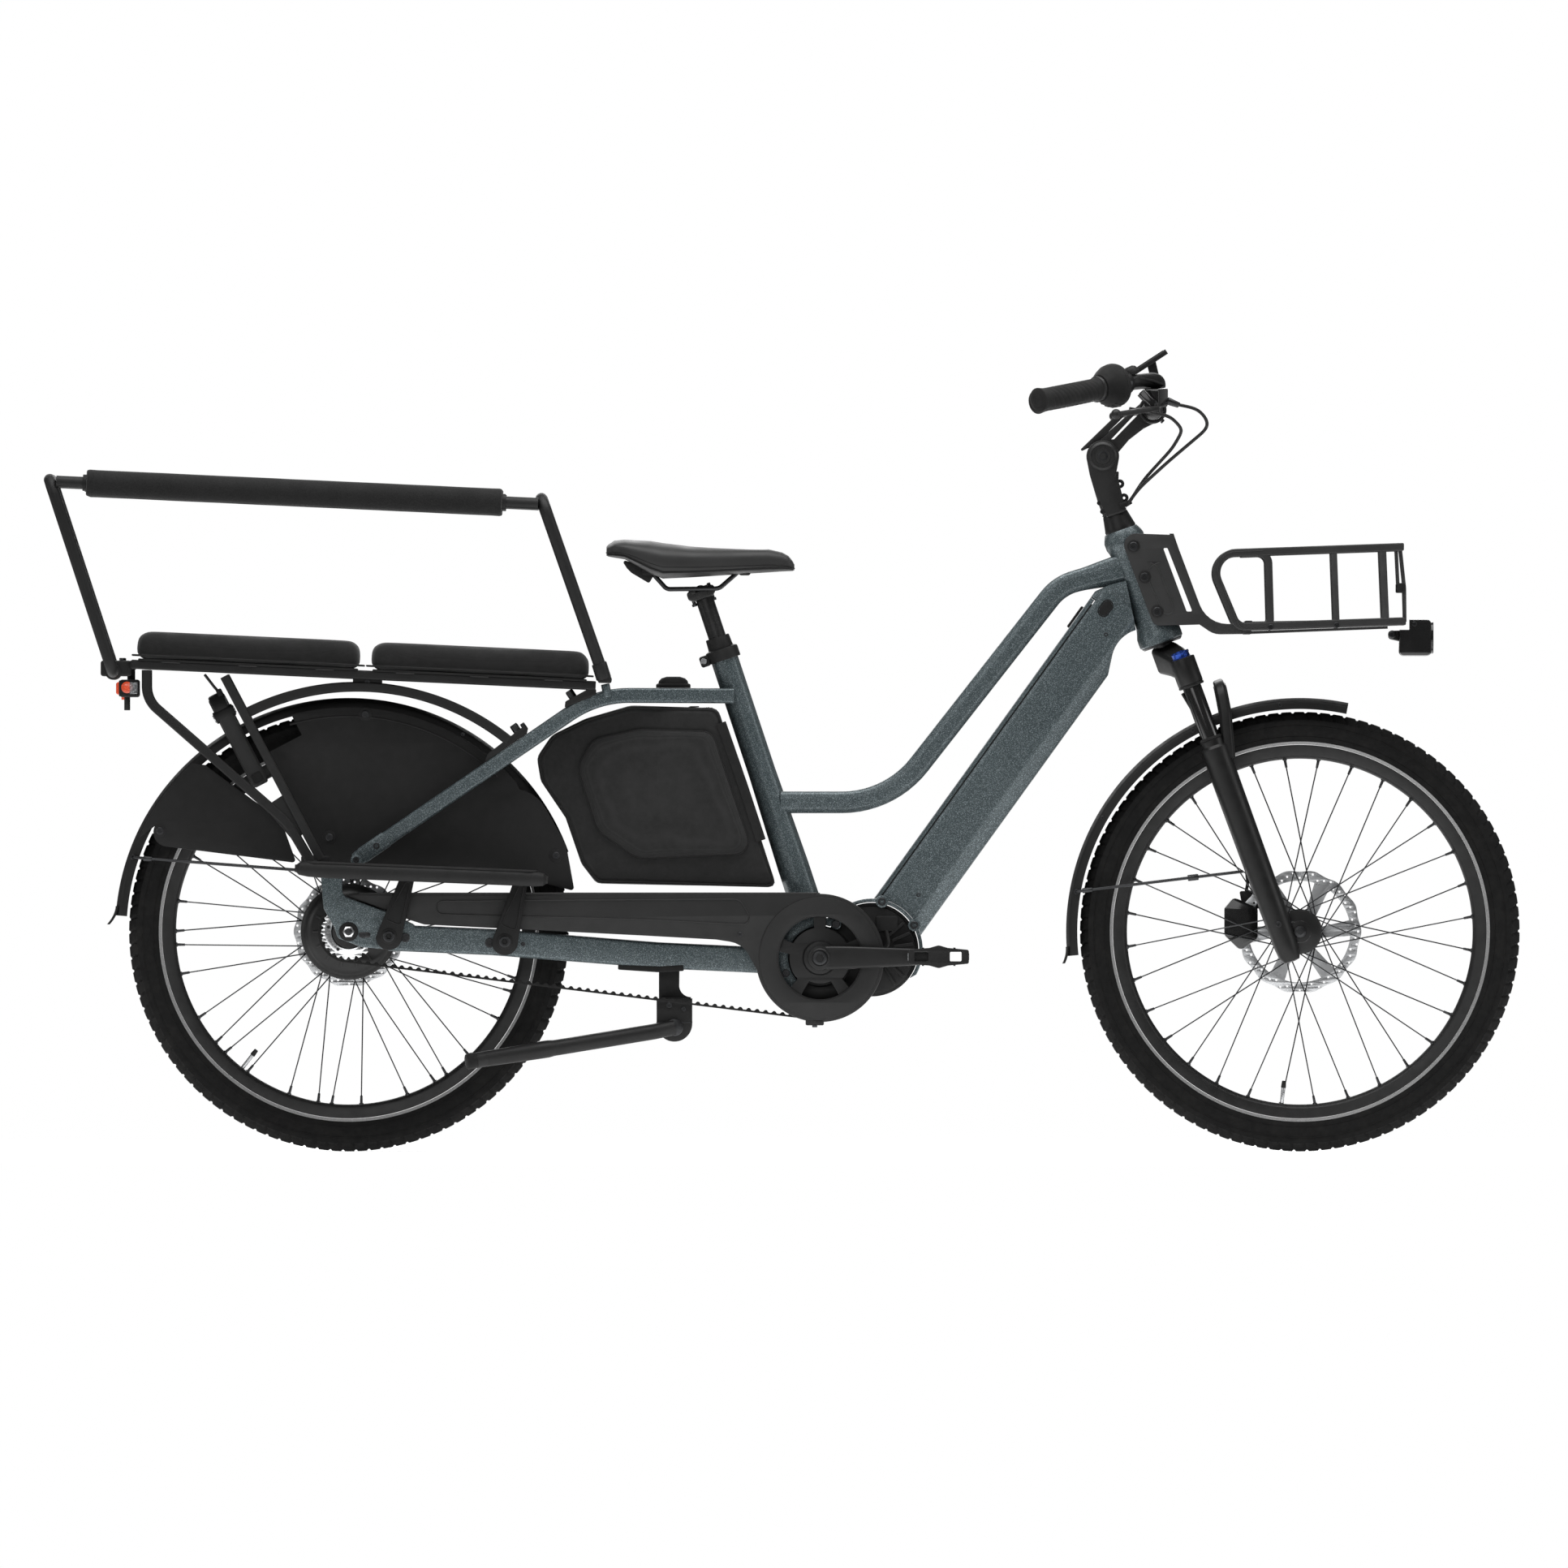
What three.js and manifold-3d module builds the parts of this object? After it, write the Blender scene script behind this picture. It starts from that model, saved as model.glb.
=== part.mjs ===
// Long-tail electric cargo bicycle, in millimetres. +X points forward, +Z up, the drive side is -Y.
// The origin is on the ground, below the middle of the bicycle's bounding box.
import * as THREE from 'three';
import { mergeVertices } from 'three/addons/utils/BufferGeometryUtils.js';
import Module from 'manifold-3d';

const wasm = await Module();
wasm.setup();

// ---------------------------------------------------------------- driving dimensions
const gap = 0.3; // clearance left between two pieces that touch
const wheelRadius = 336;
const rearAxleX = -661.5;
const frontAxleX = 791;
const tyreHalfWidth = 27;
const wheelSides = 40;
const rimOuter = 285.5;
const rimInner = 264;
const guardRadius = 357;
const guardHalfWidth = 35;

const headAngle = 20; // steering axis, degrees back from vertical
const steeringX = 578.5;
const steeringZ = 782.2;
const forkOffset = 20; // legs ahead of the steering axis
const legSpacing = 62; // fork leg to the middle plane
const stanchionRadius = 14;

const seatAngle = 18.35; // seat tube, degrees back from vertical
const seatTopX = -87;
const seatTopZ = 750;
const seatTubeRadius = 21;
const seatTubeTop = 15; // along the seat tube's own axis
const postRadius = 13.6;

const downTubeAngle = 35.76; // degrees forward from vertical
const spokeRadius = 1.1;
const spokeEnd = 262.6;
const rotorY = 35; // front brake rotor

const crankX = 58;
const crankZ = 296;
const crankLength = 181;
const beltRingRadius = 93.5;
const sprocketRadius = 45.5;
const beltY = -64; // middle of the belt, on the drive side
const beltHalfWidth = 6;

const deckSlope = 2.66; // passenger deck, degrees down towards the front
const deckX = -638;
const deckZ = 735; // top of the rack rails at deckX
const cushionHalfWidth = 100;
const strutY = 84; // rack struts and frame stays
const stayY = 78;

const stemPivotX = 490;
const stemPivotZ = 1062;
const barX = 566; // handlebar clamp
const barZ = 1133;
const gripStart = new THREE.Vector3(520, 178, 1172);
const gripEnd = new THREE.Vector3(388, 305, 1146);

const colours = {
  frame: 0x59666a, black: 0x1c1c1e, darkGrey: 0x2b2b2d, bag: 0x343436, cushion: 0x3a3a3c,
  tyre: 0x141414, steel: 0xb9bcc0, silver: 0xd5d7d9, rotor: 0x8d8f91, light: 0xc9471f, saddle: 0x2d2d2f,
};
const finishes = {
  paint: [0.42, 0.35], coat: [0.6, 0.1], metal: [0.3, 0.9], rubber: [0.85, 0], fabric: [0.9, 0],
};

// ---------------------------------------------------------------- geometry helpers
const vec = (x, y, z) => new THREE.Vector3(x, y, z);
const radians = THREE.MathUtils.degToRad;

// Keeps positions only, joins shared vertices, drops empty triangles and turns faces outwards.
function clean(geometry) {
  const bare = geometry.clone();
  for (const name of Object.keys(bare.attributes)) {
    if (name !== 'position') bare.deleteAttribute(name);
  }
  const merged = mergeVertices(bare, 1e-3);
  const index = [];
  const all = merged.index.array;
  let volume = 0;
  const [a, b, c] = [vec(), vec(), vec()];
  for (let i = 0; i < all.length; i += 3) {
    const [p, q, r] = [all[i], all[i + 1], all[i + 2]];
    if (p === q || q === r || r === p) continue;
    index.push(p, q, r);
    a.fromBufferAttribute(merged.attributes.position, p);
    b.fromBufferAttribute(merged.attributes.position, q);
    c.fromBufferAttribute(merged.attributes.position, r);
    volume += a.dot(b.cross(c));
  }
  merged.setIndex(volume < 0 ? index.reverse() : index);
  return merged;
}

function toManifold(geometry) {
  const g = clean(geometry);
  const vertProperties = Float32Array.from(g.attributes.position.array);
  return new wasm.Manifold(new wasm.Mesh({ numProp: 3, vertProperties,
    triVerts: Uint32Array.from(g.index.array) }));
}

function fromManifold(body) {
  const result = body.getMesh();
  const geometry = new THREE.BufferGeometry();
  geometry.setAttribute('position', new THREE.BufferAttribute(Float32Array.from(result.vertProperties), 3));
  geometry.setIndex(Array.from(result.triVerts));
  return geometry;
}

const join = (first, ...others) => fromManifold(others.reduce((sum, g) => sum.add(toManifold(g)),
  toManifold(first)));
const cut = (first, ...tools) => fromManifold(tools.reduce((rest, g) => rest.subtract(toManifold(g)),
  toManifold(first)));
const mirrored = (geometry) => clean(geometry.clone().scale(1, -1, 1));
const bothSides = (geometry) => join(geometry, mirrored(geometry));

// Corner points [x, z, radius] with each corner rounded by an arc, as a list of 2-D points.
function rounded(corners, step = 46) {
  const points = [];
  corners.forEach(([x, z, radius = 0], i) => {
    const corner = new THREE.Vector2(x, z);
    const [bx, bz] = corners[(i + corners.length - 1) % corners.length];
    const [ax, az] = corners[(i + 1) % corners.length];
    const back = new THREE.Vector2(bx, bz).sub(corner).normalize();
    const ahead = new THREE.Vector2(ax, az).sub(corner).normalize();
    const half = Math.acos(THREE.MathUtils.clamp(back.dot(ahead), -1, 1)) / 2;
    if (radius === 0 || half > 1.55) {
      points.push(corner);
      return;
    }
    const centre = back.clone().add(ahead).normalize().multiplyScalar(radius / Math.sin(half)).add(corner);
    const from = back.clone().multiplyScalar(radius / Math.tan(half)).add(corner).sub(centre);
    const turn = Math.PI - 2 * half;
    const side = back.cross(ahead) < 0 ? 1 : -1;
    const count = Math.max(1, Math.ceil(turn / radians(step)));
    for (let k = 0; k <= count; k += 1) {
      points.push(from.clone().rotateAround(new THREE.Vector2(), (side * turn * k) / count).add(centre));
    }
  });
  return points;
}

function circle(x, z, radius, sides = 24, from = 0, to = 360) {
  const points = [];
  const steps = to - from === 360 ? sides : sides + 1;
  for (let k = 0; k < steps; k += 1) {
    const angle = radians(from + ((to - from) * k) / sides);
    points.push(new THREE.Vector2(x + radius * Math.cos(angle), z + radius * Math.sin(angle)));
  }
  return points;
}

// A plate in the XZ plane between y0 and y1; holes are lists of 2-D points.
function plate(points, y0, y1, holes = []) {
  const turnsRight = (list) => THREE.ShapeUtils.isClockWise(list);
  const wound = (list, clockwise) => (turnsRight(list) === clockwise ? list : [...list].reverse());
  const shape = new THREE.Shape(wound(points, false));
  for (const hole of holes) shape.holes.push(new THREE.Path(wound(hole, true)));
  const geometry = new THREE.ExtrudeGeometry(shape,
    { depth: y1 - y0, bevelEnabled: false, curveSegments: 1 });
  return clean(geometry.rotateX(Math.PI / 2).translate(0, y1, 0));
}

function box(x0, x1, y0, y1, z0, z1) {
  return clean(new THREE.BoxGeometry(x1 - x0, y1 - y0, z1 - z0)
    .translate((x0 + x1) / 2, (y0 + y1) / 2, (z0 + z1) / 2));
}

function rod(from, to, radius, sides = 12, endRadius = radius) {
  const length = from.distanceTo(to);
  const geometry = new THREE.CylinderGeometry(endRadius, radius, length, sides);
  geometry.translate(0, length / 2, 0);
  const turn = new THREE.Quaternion().setFromUnitVectors(vec(0, 1, 0), to.clone().sub(from).normalize());
  return clean(geometry.applyQuaternion(turn).translate(from.x, from.y, from.z));
}

// A profile of [radius, height] points turned about Y, closed on itself where it is clear of the axis.
function lathed(profile, segments) {
  const loop = profile[0][0] > 0 ? [...profile, profile[0]] : profile;
  return new THREE.LatheGeometry(loop.map(([r, h]) => new THREE.Vector2(r, h)), segments);
}

const turned = (profile, segments = 24) => clean(lathed(profile, segments).rotateX(Math.PI / 2));
const turnedY = (profile, x, z, segments = 24) => clean(lathed(profile, segments).translate(x, 0, z));

const ringSection = (radius, sides = 10) => circle(0, 0, radius, sides).map((p) => [p.x, p.y]);
const boxSection = (u, v, r = 4) => rounded([[-u, -v, r], [u, -v, r], [u, v, r], [-u, v, r]],
  90).map((p) => [p.x, p.y]);
const spots = (list) => list.map(([x, z]) => new THREE.Vector2(x, z));

// Points of a path whose corners [x, y, z, radius] are bent round.
function bent(corners, step = 26) {
  const path = [];
  corners.forEach(([x, y, z, radius = 0], i) => {
    const corner = vec(x, y, z);
    if (radius === 0 || i === 0 || i === corners.length - 1) {
      path.push(corner);
      return;
    }
    const back = vec(...corners[i - 1].slice(0, 3)).sub(corner).normalize();
    const ahead = vec(...corners[i + 1].slice(0, 3)).sub(corner).normalize();
    const half = back.angleTo(ahead) / 2;
    const reach = radius / Math.tan(half);
    const centre = back.clone().add(ahead).normalize().multiplyScalar(radius / Math.sin(half)).add(corner);
    const from = back.clone().multiplyScalar(reach).add(corner).sub(centre);
    const axis = ahead.clone().cross(back).normalize();
    const turn = Math.PI - 2 * half;
    const count = Math.max(1, Math.ceil(turn / radians(step)));
    for (let k = 0; k <= count; k += 1) {
      path.push(from.clone().applyAxisAngle(axis, (turn * k) / count).add(centre));
    }
  });
  return path;
}

// Sweeps a section [u, v] along a path. v lies along `side` as far as the path allows.
// `sizes` scales the section at each path point; `closed` joins the last ring to the first.
function sweep(path, outline, { side = vec(0, 1, 0), sizes = null, closed = false } = {}) {
  const contour = spots(outline);
  const section = THREE.ShapeUtils.isClockWise(contour) ? [...outline].reverse() : outline;
  const count = section.length;
  const positions = [];
  path.forEach((point, i) => {
    const before = path[closed ? (i + path.length - 1) % path.length : Math.max(0, i - 1)];
    const after = path[closed ? (i + 1) % path.length : Math.min(path.length - 1, i + 1)];
    const inwards = point.clone().sub(before).normalize();
    const tangent = after.clone().sub(point).normalize().add(inwards).normalize();
    const v = side.clone().addScaledVector(tangent, -side.dot(tangent)).normalize();
    const u = v.clone().cross(tangent);
    const [su, sv] = sizes ? sizes[i] : [1, 1];
    for (const [a, b] of section) {
      positions.push(...point.clone().addScaledVector(u, a * su).addScaledVector(v, b * sv).toArray());
    }
  });
  const index = [];
  const last = closed ? path.length : path.length - 1;
  for (let i = 0; i < last; i += 1) {
    for (let k = 0; k < count; k += 1) {
      const [p, q] = [i * count + k, i * count + ((k + 1) % count)];
      const [r, s] = [((i + 1) % path.length) * count + k,
        ((i + 1) % path.length) * count + ((k + 1) % count)];
      index.push(p, q, s, p, s, r);
    }
  }
  if (!closed) {
    const flat = spots(section);
    const end = (path.length - 1) * count;
    for (const [a, b, c] of THREE.ShapeUtils.triangulateShape(flat, [])) {
      index.push(c, b, a, end + a, end + b, end + c);
    }
  }
  const geometry = new THREE.BufferGeometry();
  geometry.setAttribute('position', new THREE.Float32BufferAttribute(positions, 3));
  geometry.setIndex(index);
  return clean(geometry);
}

const tube = (corners, radius, sides = 8, options = {}) => sweep(bent(corners, options.step),
  ringSection(radius, sides), options);

// ---------------------------------------------------------------- the assembly
const bicycle = new THREE.Group();

function group(x, z, angle) {
  const g = new THREE.Group();
  g.position.set(x, 0, z);
  g.rotation.y = radians(angle);
  bicycle.add(g);
  return g;
}

// Frames of reference: local Z runs up the steering axis, the seat tube and the down tube;
// local X runs forward, square to it. On the deck, local X runs along the rack rails.
const steering = group(steeringX, steeringZ, -headAngle);
const seat = group(seatTopX, seatTopZ, -seatAngle);
const downFrame = group(0, 0, downTubeAngle);
const deck = group(deckX, deckZ, deckSlope);

function add(name, geometry, colour, finish, parent = bicycle) {
  const [roughness, metalness] = finishes[finish];
  const material = new THREE.MeshStandardMaterial({ color: colours[colour], roughness, metalness });
  const mesh = new THREE.Mesh(clean(geometry), material);
  mesh.name = name;
  parent.add(mesh);
  return mesh;
}

// A geometry given in one of the frames above, moved into the bicycle's own frame.
function inBicycle(geometry, frame) {
  frame.updateMatrixWorld(true);
  return clean(geometry.clone().applyMatrix4(frame.matrixWorld));
}

// ---------------------------------------------------------------- main frame
const headTubeBottom = -5;
const headTubeTop = 178;
const headBoltHeights = [42, 98, 148]; // along the steering axis
const headBoltForward = 9.4;

function headTubeOuter(extra = 0) {
  const profile = [[0, headTubeBottom], [33, headTubeBottom], [34.5, 3], [34.5, 12], [29.5, 24], [28, 60],
    [28, 145],
    [31.3, 154], [31.3, 166], [26, headTubeTop], [0, headTubeTop]];
  return turned(profile.map(([r, h]) => [r === 0 ? 0 : r + extra, h]), 18);
}

function addHeadTube() {
  const bosses = headBoltHeights.map((h) => rod(vec(headBoltForward, -31.6, h),
    vec(headBoltForward, 31.6, h), 8, 8));
  const bore = turned([[0, -20], [17, -20], [17, 200], [0, 200]], 14);
  add('head_tube', cut(join(headTubeOuter(), ...bosses), bore), 'frame', 'paint', steering);
}

// The seat tube widens towards the motor.
function seatTubeOuter(radius) {
  const foot = radius + 3;
  return turned([[0, -408], [foot, -408], [foot, -330], [radius, -180], [radius, seatTubeTop],
    [0, seatTubeTop]], 20);
}

function addSeatTube() {
  const bore = turned([[0, -300], [postRadius + gap, -300], [postRadius + gap, 20], [0, 20]], 20);
  add('seat_tube', cut(seatTubeOuter(seatTubeRadius), bore), 'frame', 'paint', seat);
}

function topTubeBody(extra = 0) {
  const path = bent([[-20, 0, 533.5], [164.5, 0, 533.5, 150], [424, 0, 865, 75], [520, 0, 890]], 11);
  const sizes = path.map((p, i) => (i === path.length - 1 ? [1.35, 1.15] : [1, 1]));
  return sweep(path, boxSection(16.8 + extra, 19 + extra, 8), { sizes });
}

function addTopTube() {
  const head = inBicycle(headTubeOuter(gap), steering);
  const seatTube = inBicycle(seatTubeOuter(seatTubeRadius + gap), seat);
  const behindSeat = box(-80, -2, -40, 40, 480, 600);
  add('top_tube', cut(topTubeBody(), head, seatTube, behindSeat), 'frame', 'paint');
}

// Offsets across the down tube, square to it, as local X in its own frame.
const downTop = -112;
const downSeam = -104;
const downFacet = -43;
const downBottom = -21;
const downStart = 392;
const downEnd = 985;

function downTubeSection(from, to, halfTop) {
  return [[from, -halfTop], [from + 5, -32], [to === downBottom ? downFacet : to, -32],
    ...(to === downBottom ? [[to, -17], [to, 17], [downFacet, 32]] : [[to, 32]]), [from + 5, 32],
      [from, halfTop]];
}

const motorCircle = [137, 308.5, 72];

function motorOutline(extra) {
  const [x, z, r] = motorCircle;
  return join(
    plate(circle(x, z, r + extra, 28), -52, 52),
    plate(circle(crankX, crankZ, 62 + extra, 28), -52, 52),
  );
}

function addDownTube() {
  const path = [vec(0, 0, downStart), vec(0, 0, downEnd)];
  const body = sweep(path, downTubeSection(downSeam + gap, downBottom, 31));
  const head = inBicycle(headTubeOuter(gap), steering);
  const front = plate(spots([[560, 700], [700, 700], [700, 1000], [500, 1000]]), -60, 60);
  const lug = plate(spots([[downSeam + gap, 880], [downSeam + gap, 962.5], [downTop, 962.5],
    [downTop, 975],
    [-100, 995], [-83, 1016], [-59, 1020], [-30, 990], [-30, 880]]), -26, 26);
  const throat = plate(spots([[503, 735], [513, 775], [531, 797], [557, 809], [590, 790], [560, 700]]),
    -60, 60);
  const motor = motorOutline(6 + gap);
  const port = inBicycle(rod(vec(-84, -50, 962), vec(-84, -30.5, 962), 9, 16), downFrame);
  const solid = cut(inBicycle(join(body, lug), downFrame), head, front, throat, motor, port,
    topTubeBody(gap));
  add('down_tube', solid, 'frame', 'paint');
}

function addBatteryCover() {
  const path = [vec(0, 0, downStart - 4), vec(0, 0, downStart + 20), vec(0, 0, 950), vec(0, 0, 962)];
  const section = [[downTop, -22], [downSeam, -31], [downSeam, 31], [downTop, 22]];
  const cover = inBicycle(sweep(path, section), downFrame);
  add('battery_cover', cut(cover, motorOutline(6 + gap), inBicycle(headTubeOuter(gap), steering)), 'frame',
    'paint');
}

function addMotor() {
  const [x, z, r] = motorCircle;
  const ribs = [-34, 0, 34].map((y) => plate(circle(x, z, r, 20), y - 3, y + 3));
  const core = join(plate(circle(x, z, r - 4, 20), -44, 44), plate(circle(crankX, crankZ, 50, 20), -50, 50),
    ...ribs);
  const spindleBore = rod(vec(crankX, -60, crankZ), vec(crankX, 60, crankZ), 13.5, 16);
  const motor = cut(core, spindleBore);
  add('motor_housing', motor, 'black', 'coat');

  const ring = plate(circle(crankX, crankZ, 62, 28), -52, 52);
  const shell = join(ring, plate(circle(x, z, r + 6, 28), -46, 46));
  const pocket = join(
    plate(circle(x, z, r + gap, 20), -60, 60),
    plate(circle(crankX, crankZ, 50 + gap, 20), -60, 60),
    plate(spots([[90, 150], [300, 150], [300, 292], [150, 240], [90, 262]]), -60, 60),
  );
  const bolts = [30, 140].map((angle) => {
    const [a, b] = [x + (r + 4) * Math.cos(radians(angle)), z + (r + 4) * Math.sin(radians(angle))];
    return rod(vec(a, -54, b), vec(a, -44.5, b), 6.5, 8);
  });
  const seatTube = inBicycle(seatTubeOuter(seatTubeRadius + gap), seat);
  const bracket = cut(cut(shell, pocket), seatTube);
  add('motor_bracket', join(bracket, ...bolts), 'frame', 'paint');
}

// A stay's middle line: beside the seat tube, outwards past the saddle, then straight down to the dropout.
function stay(section, lastX = -648) {
  const slope = 0.684;
  const last = [lastX, -stayY, 697 + slope * (lastX + 283)];
  return sweep(bent([[-74, -30, 696], [-150, -42, 696.5, 60], [-283, -stayY, 697, 150], last], 12), section);
}

function addRearStays() {
  const right = stay(boxSection(11.5, 8, 0));
  const bridge = box(-190, -176, -50, 50, 688, 702);
  const lowerBridge = rod(vec(-330, -stayY, 664), vec(-330, stayY, 664), 8, 10);
  const post = rod(vec(-266, -stayY, 694), vec(-270, -stayY - 1, 714), 6.5, 8);
  const bumper = rod(vec(-166, 0, 700), vec(-166, 0, 724), 25, 16, 20);
  const seatTube = inBicycle(seatTubeOuter(seatTubeRadius + gap), seat);
  const sides = bothSides(join(right, post));
  const bumperBridge = box(-190, -142, -46, 46, 694, 706);
  add('rear_stays', cut(join(sides, bridge, lowerBridge, bumperBridge, bumper), seatTube), 'frame', 'paint');
}

const dropoutCentre = [rearAxleX, wheelRadius];

function addChainstays() {
  const bar = sweep(
    bent([[-600, -80, 327], [-440, -80, 320, 120], [-190, -44, 300, 120], [-20, -42, 292]], 18),
    boxSection(20, 7.5, 0),
  );
  const yoke = plate(rounded([
    [-704, 424, 4], [-671, 428, 6], [-671, 391, 12], [-602, 366, 10], [-560, 346, 8], [-560, 306, 4],
    [-640, 312, 26], [-678, 326, 10], [-684, 344, 4], [-700, 372, 20],
  ]), -88, -73);
  const [dropoutX, dropoutZ] = dropoutCentre;
  const axleHole = rod(vec(dropoutX, -100, dropoutZ), vec(dropoutX, -60, dropoutZ), 9, 16);
  const bridge = box(-196, -152, -46, 46, 282, 306);
  const crossBar = rod(vec(-290, -62, 307), vec(-290, 62, 307), 9, 12);
  const right = cut(join(bar, yoke), axleHole);
  const ring = plate(circle(crankX, crankZ, 62 + gap, 28), -60, 60);
  add('chainstays', cut(join(bothSides(right), bridge, crossBar), ring), 'frame', 'paint');
}

function addSeatClamp() {
  const inner = seatTubeRadius + 1;
  const outer = seatTubeRadius + 4.5;
  const floor = seatTubeTop + gap;
  const ring = turned([[inner, 1], [outer, 1], [outer, 19], [inner, 19]], 16);
  const collar = turned([[postRadius + gap, floor], [outer - 1, floor], [outer - 1, 19], [19, 20], [19, 38],
    [postRadius + gap, 38]], 16);
  const ear = box(-38, -23, -11, 11, 0, 17);
  const bolt = rod(vec(-31, -15, 9), vec(-31, 15, 9), 4, 8);
  const bore = turned([[0, -20], [inner - 0.1, -20], [inner - 0.1, floor], [0, floor]], 16);
  const postBore = turned([[0, -20], [postRadius + gap, -20], [postRadius + gap, 50], [0, 50]], 16);
  add('seat_clamp', cut(join(ring, collar, ear, bolt), bore, postBore), 'black', 'coat', seat);
}

// ---------------------------------------------------------------- rack, passenger deck and guards
const rackRailY = 80;

function addRack() {
  const rail = inBicycle(sweep([vec(-355, -rackRailY, -7), vec(354, -rackRailY, -7)], boxSection(7, 9, 0)),
    deck);
  const crossXs = [-340, -180, -20, 20, 180, 340];
  const crosses = crossXs.map((x) => inBicycle(box(x - 8, x + 8, -rackRailY, rackRailY, -12, -3), deck));
  const rear = sweep(
    bent([[-970, -rackRailY, 735], [-970, -strutY, 690, 45], [-755, -strutY, 502, 70], [-718, -strutY, 440]],
      20),
    boxSection(7.2, 7.2, 0),
  );
  const front = sweep([vec(-851, -rackRailY, 726), vec(-704, -strutY, 446)], boxSection(7, 7, 0));
  const gusset = plate(rounded([[-790, 526], [-757, 548], [-730, 490], [-742, 470]]), -strutY - 4,
    -strutY + 4);
  const arch = sweep(circle(-650, 340, 370, 9, 51, 118).map((p) => vec(p.x, -76, p.y)),
    boxSection(7.5, 7.5, 0));
  const drop = box(-655, -611, -rackRailY, -rackRailY + 8, 708, 728);
  const archFoot = plate(spots([[-442, 600], [-385, 638], [-381, 650], [-387, 655], [-441, 619]]), -83,
    -66);
  const railFoot = plate(spots([[-330, 675], [-287, 694], [-284, 706], [-297, 706], [-328, 686]]), -88,
    -72);
  const side = join(rail, rear, front, gusset, arch, drop, archFoot, railFoot);
  const base = box(-734, -690, -strutY - 6, -strutY + 6, 426, 452);
  const stays = inBicycle(box(-30, 30, -rackRailY, rackRailY, -11, -5), deck);
  const clear = stay(boxSection(11.5 + gap, 8 + gap, 0), -700);
  const yokeRoom = box(-712, -550, -88.4, -72.6, 300, 428.4);
  const sides = bothSides(cut(join(side, base), clear, yokeRoom));
  add('rack_frame', join(sides, ...crosses, stays), 'black', 'coat');
}

function addCushions() {
  const section = rounded([[-cushionHalfWidth, 0, 6], [cushionHalfWidth, 0, 6], [cushionHalfWidth, 43, 20],
    [-cushionHalfWidth, 43, 20]], 30).map((p) => [-p.y, p.x]);
  const cushion = (x0, x1) => {
    const path = [vec(x0, 0, 3), vec(x0 + 6, 0, 3), vec(x0 + 20, 0, 3), vec(x1 - 20, 0, 3),
      vec(x1 - 6, 0, 3), vec(x1, 0, 3)];
    const sizes = [[0.62, 0.93], [0.84, 0.98], [1, 1], [1, 1], [0.84, 0.98], [0.62, 0.93]];
    return sweep(path, section, { sizes });
  };
  add('cushion_rear', cushion(-355, 0), 'cushion', 'fabric', deck);
  add('cushion_front', cushion(3, 350), 'cushion', 'fabric', deck);
}

const railY = 158;
const railRadius = 9.5;
const foamRadius = 20.5;

function addSafetyRail() {
  // Each hoop rises from feet just past the ends of the rack rails.
  const hoop = (half) => {
    const otherHalf = half.map(([x, y, z, r]) => [x, -y, z, r]).reverse();
    return tube([...half, ...otherHalf], railRadius, 7, { side: vec(1, 0, 0), step: 46 });
  };
  const rearHoop = hoop([[-1021, -62, 733], [-1021, -122, 733, 24], [-1117.5, -railY, 1026, 25]]);
  const frontHoop = hoop([[-271, -112, 722], [-367, -railY, 997, 25]]);
  const side = sweep([vec(-1107, -railY + 3, 1023), vec(-372, -railY + 3, 989)], ringSection(railRadius, 8));
  const rearFoot = box(-1040, -993.5, -82, -58, 726, 750);
  const frontFoot = plate(spots([[-281.5, 716], [-261, 715.6], [-260, 722], [-268, 742], [-281, 742]]),
    -120, -68);
  const feet = [rearFoot, frontFoot].map(bothSides);
  add('safety_rail', join(rearHoop, frontHoop, bothSides(side), ...feet), 'black', 'coat');

  for (const [name, sign] of [['foam_grip_right', -1], ['foam_grip_left', 1]]) {
    const path = [vec(-1061, sign * (railY - 3), 1020.9), vec(-427, sign * (railY - 3), 991.5)];
    const foam = cut(sweep(path, ringSection(foamRadius, 14)),
      sweep(path.map((p, i) => p.clone().add(vec(i ? 5 : -5, 0, 0))),
      ringSection(railRadius + 0.6, 10)));
    add(name, foam, 'darkGrey', 'rubber');
  }
}

// A mudguard over an axle: a curved channel between two angles, open towards the wheel.
function guard(axleX, fromAngle, toAngle, sides) {
  const thickness = 3;
  const lip = 17;
  const half = guardHalfWidth;
  const section = [[0, -22], [0, 22], [-7, half], [-lip, half], [-lip, half - thickness],
    [-9, half - thickness],
    [-thickness, 20], [-thickness, -20], [-9, thickness - half], [-lip, thickness - half], [-lip, -half],
      [-7, -half]];
  const path = circle(axleX, wheelRadius, guardRadius, sides, fromAngle,
    toAngle).map((p) => vec(p.x, 0, p.y));
  return sweep(path, section);
}

function flap(axleX, angle, length) {
  const [c, s] = [Math.cos(radians(angle)), Math.sin(radians(angle))];
  const at = (r, t) => new THREE.Vector2(axleX + r * c - t * s, wheelRadius + r * s + t * c);
  return plate([at(350, -6), at(358, -6), at(366, length), at(361, length)], -30, 30);
}

function addRearGuard() {
  const body = guard(rearAxleX, 20, 176, 18);
  const rod1 = tube([[-993, -33, 450], [-974, -42, 448, 10], [-752, -60, 431], [-738, -64, 430]], 2.4, 4,
    { side: vec(0, 0, 1) });
  add('rear_mudguard', join(body, flap(rearAxleX, 175, 22), bothSides(rod1)), 'black', 'coat');
}

const skirtY = 46;

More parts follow.
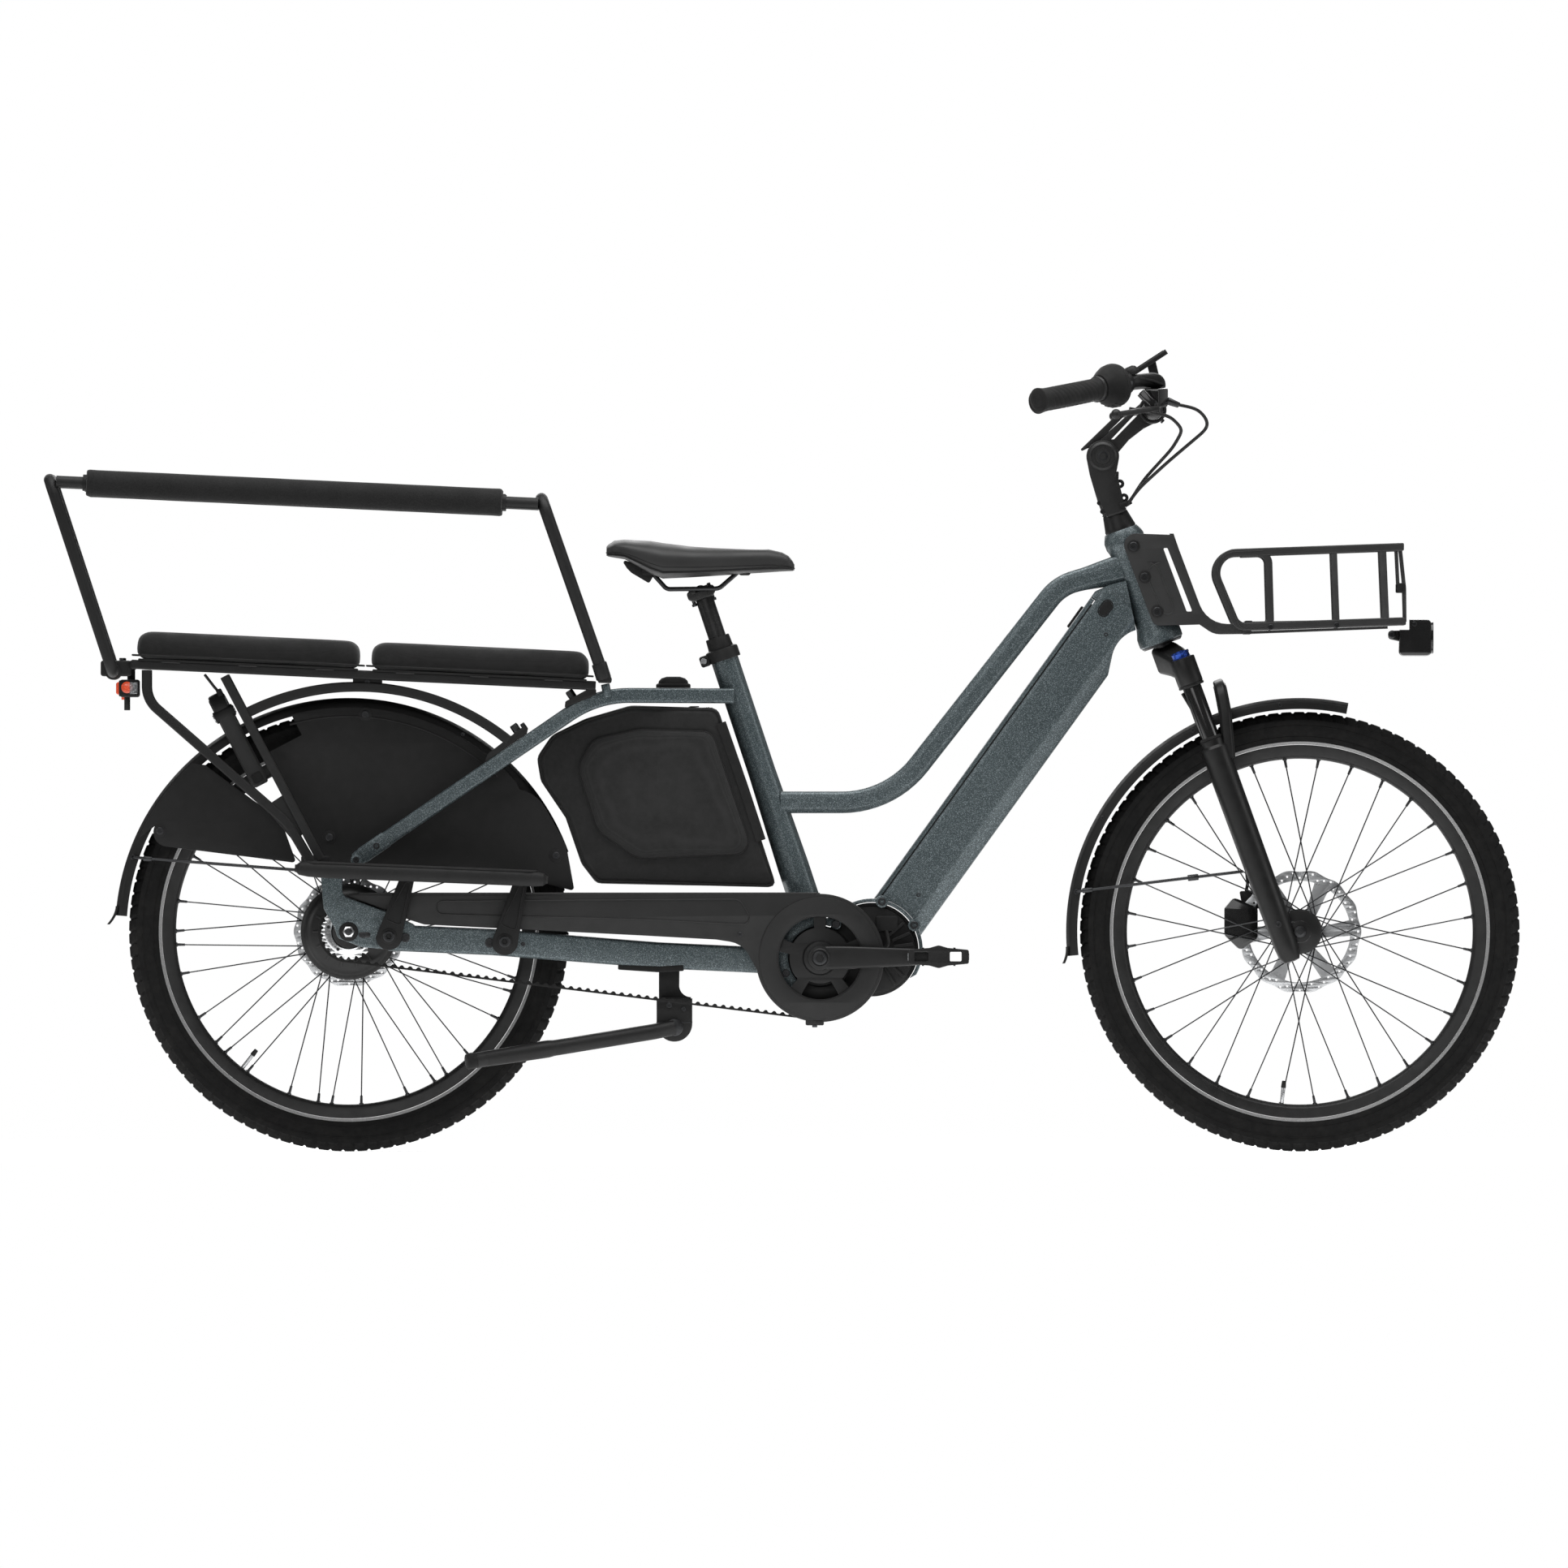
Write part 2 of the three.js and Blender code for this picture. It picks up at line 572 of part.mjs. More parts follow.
function addSkirts() {
  const rim = guardRadius - 6;
  const rear = [...circle(rearAxleX, wheelRadius, rim, 8, 156, 133),
    ...rounded([[-905, 598, 12], [-880, 590, 12],
    [-765, 505, 12], [-742, 441, 4], [-972, 470, 22]]).slice(2)];
  const front = [...circle(rearAxleX, wheelRadius, rim - 8, 12, 112, 42),
    ...rounded([[-374, 548, 60], [-330, 470, 60], [-317, 398, 4],
    [-359, 409, 6], [-700, 441, 4], [-712, 468, 6], [-800, 640, 8]])];
  const screws = (list, y) => list.map(([x, z]) => rod(vec(x, y - 3, z), vec(x, y + 3, z), 6, 8));
  const lockRoom = inBicycle(join(box(-90, 90, -80, 80, -40, 40)), lockFrame);
  for (const [side, sign] of [['right', -1], ['left', 1]]) {
    const [y0, y1] = sign < 0 ? [-skirtY - 3, -skirtY] : [skirtY, skirtY + 3];
    const face = sign * (skirtY + 2);
    add(`skirt_rear_${side}`, join(plate(rear, y0, y1), ...screws([[-950, 490]], face)), 'darkGrey', 'coat');
    const panel = cut(plate(front, y0, y1), lockRoom);
    add(`skirt_front_${side}`, join(panel, ...screws([[-636, 668], [-691, 480], [-345, 452]], face)),
      'darkGrey', 'coat');
  }
}

// The ring lock stands across the tyre; its own local Z points out along the wheel's radius.
const lockFrame = group(-831, 629.5, -27.4);

function addFrameLock() {
  const outer = rounded([[-58, -78, 6], [58, -78, 6], [58, 78, 40], [-58, 78, 40]],
    15).map((p) => [p.x, p.y]);
  const inner = rounded([[-40.5, -90], [40.5, -90], [40.5, 54, 32], [-40.5, 54, 32]],
    15).map((p) => [p.x, p.y]);
  const across = (points, x0, x1) => sweep([vec(x0, 0, 0), vec(x1, 0, 0)], points.map(([y, z]) => [-z, y]));
  const body = cut(across(outer, -12, 12), across(inner, -20, 20));
  const cylinder = rod(vec(-16, -50, 44), vec(16, -50, 44), 9, 12);
  const cableGland = box(6, 16, -40, -30, 66, 84);
  add('frame_lock', join(body, cylinder, cableGland), 'black', 'coat', lockFrame);
}

function addTailLight() {
  const housing = plate(rounded([[-1012, 694, 5], [-981, 694, 4], [-981, 721, 4], [-1012, 721, 5]]), -42, 42);
  const lens = plate(rounded([[-1017, 697, 4], [-1008, 697], [-1008, 718], [-1017, 718, 4]]), -36, 36);
  const stalk = box(-1000, -988, -8, 8, 718, 744);
  const bracket = box(-1000, -986.5, -30, 30, 736, 744);
  const plug = rod(vec(-1000, -20, 674), vec(-1000, -20, 698), 5, 8);
  add('tail_light', join(housing, lens, stalk, bracket, plug), 'light', 'coat');
}

// ---------------------------------------------------------------- boards, belt drive, box and stand
function addFootboards() {
  const path = [vec(-743, -145, 433), vec(-700, -145, 430), vec(-400, -145, 418), vec(-357, -145, 415)];
  const sizes = [[0.8, 0.8], [1, 1], [1, 1], [0.8, 0.8]];
  const board = sweep(path, boxSection(12, 48, 9), { sizes });
  const arm = (topX, topZ, footX, footZ) => plate([
    ...circle(footX, footZ, 20, 10, 180, 360), ...spots([[topX + 11, topZ], [topX - 9, topZ]]),
  ], -100, -92);
  const bolt = (x, z) => rod(vec(x, -104, z), vec(x, -88.4, z), 12, 12);
  const right = join(board, arm(-571, 426, -600, 328), arm(-398, 420, -423, 320), bolt(-600, 330),
    bolt(-423, 320));
  add('footboard_right', right, 'darkGrey', 'coat');
  add('footboard_left', mirrored(right), 'darkGrey', 'coat');
}

const coverOuterY = -82;
const coverInnerY = -53;
const coverRadius = 98;

// The cover is a face plate with a wall along the top and round the front of the belt ring.
function addBeltCover() {
  const outline = [
    ...spots([[-648, 396], [-664, 393], [-664, 390.2], [-602, 368], [-570, 354.5], [-546, 347]]),
    ...spots([[-209, 330], [-100, 322], [-66, 315], [-46, 298]]),
    ...circle(crankX, crankZ, coverRadius, 24, 191, 450), ...spots([[crankX, 396]]),
  ];
  const face = plate(outline, coverOuterY, coverOuterY + 4, [circle(crankX, crankZ, 63, 24)]);
  const topWall = box(-646, crankX, coverOuterY, coverInnerY, 393, 396);
  const frontWall = cut(
    plate(circle(crankX, crankZ, coverRadius, 32), coverOuterY, coverInnerY),
    plate(circle(crankX, crankZ, coverRadius - 2, 32), coverOuterY - 1, coverInnerY + 1),
    box(-100, crankX - 4, -90, -40, 150, 450),
    box(-200, 260, -90, -40, 150, crankZ + 30),
  );
  const tab = box(crankX - 22, crankX + 6, coverOuterY, -76.6, 193, 201);
  const seatTube = inBicycle(seatTubeOuter(seatTubeRadius + 1), seat);
  add('belt_cover', cut(join(face, topWall, frontWall, tab), seatTube), 'black', 'coat');
}

function addBeltDrive() {
  // The belt runs on the two pitch circles and along their common tangents.
  const thickness = 1.6;
  const distance = Math.hypot(crankX - rearAxleX, wheelRadius - crankZ);
  const lean = Math.atan2(crankZ - wheelRadius, crankX - rearAxleX);
  const spread = Math.asin((beltRingRadius - sprocketRadius) / distance);
  const deg = THREE.MathUtils.radToDeg;
  const loop = (offset) => [
    ...circle(crankX, crankZ, beltRingRadius + offset, 18, deg(lean - spread) - 90, deg(lean + spread) + 90),
    ...circle(rearAxleX, wheelRadius, sprocketRadius + offset, 10, deg(lean + spread) + 90,
      deg(lean - spread) + 270),
  ];
  const belt = plate(loop(thickness), beltY - beltHalfWidth, beltY + beltHalfWidth, [loop(-thickness)]);
  add('drive_belt', belt, 'black', 'rubber');

  const sprocket = cut(
    plate(toothed(rearAxleX, wheelRadius, sprocketRadius - thickness - 1, 5, 11), beltY - beltHalfWidth,
      beltY + beltHalfWidth),
    rod(vec(rearAxleX, -100, wheelRadius), vec(rearAxleX, 0, wheelRadius), 26, 20),
  );
  add('rear_sprocket', sprocket, 'silver', 'metal');
}

// A ring of straight-sided teeth, as 2-D points.
function toothed(x, z, radius, depth, teeth) {
  const points = [];
  for (let k = 0; k < teeth; k += 1) {
    for (const [part, r] of [[0, radius], [0.45, radius], [0.55, radius - depth], [0.9, radius - depth]]) {
      points.push(circle(x, z, r, 1, ((k + part) * 360) / teeth, ((k + part) * 360) / teeth + 1)[0]);
    }
  }
  return points;
}

function addStorageBox() {
  const outline = rounded([[-300, 661, 60], [-232, 681, 40], [-98, 677, 14], [-86, 640], [-8, 404, 6],
    [-283, 410, 14], [-306, 440, 20], [-330, 510], [-368, 566, 20], [-374, 602, 20], [-352, 636, 30]]);
  const body = plate(outline, -50, 50);
  const panel = (y0, y1) => plate(rounded([[-313, 588, 30], [-290, 630, 30], [-216, 646, 30],
    [-106, 642, 20], [-44, 455, 20],
    [-220, 446, 40], [-283, 490, 40]]), y0, y1);
  const stays = stay(boxSection(12.5, 9, 0));
  const seatTube = inBicycle(seatTubeOuter(seatTubeRadius + 0.8), seat);
  add('storage_bag', cut(join(body, panel(-62, -49), panel(49, 62)), stays, mirrored(stays), seatTube),
    'bag', 'fabric');
}

const standPivotX = -164;
const standPivotZ = 190;

function addKickstand() {
  const neck = box(-188, -156.5, -22, 22, 228, 281.6);
  const block = plate(rounded([[-191.5, 236, 6], [-137, 236, 4], [-137, 168, 27], [-191.5, 168, 27]], 23),
    -44, 44);
  const axleBore = rod(vec(standPivotX, -60, standPivotZ), vec(standPivotX, 60, standPivotZ), 8.6, 16);
  add('kickstand_bracket', cut(join(neck, block), axleBore), 'black', 'coat');

  const axle = rod(vec(standPivotX, -61, standPivotZ), vec(standPivotX, 61, standPivotZ), 8, 16);
  const leg = tube([[standPivotX, -57.5, standPivotZ], [-194, -61, 183.5, 30], [-340, -102, 159.5, 300],
    [-466, -134, 140]], 12, 8);
  const foot = rod(vec(-356, -106, 157), vec(-482, -138, 138), 13, 10);
  add('kickstand_legs', join(axle, bothSides(join(leg, foot))), 'black', 'coat');
}

// ---------------------------------------------------------------- front carrier and headlight
const basketY = 150;
const lampPivot = [932, 790];

function addCarrier() {
  const outline = rounded([[514, 945, 18], [598, 942, 8], [649, 806, 45], [703, 806], [703, 798], [716, 798],
    [716, 795], [925, 802.6], [925, 798.6], [716, 790.6], [660, 790, 30], [638, 805], [568, 803, 14]]);
  const slot = rounded([[583, 921], [588, 921], [626, 825, 2], [618, 825, 2]]);
  const plateSide = plate(outline, -37, -32, [slot]);
  const web = plate(spots([[592, 944], [598, 944], [643, 812], [636, 812]]), -36, 36);
  const holes = headBoltHeights.map((h) => inBicycle(rod(vec(headBoltForward, -60, h),
    vec(headBoltForward, -31, h), 5), steering));
  const seatRail = box(704, 716, -120, 120, 790, 798);
  add('carrier_bracket', join(bothSides(cut(plateSide, ...holes)), web, seatRail), 'darkGrey', 'coat');

  const loop = sweep(bent([
    [948, -basketY, 923.3], [648, -basketY, 912.7, 31], [694.5, -basketY, 801, 20], [950, -basketY, 810],
  ], 20), boxSection(6, 6, 0));
  const post = (x0, x1) => sweep([vec(x0, -basketY, 918), vec(x1, -basketY, 806)], boxSection(5, 5, 0));
  const side = join(loop, post(741.4, 745.2), post(841.8, 846), post(916.4, 921.2));
  const cross = (x, z) => box(x - 6, x + 6, -basketY, basketY, z - 6, z + 6);
  const floor = [-110, -55, 0, 55, 110].map((y) => sweep([vec(708, y, 807), vec(944, y, 811)],
    boxSection(2.5, 14, 0)));
  const frontWires = [-75, 0, 75].map((y) => rod(vec(944, y, 922), vec(950, y, 808), 3, 6));
  const frame = join(bothSides(side), cross(944, 923), cross(946, 809.5), cross(712, 805), cross(690, 914),
    ...floor, ...frontWires);
  add('front_basket', frame, 'darkGrey', 'coat');
}

function addHeadlight() {
  const [px, pz] = lampPivot;
  const body = plate(rounded([[942, 757, 5], [994, 757, 5], [994, 813, 6], [944, 813, 5]]), -30, 30);
  const arm = plate(rounded([[px - 6, pz - 7, 5], [946, 778], [946, 796], [px - 6, pz + 6, 5]]), -10, 10);
  const lens = rod(vec(993, 0, 785), vec(996, 0, 785), 20, 20);
  const basketRoom = box(900, 958, -40, 40, 796.5, 830);
  add('headlight', cut(join(body, arm, lens), basketRoom), 'black', 'coat');
}

// ---------------------------------------------------------------- fork, stem and controls
function addFork() {
  const steerer = rod(vec(0, 0, -40), vec(0, 0, 246), 14.2, 14);
  const shoulder = sweep(
    [vec(0, -70, 0), vec(0, -36, 0),
      vec(0, 0, 0)].map((p, i) => p.add(vec([20, 14, 0][i], 0, [-54, -44, -29][i]))),
    boxSection(1, 1, 0).map(([a, b]) => [a, b]),
    { side: vec(1, 0, 0), sizes: [[16, 19], [17, 22], [21, 27]] },
  );
  const sleeve = rod(vec(forkOffset, -legSpacing, -79), vec(forkOffset, -legSpacing, -39), 19.5, 12);
  const knob = rod(vec(forkOffset, -legSpacing, -40), vec(forkOffset, -legSpacing, -28), 14.5, 10);
  const stanchion = rod(vec(forkOffset, -legSpacing, -330), vec(forkOffset, -legSpacing, -60),
    stanchionRadius, 12);
  add('fork_crown', join(steerer, bothSides(join(shoulder, sleeve, knob, stanchion))), 'black', 'coat',
    steering);

  const axleForward = 47.1;
  const axleDown = -492;
  const leg = sweep(
    [-172, -182, -186, -240, -330, -440, -505,
      -530].map((t, i) => vec(forkOffset + [0, 0, 4, 2, 0, 0, 1, 1][i], -legSpacing, t)),
    ringSection(1, 8),
    { sizes: [[18, 18], [18, 18], [22, 20], [21, 20], [20, 19.5], [19, 18.5], [18, 17], [12, 11]] },
  );
  const lug = sweep([vec(forkOffset, -54, -485), vec(axleForward, -54, axleDown)], boxSection(17, 6, 0));
  const eye = rod(vec(axleForward, -60.5, axleDown), vec(axleForward, -47.5, axleDown), 17, 12);
  const thruHead = rod(vec(axleForward, -66, axleDown), vec(axleForward, -60, axleDown), 9, 8);
  const arch = sweep(
    bent([[forkOffset + 16, -legSpacing, -206], [forkOffset + 34, -60, -140, 30], [60, -46, -102, 26],
      [60, 0, -98]], 40),
    boxSection(11, 8, 0), { side: vec(1, 0, 0) },
  );
  const bore = rod(vec(forkOffset, -legSpacing, -400), vec(forkOffset, -legSpacing, -150),
    stanchionRadius + 1.2, 12);
  const axleRod = rod(vec(axleForward, -50, axleDown), vec(axleForward, 50, axleDown), 6.4, 10);
  const side = cut(join(leg, lug, eye, thruHead, arch), bore);

  const caliper = cut(
    join(plate(rounded([[676, 330, 8], [700, 307, 8], [727, 325, 8], [727, 372, 6], [690, 389, 8],
      [676, 372, 8]]), 27, 60),
      plate(spots([[699, 398], [721, 398], [732, 372], [705, 366]]), 50, 66)),
    plate(circle(frontAxleX, wheelRadius, 96.5, 24), rotorY - 1.8, rotorY + 1.8),
  );
  const guardRoom = plate(circle(frontAxleX, wheelRadius, guardRadius + 1, 48), -36, 36);
  const lowers = cut(inBicycle(bothSides(side), steering), guardRoom);
  add('fork_lowers', join(lowers, inBicycle(axleRod, steering), caliper), 'black', 'coat');
}

function addFrontGuard() {
  const body = guard(frontAxleX, 78, 186, 14);
  const stay = tube([[448, -33, 397], [464, -38, 399, 8], [620, -38.5, 418], [704, -39, 428]], 2.4, 4,
    { side: vec(0, 0, 1) });
  const holder = rod(vec(622, -38.5, 418), vec(634, -38.5, 419.4), 5, 6);
  add('front_mudguard', join(body, flap(frontAxleX, 185, 18), bothSides(join(stay, holder))), 'black',
    'coat');
}

function addStem() {
  const outline = [...spots([[494, 967], [526, 978], [523, 990], [514, 1025]]),
    ...circle(stemPivotX, stemPivotZ, 25, 12, -10, 195), ...spots([[470, 1034]])];
  const neck = inBicycle(turned([[0, 206], [18.4, 206], [18.4, 232], [16, 250], [0, 250]], 14), steering);
  const cone = inBicycle(turned([[0, 178 + gap], [24, 178 + gap], [23.4, 184], [18.4, 206], [0, 206]], 14),
    steering);
  const bore = inBicycle(turned([[0, 170], [14.9, 170], [14.9, 247], [0, 247]], 12), steering);
  const eyelets = [[517, 1020], [524, 999]].map(([x, z]) => rod(vec(x, -5, z), vec(x, 5, z), 6.5, 8));
  const knuckleRoom = plate([...circle(stemPivotX, stemPivotZ, 27, 16)], -12.4, 12.4);
  const above = plate(rounded([[455, 1062], [525, 1062], [525, 1100], [455, 1100]]), -12.4, 12.4);
  const pin = rod(vec(stemPivotX, -26, stemPivotZ), vec(stemPivotX, 26, stemPivotZ), 6, 14);
  const caps = [-1, 1].map((s) => rod(vec(stemPivotX, s * 21, stemPivotZ),
    vec(stemPivotX, s * 26, stemPivotZ), 22, 16));
  const lower = cut(join(plate(outline, -22, 22), neck, cone, ...eyelets), knuckleRoom, above, bore);
  add('stem_lower', join(lower, ...caps, pin), 'darkGrey', 'coat');

  const arm = plate([...circle(stemPivotX, stemPivotZ, 22, 10, 130, 320),
    ...spots([[514, 1068], [530, 1087], [552, 1104]]), ...circle(barX, barZ, 20, 10, -75, 125)], -12, 12);
  const clampBody = plate(circle(barX, barZ, 21.5, 16), -24, 24);
  const topPlate = plate(spots([[449, 1066], [506, 1121], [550, 1150], [478, 1079]]), -12, 12);
  const slit = plate(spots([[503, 1088], [507, 1088], [546, 1128], [541, 1128]]), -30, 30);
  const displayBody = sweep([vec(524, 0, 1181), vec(587, 0, 1222)], boxSection(4, 29, 0));
  const displayPost = sweep([vec(560, 0, 1150), vec(570, 0, 1176), vec(566, 0, 1206)], boxSection(7, 9, 0));
  const pinBore = rod(vec(stemPivotX, -30, stemPivotZ), vec(stemPivotX, 30, stemPivotZ), 6.4, 14);
  const barBore = rod(vec(barX, -40, barZ), vec(barX, 40, barZ), 16.6, 16);
  const upper = cut(join(arm, clampBody, topPlate, displayPost, displayBody), slit, pinBore, barBore);
  add('stem_upper', upper, 'darkGrey', 'coat');
}

const gripDirection = gripEnd.clone().sub(gripStart).normalize();
const onGrip = (s) => gripStart.clone().addScaledVector(gripDirection, s);
const gripLength = gripStart.distanceTo(gripEnd);

function addHandlebar() {
  const [g0, g1] = [gripStart, onGrip(gripLength - 4)];
  const half = tube([[566, 0, 1133], [566, 42, 1133, 40], [577, 108, 1179, 40],
    [...onGrip(-25).toArray(), 20], g1.toArray()],
    11.1, 8, { side: vec(1, 0, 0), step: 34 });
  const centre = rod(vec(barX, -30, barZ), vec(barX, 30, barZ), 15.9, 16);
  const reservoir = sweep([vec(578, 112, 1152), vec(563, 163, 1149.6)], boxSection(15, 13, 4),
    { side: vec(1, 0, 0) });
  const clampRing = rod(onGrip(-10), onGrip(6), 17, 16);
  const leftHalf = join(half, reservoir, clampRing);
  add('handlebar', join(bothSides(leftHalf), centre), 'black', 'coat');

  const bore = rod(onGrip(0), onGrip(gripLength + 2), 12, 12);
  const start = 54;
  const grip = cut(sweep(
    [start, start + 6, start + 50, gripLength - 22, gripLength - 4, gripLength].map(onGrip),
    ringSection(1, 10), { side: vec(0, 0, 1), sizes: [[19, 19], [16.5, 16.5], [16, 16.5], [19, 20], [19, 20],
      [14, 16]] },
  ), rod(onGrip(0), onGrip(gripLength - 3), 12, 12));
  add('grip_left', grip, 'darkGrey', 'rubber');
  add('grip_right', mirrored(grip), 'darkGrey', 'rubber');

  const profile = [[12, 32], [24, 33.5], [38, 28], [51, 20]];
  const shifter = cut(sweep(profile.map(([s]) => onGrip(s)), ringSection(1, 12), {
    side: vec(0, 0, 1), sizes: profile.map(([, r]) => [r, r]),
  }), bore);
  add('twist_shifter', mirrored(shifter), 'black', 'coat');

  const lever = join(
    sweep(bent([[570, 172, 1135], [556, 196, 1132, 20], [512, 256, 1125]], 40), boxSection(3.5, 6.5, 0),
      { side: vec(1, 0, 0) }),
    clean(new THREE.IcosahedronGeometry(8, 1).translate(509, 260, 1125)),
  );
  add('brake_lever_left', lever, 'darkGrey', 'coat');
  add('brake_lever_right', mirrored(lever), 'darkGrey', 'coat');
}

function addHoses() {
  const shape = { side: vec(0, 0.3, 1), step: 40 };
  const brakeHose = tube([
    [606, -106, 1140], [636, -104, 1134, 22], [655, -90, 1109, 15], [590, -54, 1054, 150],
      [545, -26, 1013, 60], [527, -21, 988],
  ], 2.6, 5, shape);
  add('hose_right', brakeHose, 'black', 'rubber');
  const gearHose = tube([
    [530, -172, 1134], [592, -148, 1123, 22], [612, -112, 1102, 16], [596, -70, 1074, 50],
      [552, -16, 1026, 60], [532, -6, 994],
  ], 2.6, 5, shape);
  add('hose_left', gearHose, 'black', 'rubber');
}

// ---------------------------------------------------------------- wheels
// Spokes from the hub flanges to the rim; neighbours lean opposite ways and pass beside each other.
function spoked(axleX, count, hub, flangeRadius, flangeY, crossAngle, angles) {
  let wheel = toManifold(hub);
  for (let k = 0; k < count; k += 1) {
    const outer = radians(angles(k));
    const side = k % 2;
    const lean = Math.floor(k / 2) % 2 ? 1 : -1;
    const inner = outer + lean * radians(crossAngle);
    const [y0, y1] = [flangeY[side] + lean * 1.6, (side ? 4 : -4) + lean * 1.4];
    const from = vec(axleX + flangeRadius * Math.cos(inner), y0,
      wheelRadius + flangeRadius * Math.sin(inner));
    const to = vec(axleX + spokeEnd * Math.cos(outer), y1, wheelRadius + spokeEnd * Math.sin(outer));
    wheel = wheel.add(toManifold(rod(from, to, spokeRadius, 3)));
  }
  return fromManifold(wheel);
}

function tyreAndRim(prefix, axleX) {
  const w = tyreHalfWidth;
  const r = wheelRadius;
  const inner = rimOuter + gap;
  const tyre = turnedY([[inner, -13], [inner + 12, 4 - w], [r - 22, -w], [r - 5, 4 - w], [r, 11 - w],
    [r, w - 11],
    [r - 5, w - 4], [r - 22, w], [inner + 12, w - 4], [inner, 13]], axleX, wheelRadius, wheelSides);
  add(`${prefix}_tyre`, tyre, 'tyre', 'rubber');
  const rim = turnedY([[rimInner, -6], [rimInner + 5, -13], [rimOuter, -15], [rimOuter, 15],
    [rimInner + 5, 13],
    [rimInner, 6]], axleX, wheelRadius, wheelSides);
  add(`${prefix}_rim`, rim, 'black', 'coat');
}

function rotor(axleX, radius, y) {
  const windows = [];
  for (let k = 0; k < 6; k += 1) {
    const [a, b] = [60 * k + 8, 60 * k + 52];
    windows.push([...circle(axleX, wheelRadius, radius - 17, 3, a, b),
      ...circle(axleX, wheelRadius, 34, 1, b, a)]);
  }
  return plate(circle(axleX, wheelRadius, radius, 32), y - 1, y + 1,
    [...windows, circle(axleX, wheelRadius, 21.4, 16)]);
}

function addWheels() {
  tyreAndRim('front', frontAxleX);
  tyreAndRim('rear', rearAxleX);

  const frontHub = turnedY([[6.9, -43.5], [13, -43.5], [15, -34], [33, -31], [33, -26], [17, -22], [17, 18],
    [33, 21],
    [33, 26], [21, 28], [21, 38], [12, 43.5], [6.9, 43.5]], frontAxleX, wheelRadius, 16);
  const frontAngle = (k) => 11.25 * k + 5;
  add('front_hub', spoked(frontAxleX, 32, frontHub, 30, [-28.5, 23.5], 62, frontAngle), 'black', 'metal');
  const rearHub = turnedY([[0, -97], [6, -97], [6, -89], [8.6, -89], [8.6, -72.6], [25, -72], [25.6, -56],
    [60, -46],
    [73, -30], [73, 30], [60, 38], [26, 40], [21, 44], [21, 72.6], [8.6, 73], [8.6, 89], [6, 90], [6, 97],
      [0, 97]],
  rearAxleX, wheelRadius, 18);
  const nippleOffsets = [0, 10, 14.5, 24.3];
  const rearAngle = (k) => 169.8 + 40 * Math.floor(k / 4) + nippleOffsets[k % 4];
  add('rear_hub', spoked(rearAxleX, 36, rearHub, 70, [-27, 27], 14, rearAngle), 'black', 'metal');

  add('front_rotor', rotor(frontAxleX, 94.6, rotorY), 'rotor', 'metal');
  add('rear_rotor', rotor(rearAxleX, 85, 58), 'rotor', 'metal');
}

// ---------------------------------------------------------------- cranks, pedals and seat
function crankArm(sign) {
  const [inner, outer] = [sign * 86, sign * 100];
  const path = [vec(crankX, sign * 92, crankZ), vec(crankX + sign * -40, sign * 94, crankZ),
    vec(crankX - sign * crankLength, sign * 98, crankZ + 2)];
  const arm = sweep(path, boxSection(17, 7, 4), { sizes: [[1, 1], [1, 1], [0.72, 1]] });
  const hub = rod(vec(crankX, inner, crankZ), vec(crankX, outer, crankZ), 19, 16);
  const eyeX = crankX - sign * crankLength;
  const eye = rod(vec(eyeX, sign * 91, crankZ + 2), vec(eyeX, sign * 105, crankZ + 2), 12.5, 16);
  const bore = rod(vec(eyeX, sign * 80, crankZ + 2), vec(eyeX, sign * 110, crankZ + 2), 7.4, 12);
  return cut(join(arm, hub, eye), bore);
}

function addCranks() {
  const spindle = rod(vec(crankX, -96, crankZ), vec(crankX, 96, crankZ), 12, 16);
  const arms = [];
  for (let k = 0; k < 5; k += 1) {
    const angle = radians(90 + 72 * k);
    const tip = vec(crankX + 84 * Math.cos(angle), -74, crankZ + 84 * Math.sin(angle));
    arms.push(sweep([vec(crankX, -74, crankZ), tip], boxSection(9, 2.4, 0)));
  }
  const disc = plate(circle(crankX, crankZ, 34, 16), -86.5, -71);
  const inner = beltRingRadius - 2.8;
  const ring = plate(circle(crankX, crankZ, inner, 32), -76.4, beltY + beltHalfWidth,
    [circle(crankX, crankZ, 78, 20)]);
  const crankset = join(crankArm(-1), crankArm(1), spindle, disc, ...arms, ring);
  add('crankset', crankset, 'black', 'coat');

  for (const [name, sign] of [['pedal_right', -1], ['pedal_left', 1]]) {
    const x = crankX - sign * crankLength;
    const z = crankZ + 2;
    const axle = rod(vec(x, sign * 92, z), vec(x, sign * 190, z), 6.8, 12);
    const cage = cut(
      plate(rounded([[x - 46, z - 9, 5], [x + 46, z - 9, 5], [x + 46, z + 9, 5], [x - 46, z + 9, 5]]), 112,
        198),
      box(x - 36, x - 14, 118, 192, z - 20, z + 20),
      box(x + 14, x + 36, 118, 192, z - 20, z + 20),
    );
    add(name, join(axle, sign < 0 ? mirrored(cage) : cage), 'darkGrey', 'rubber');
  }
}

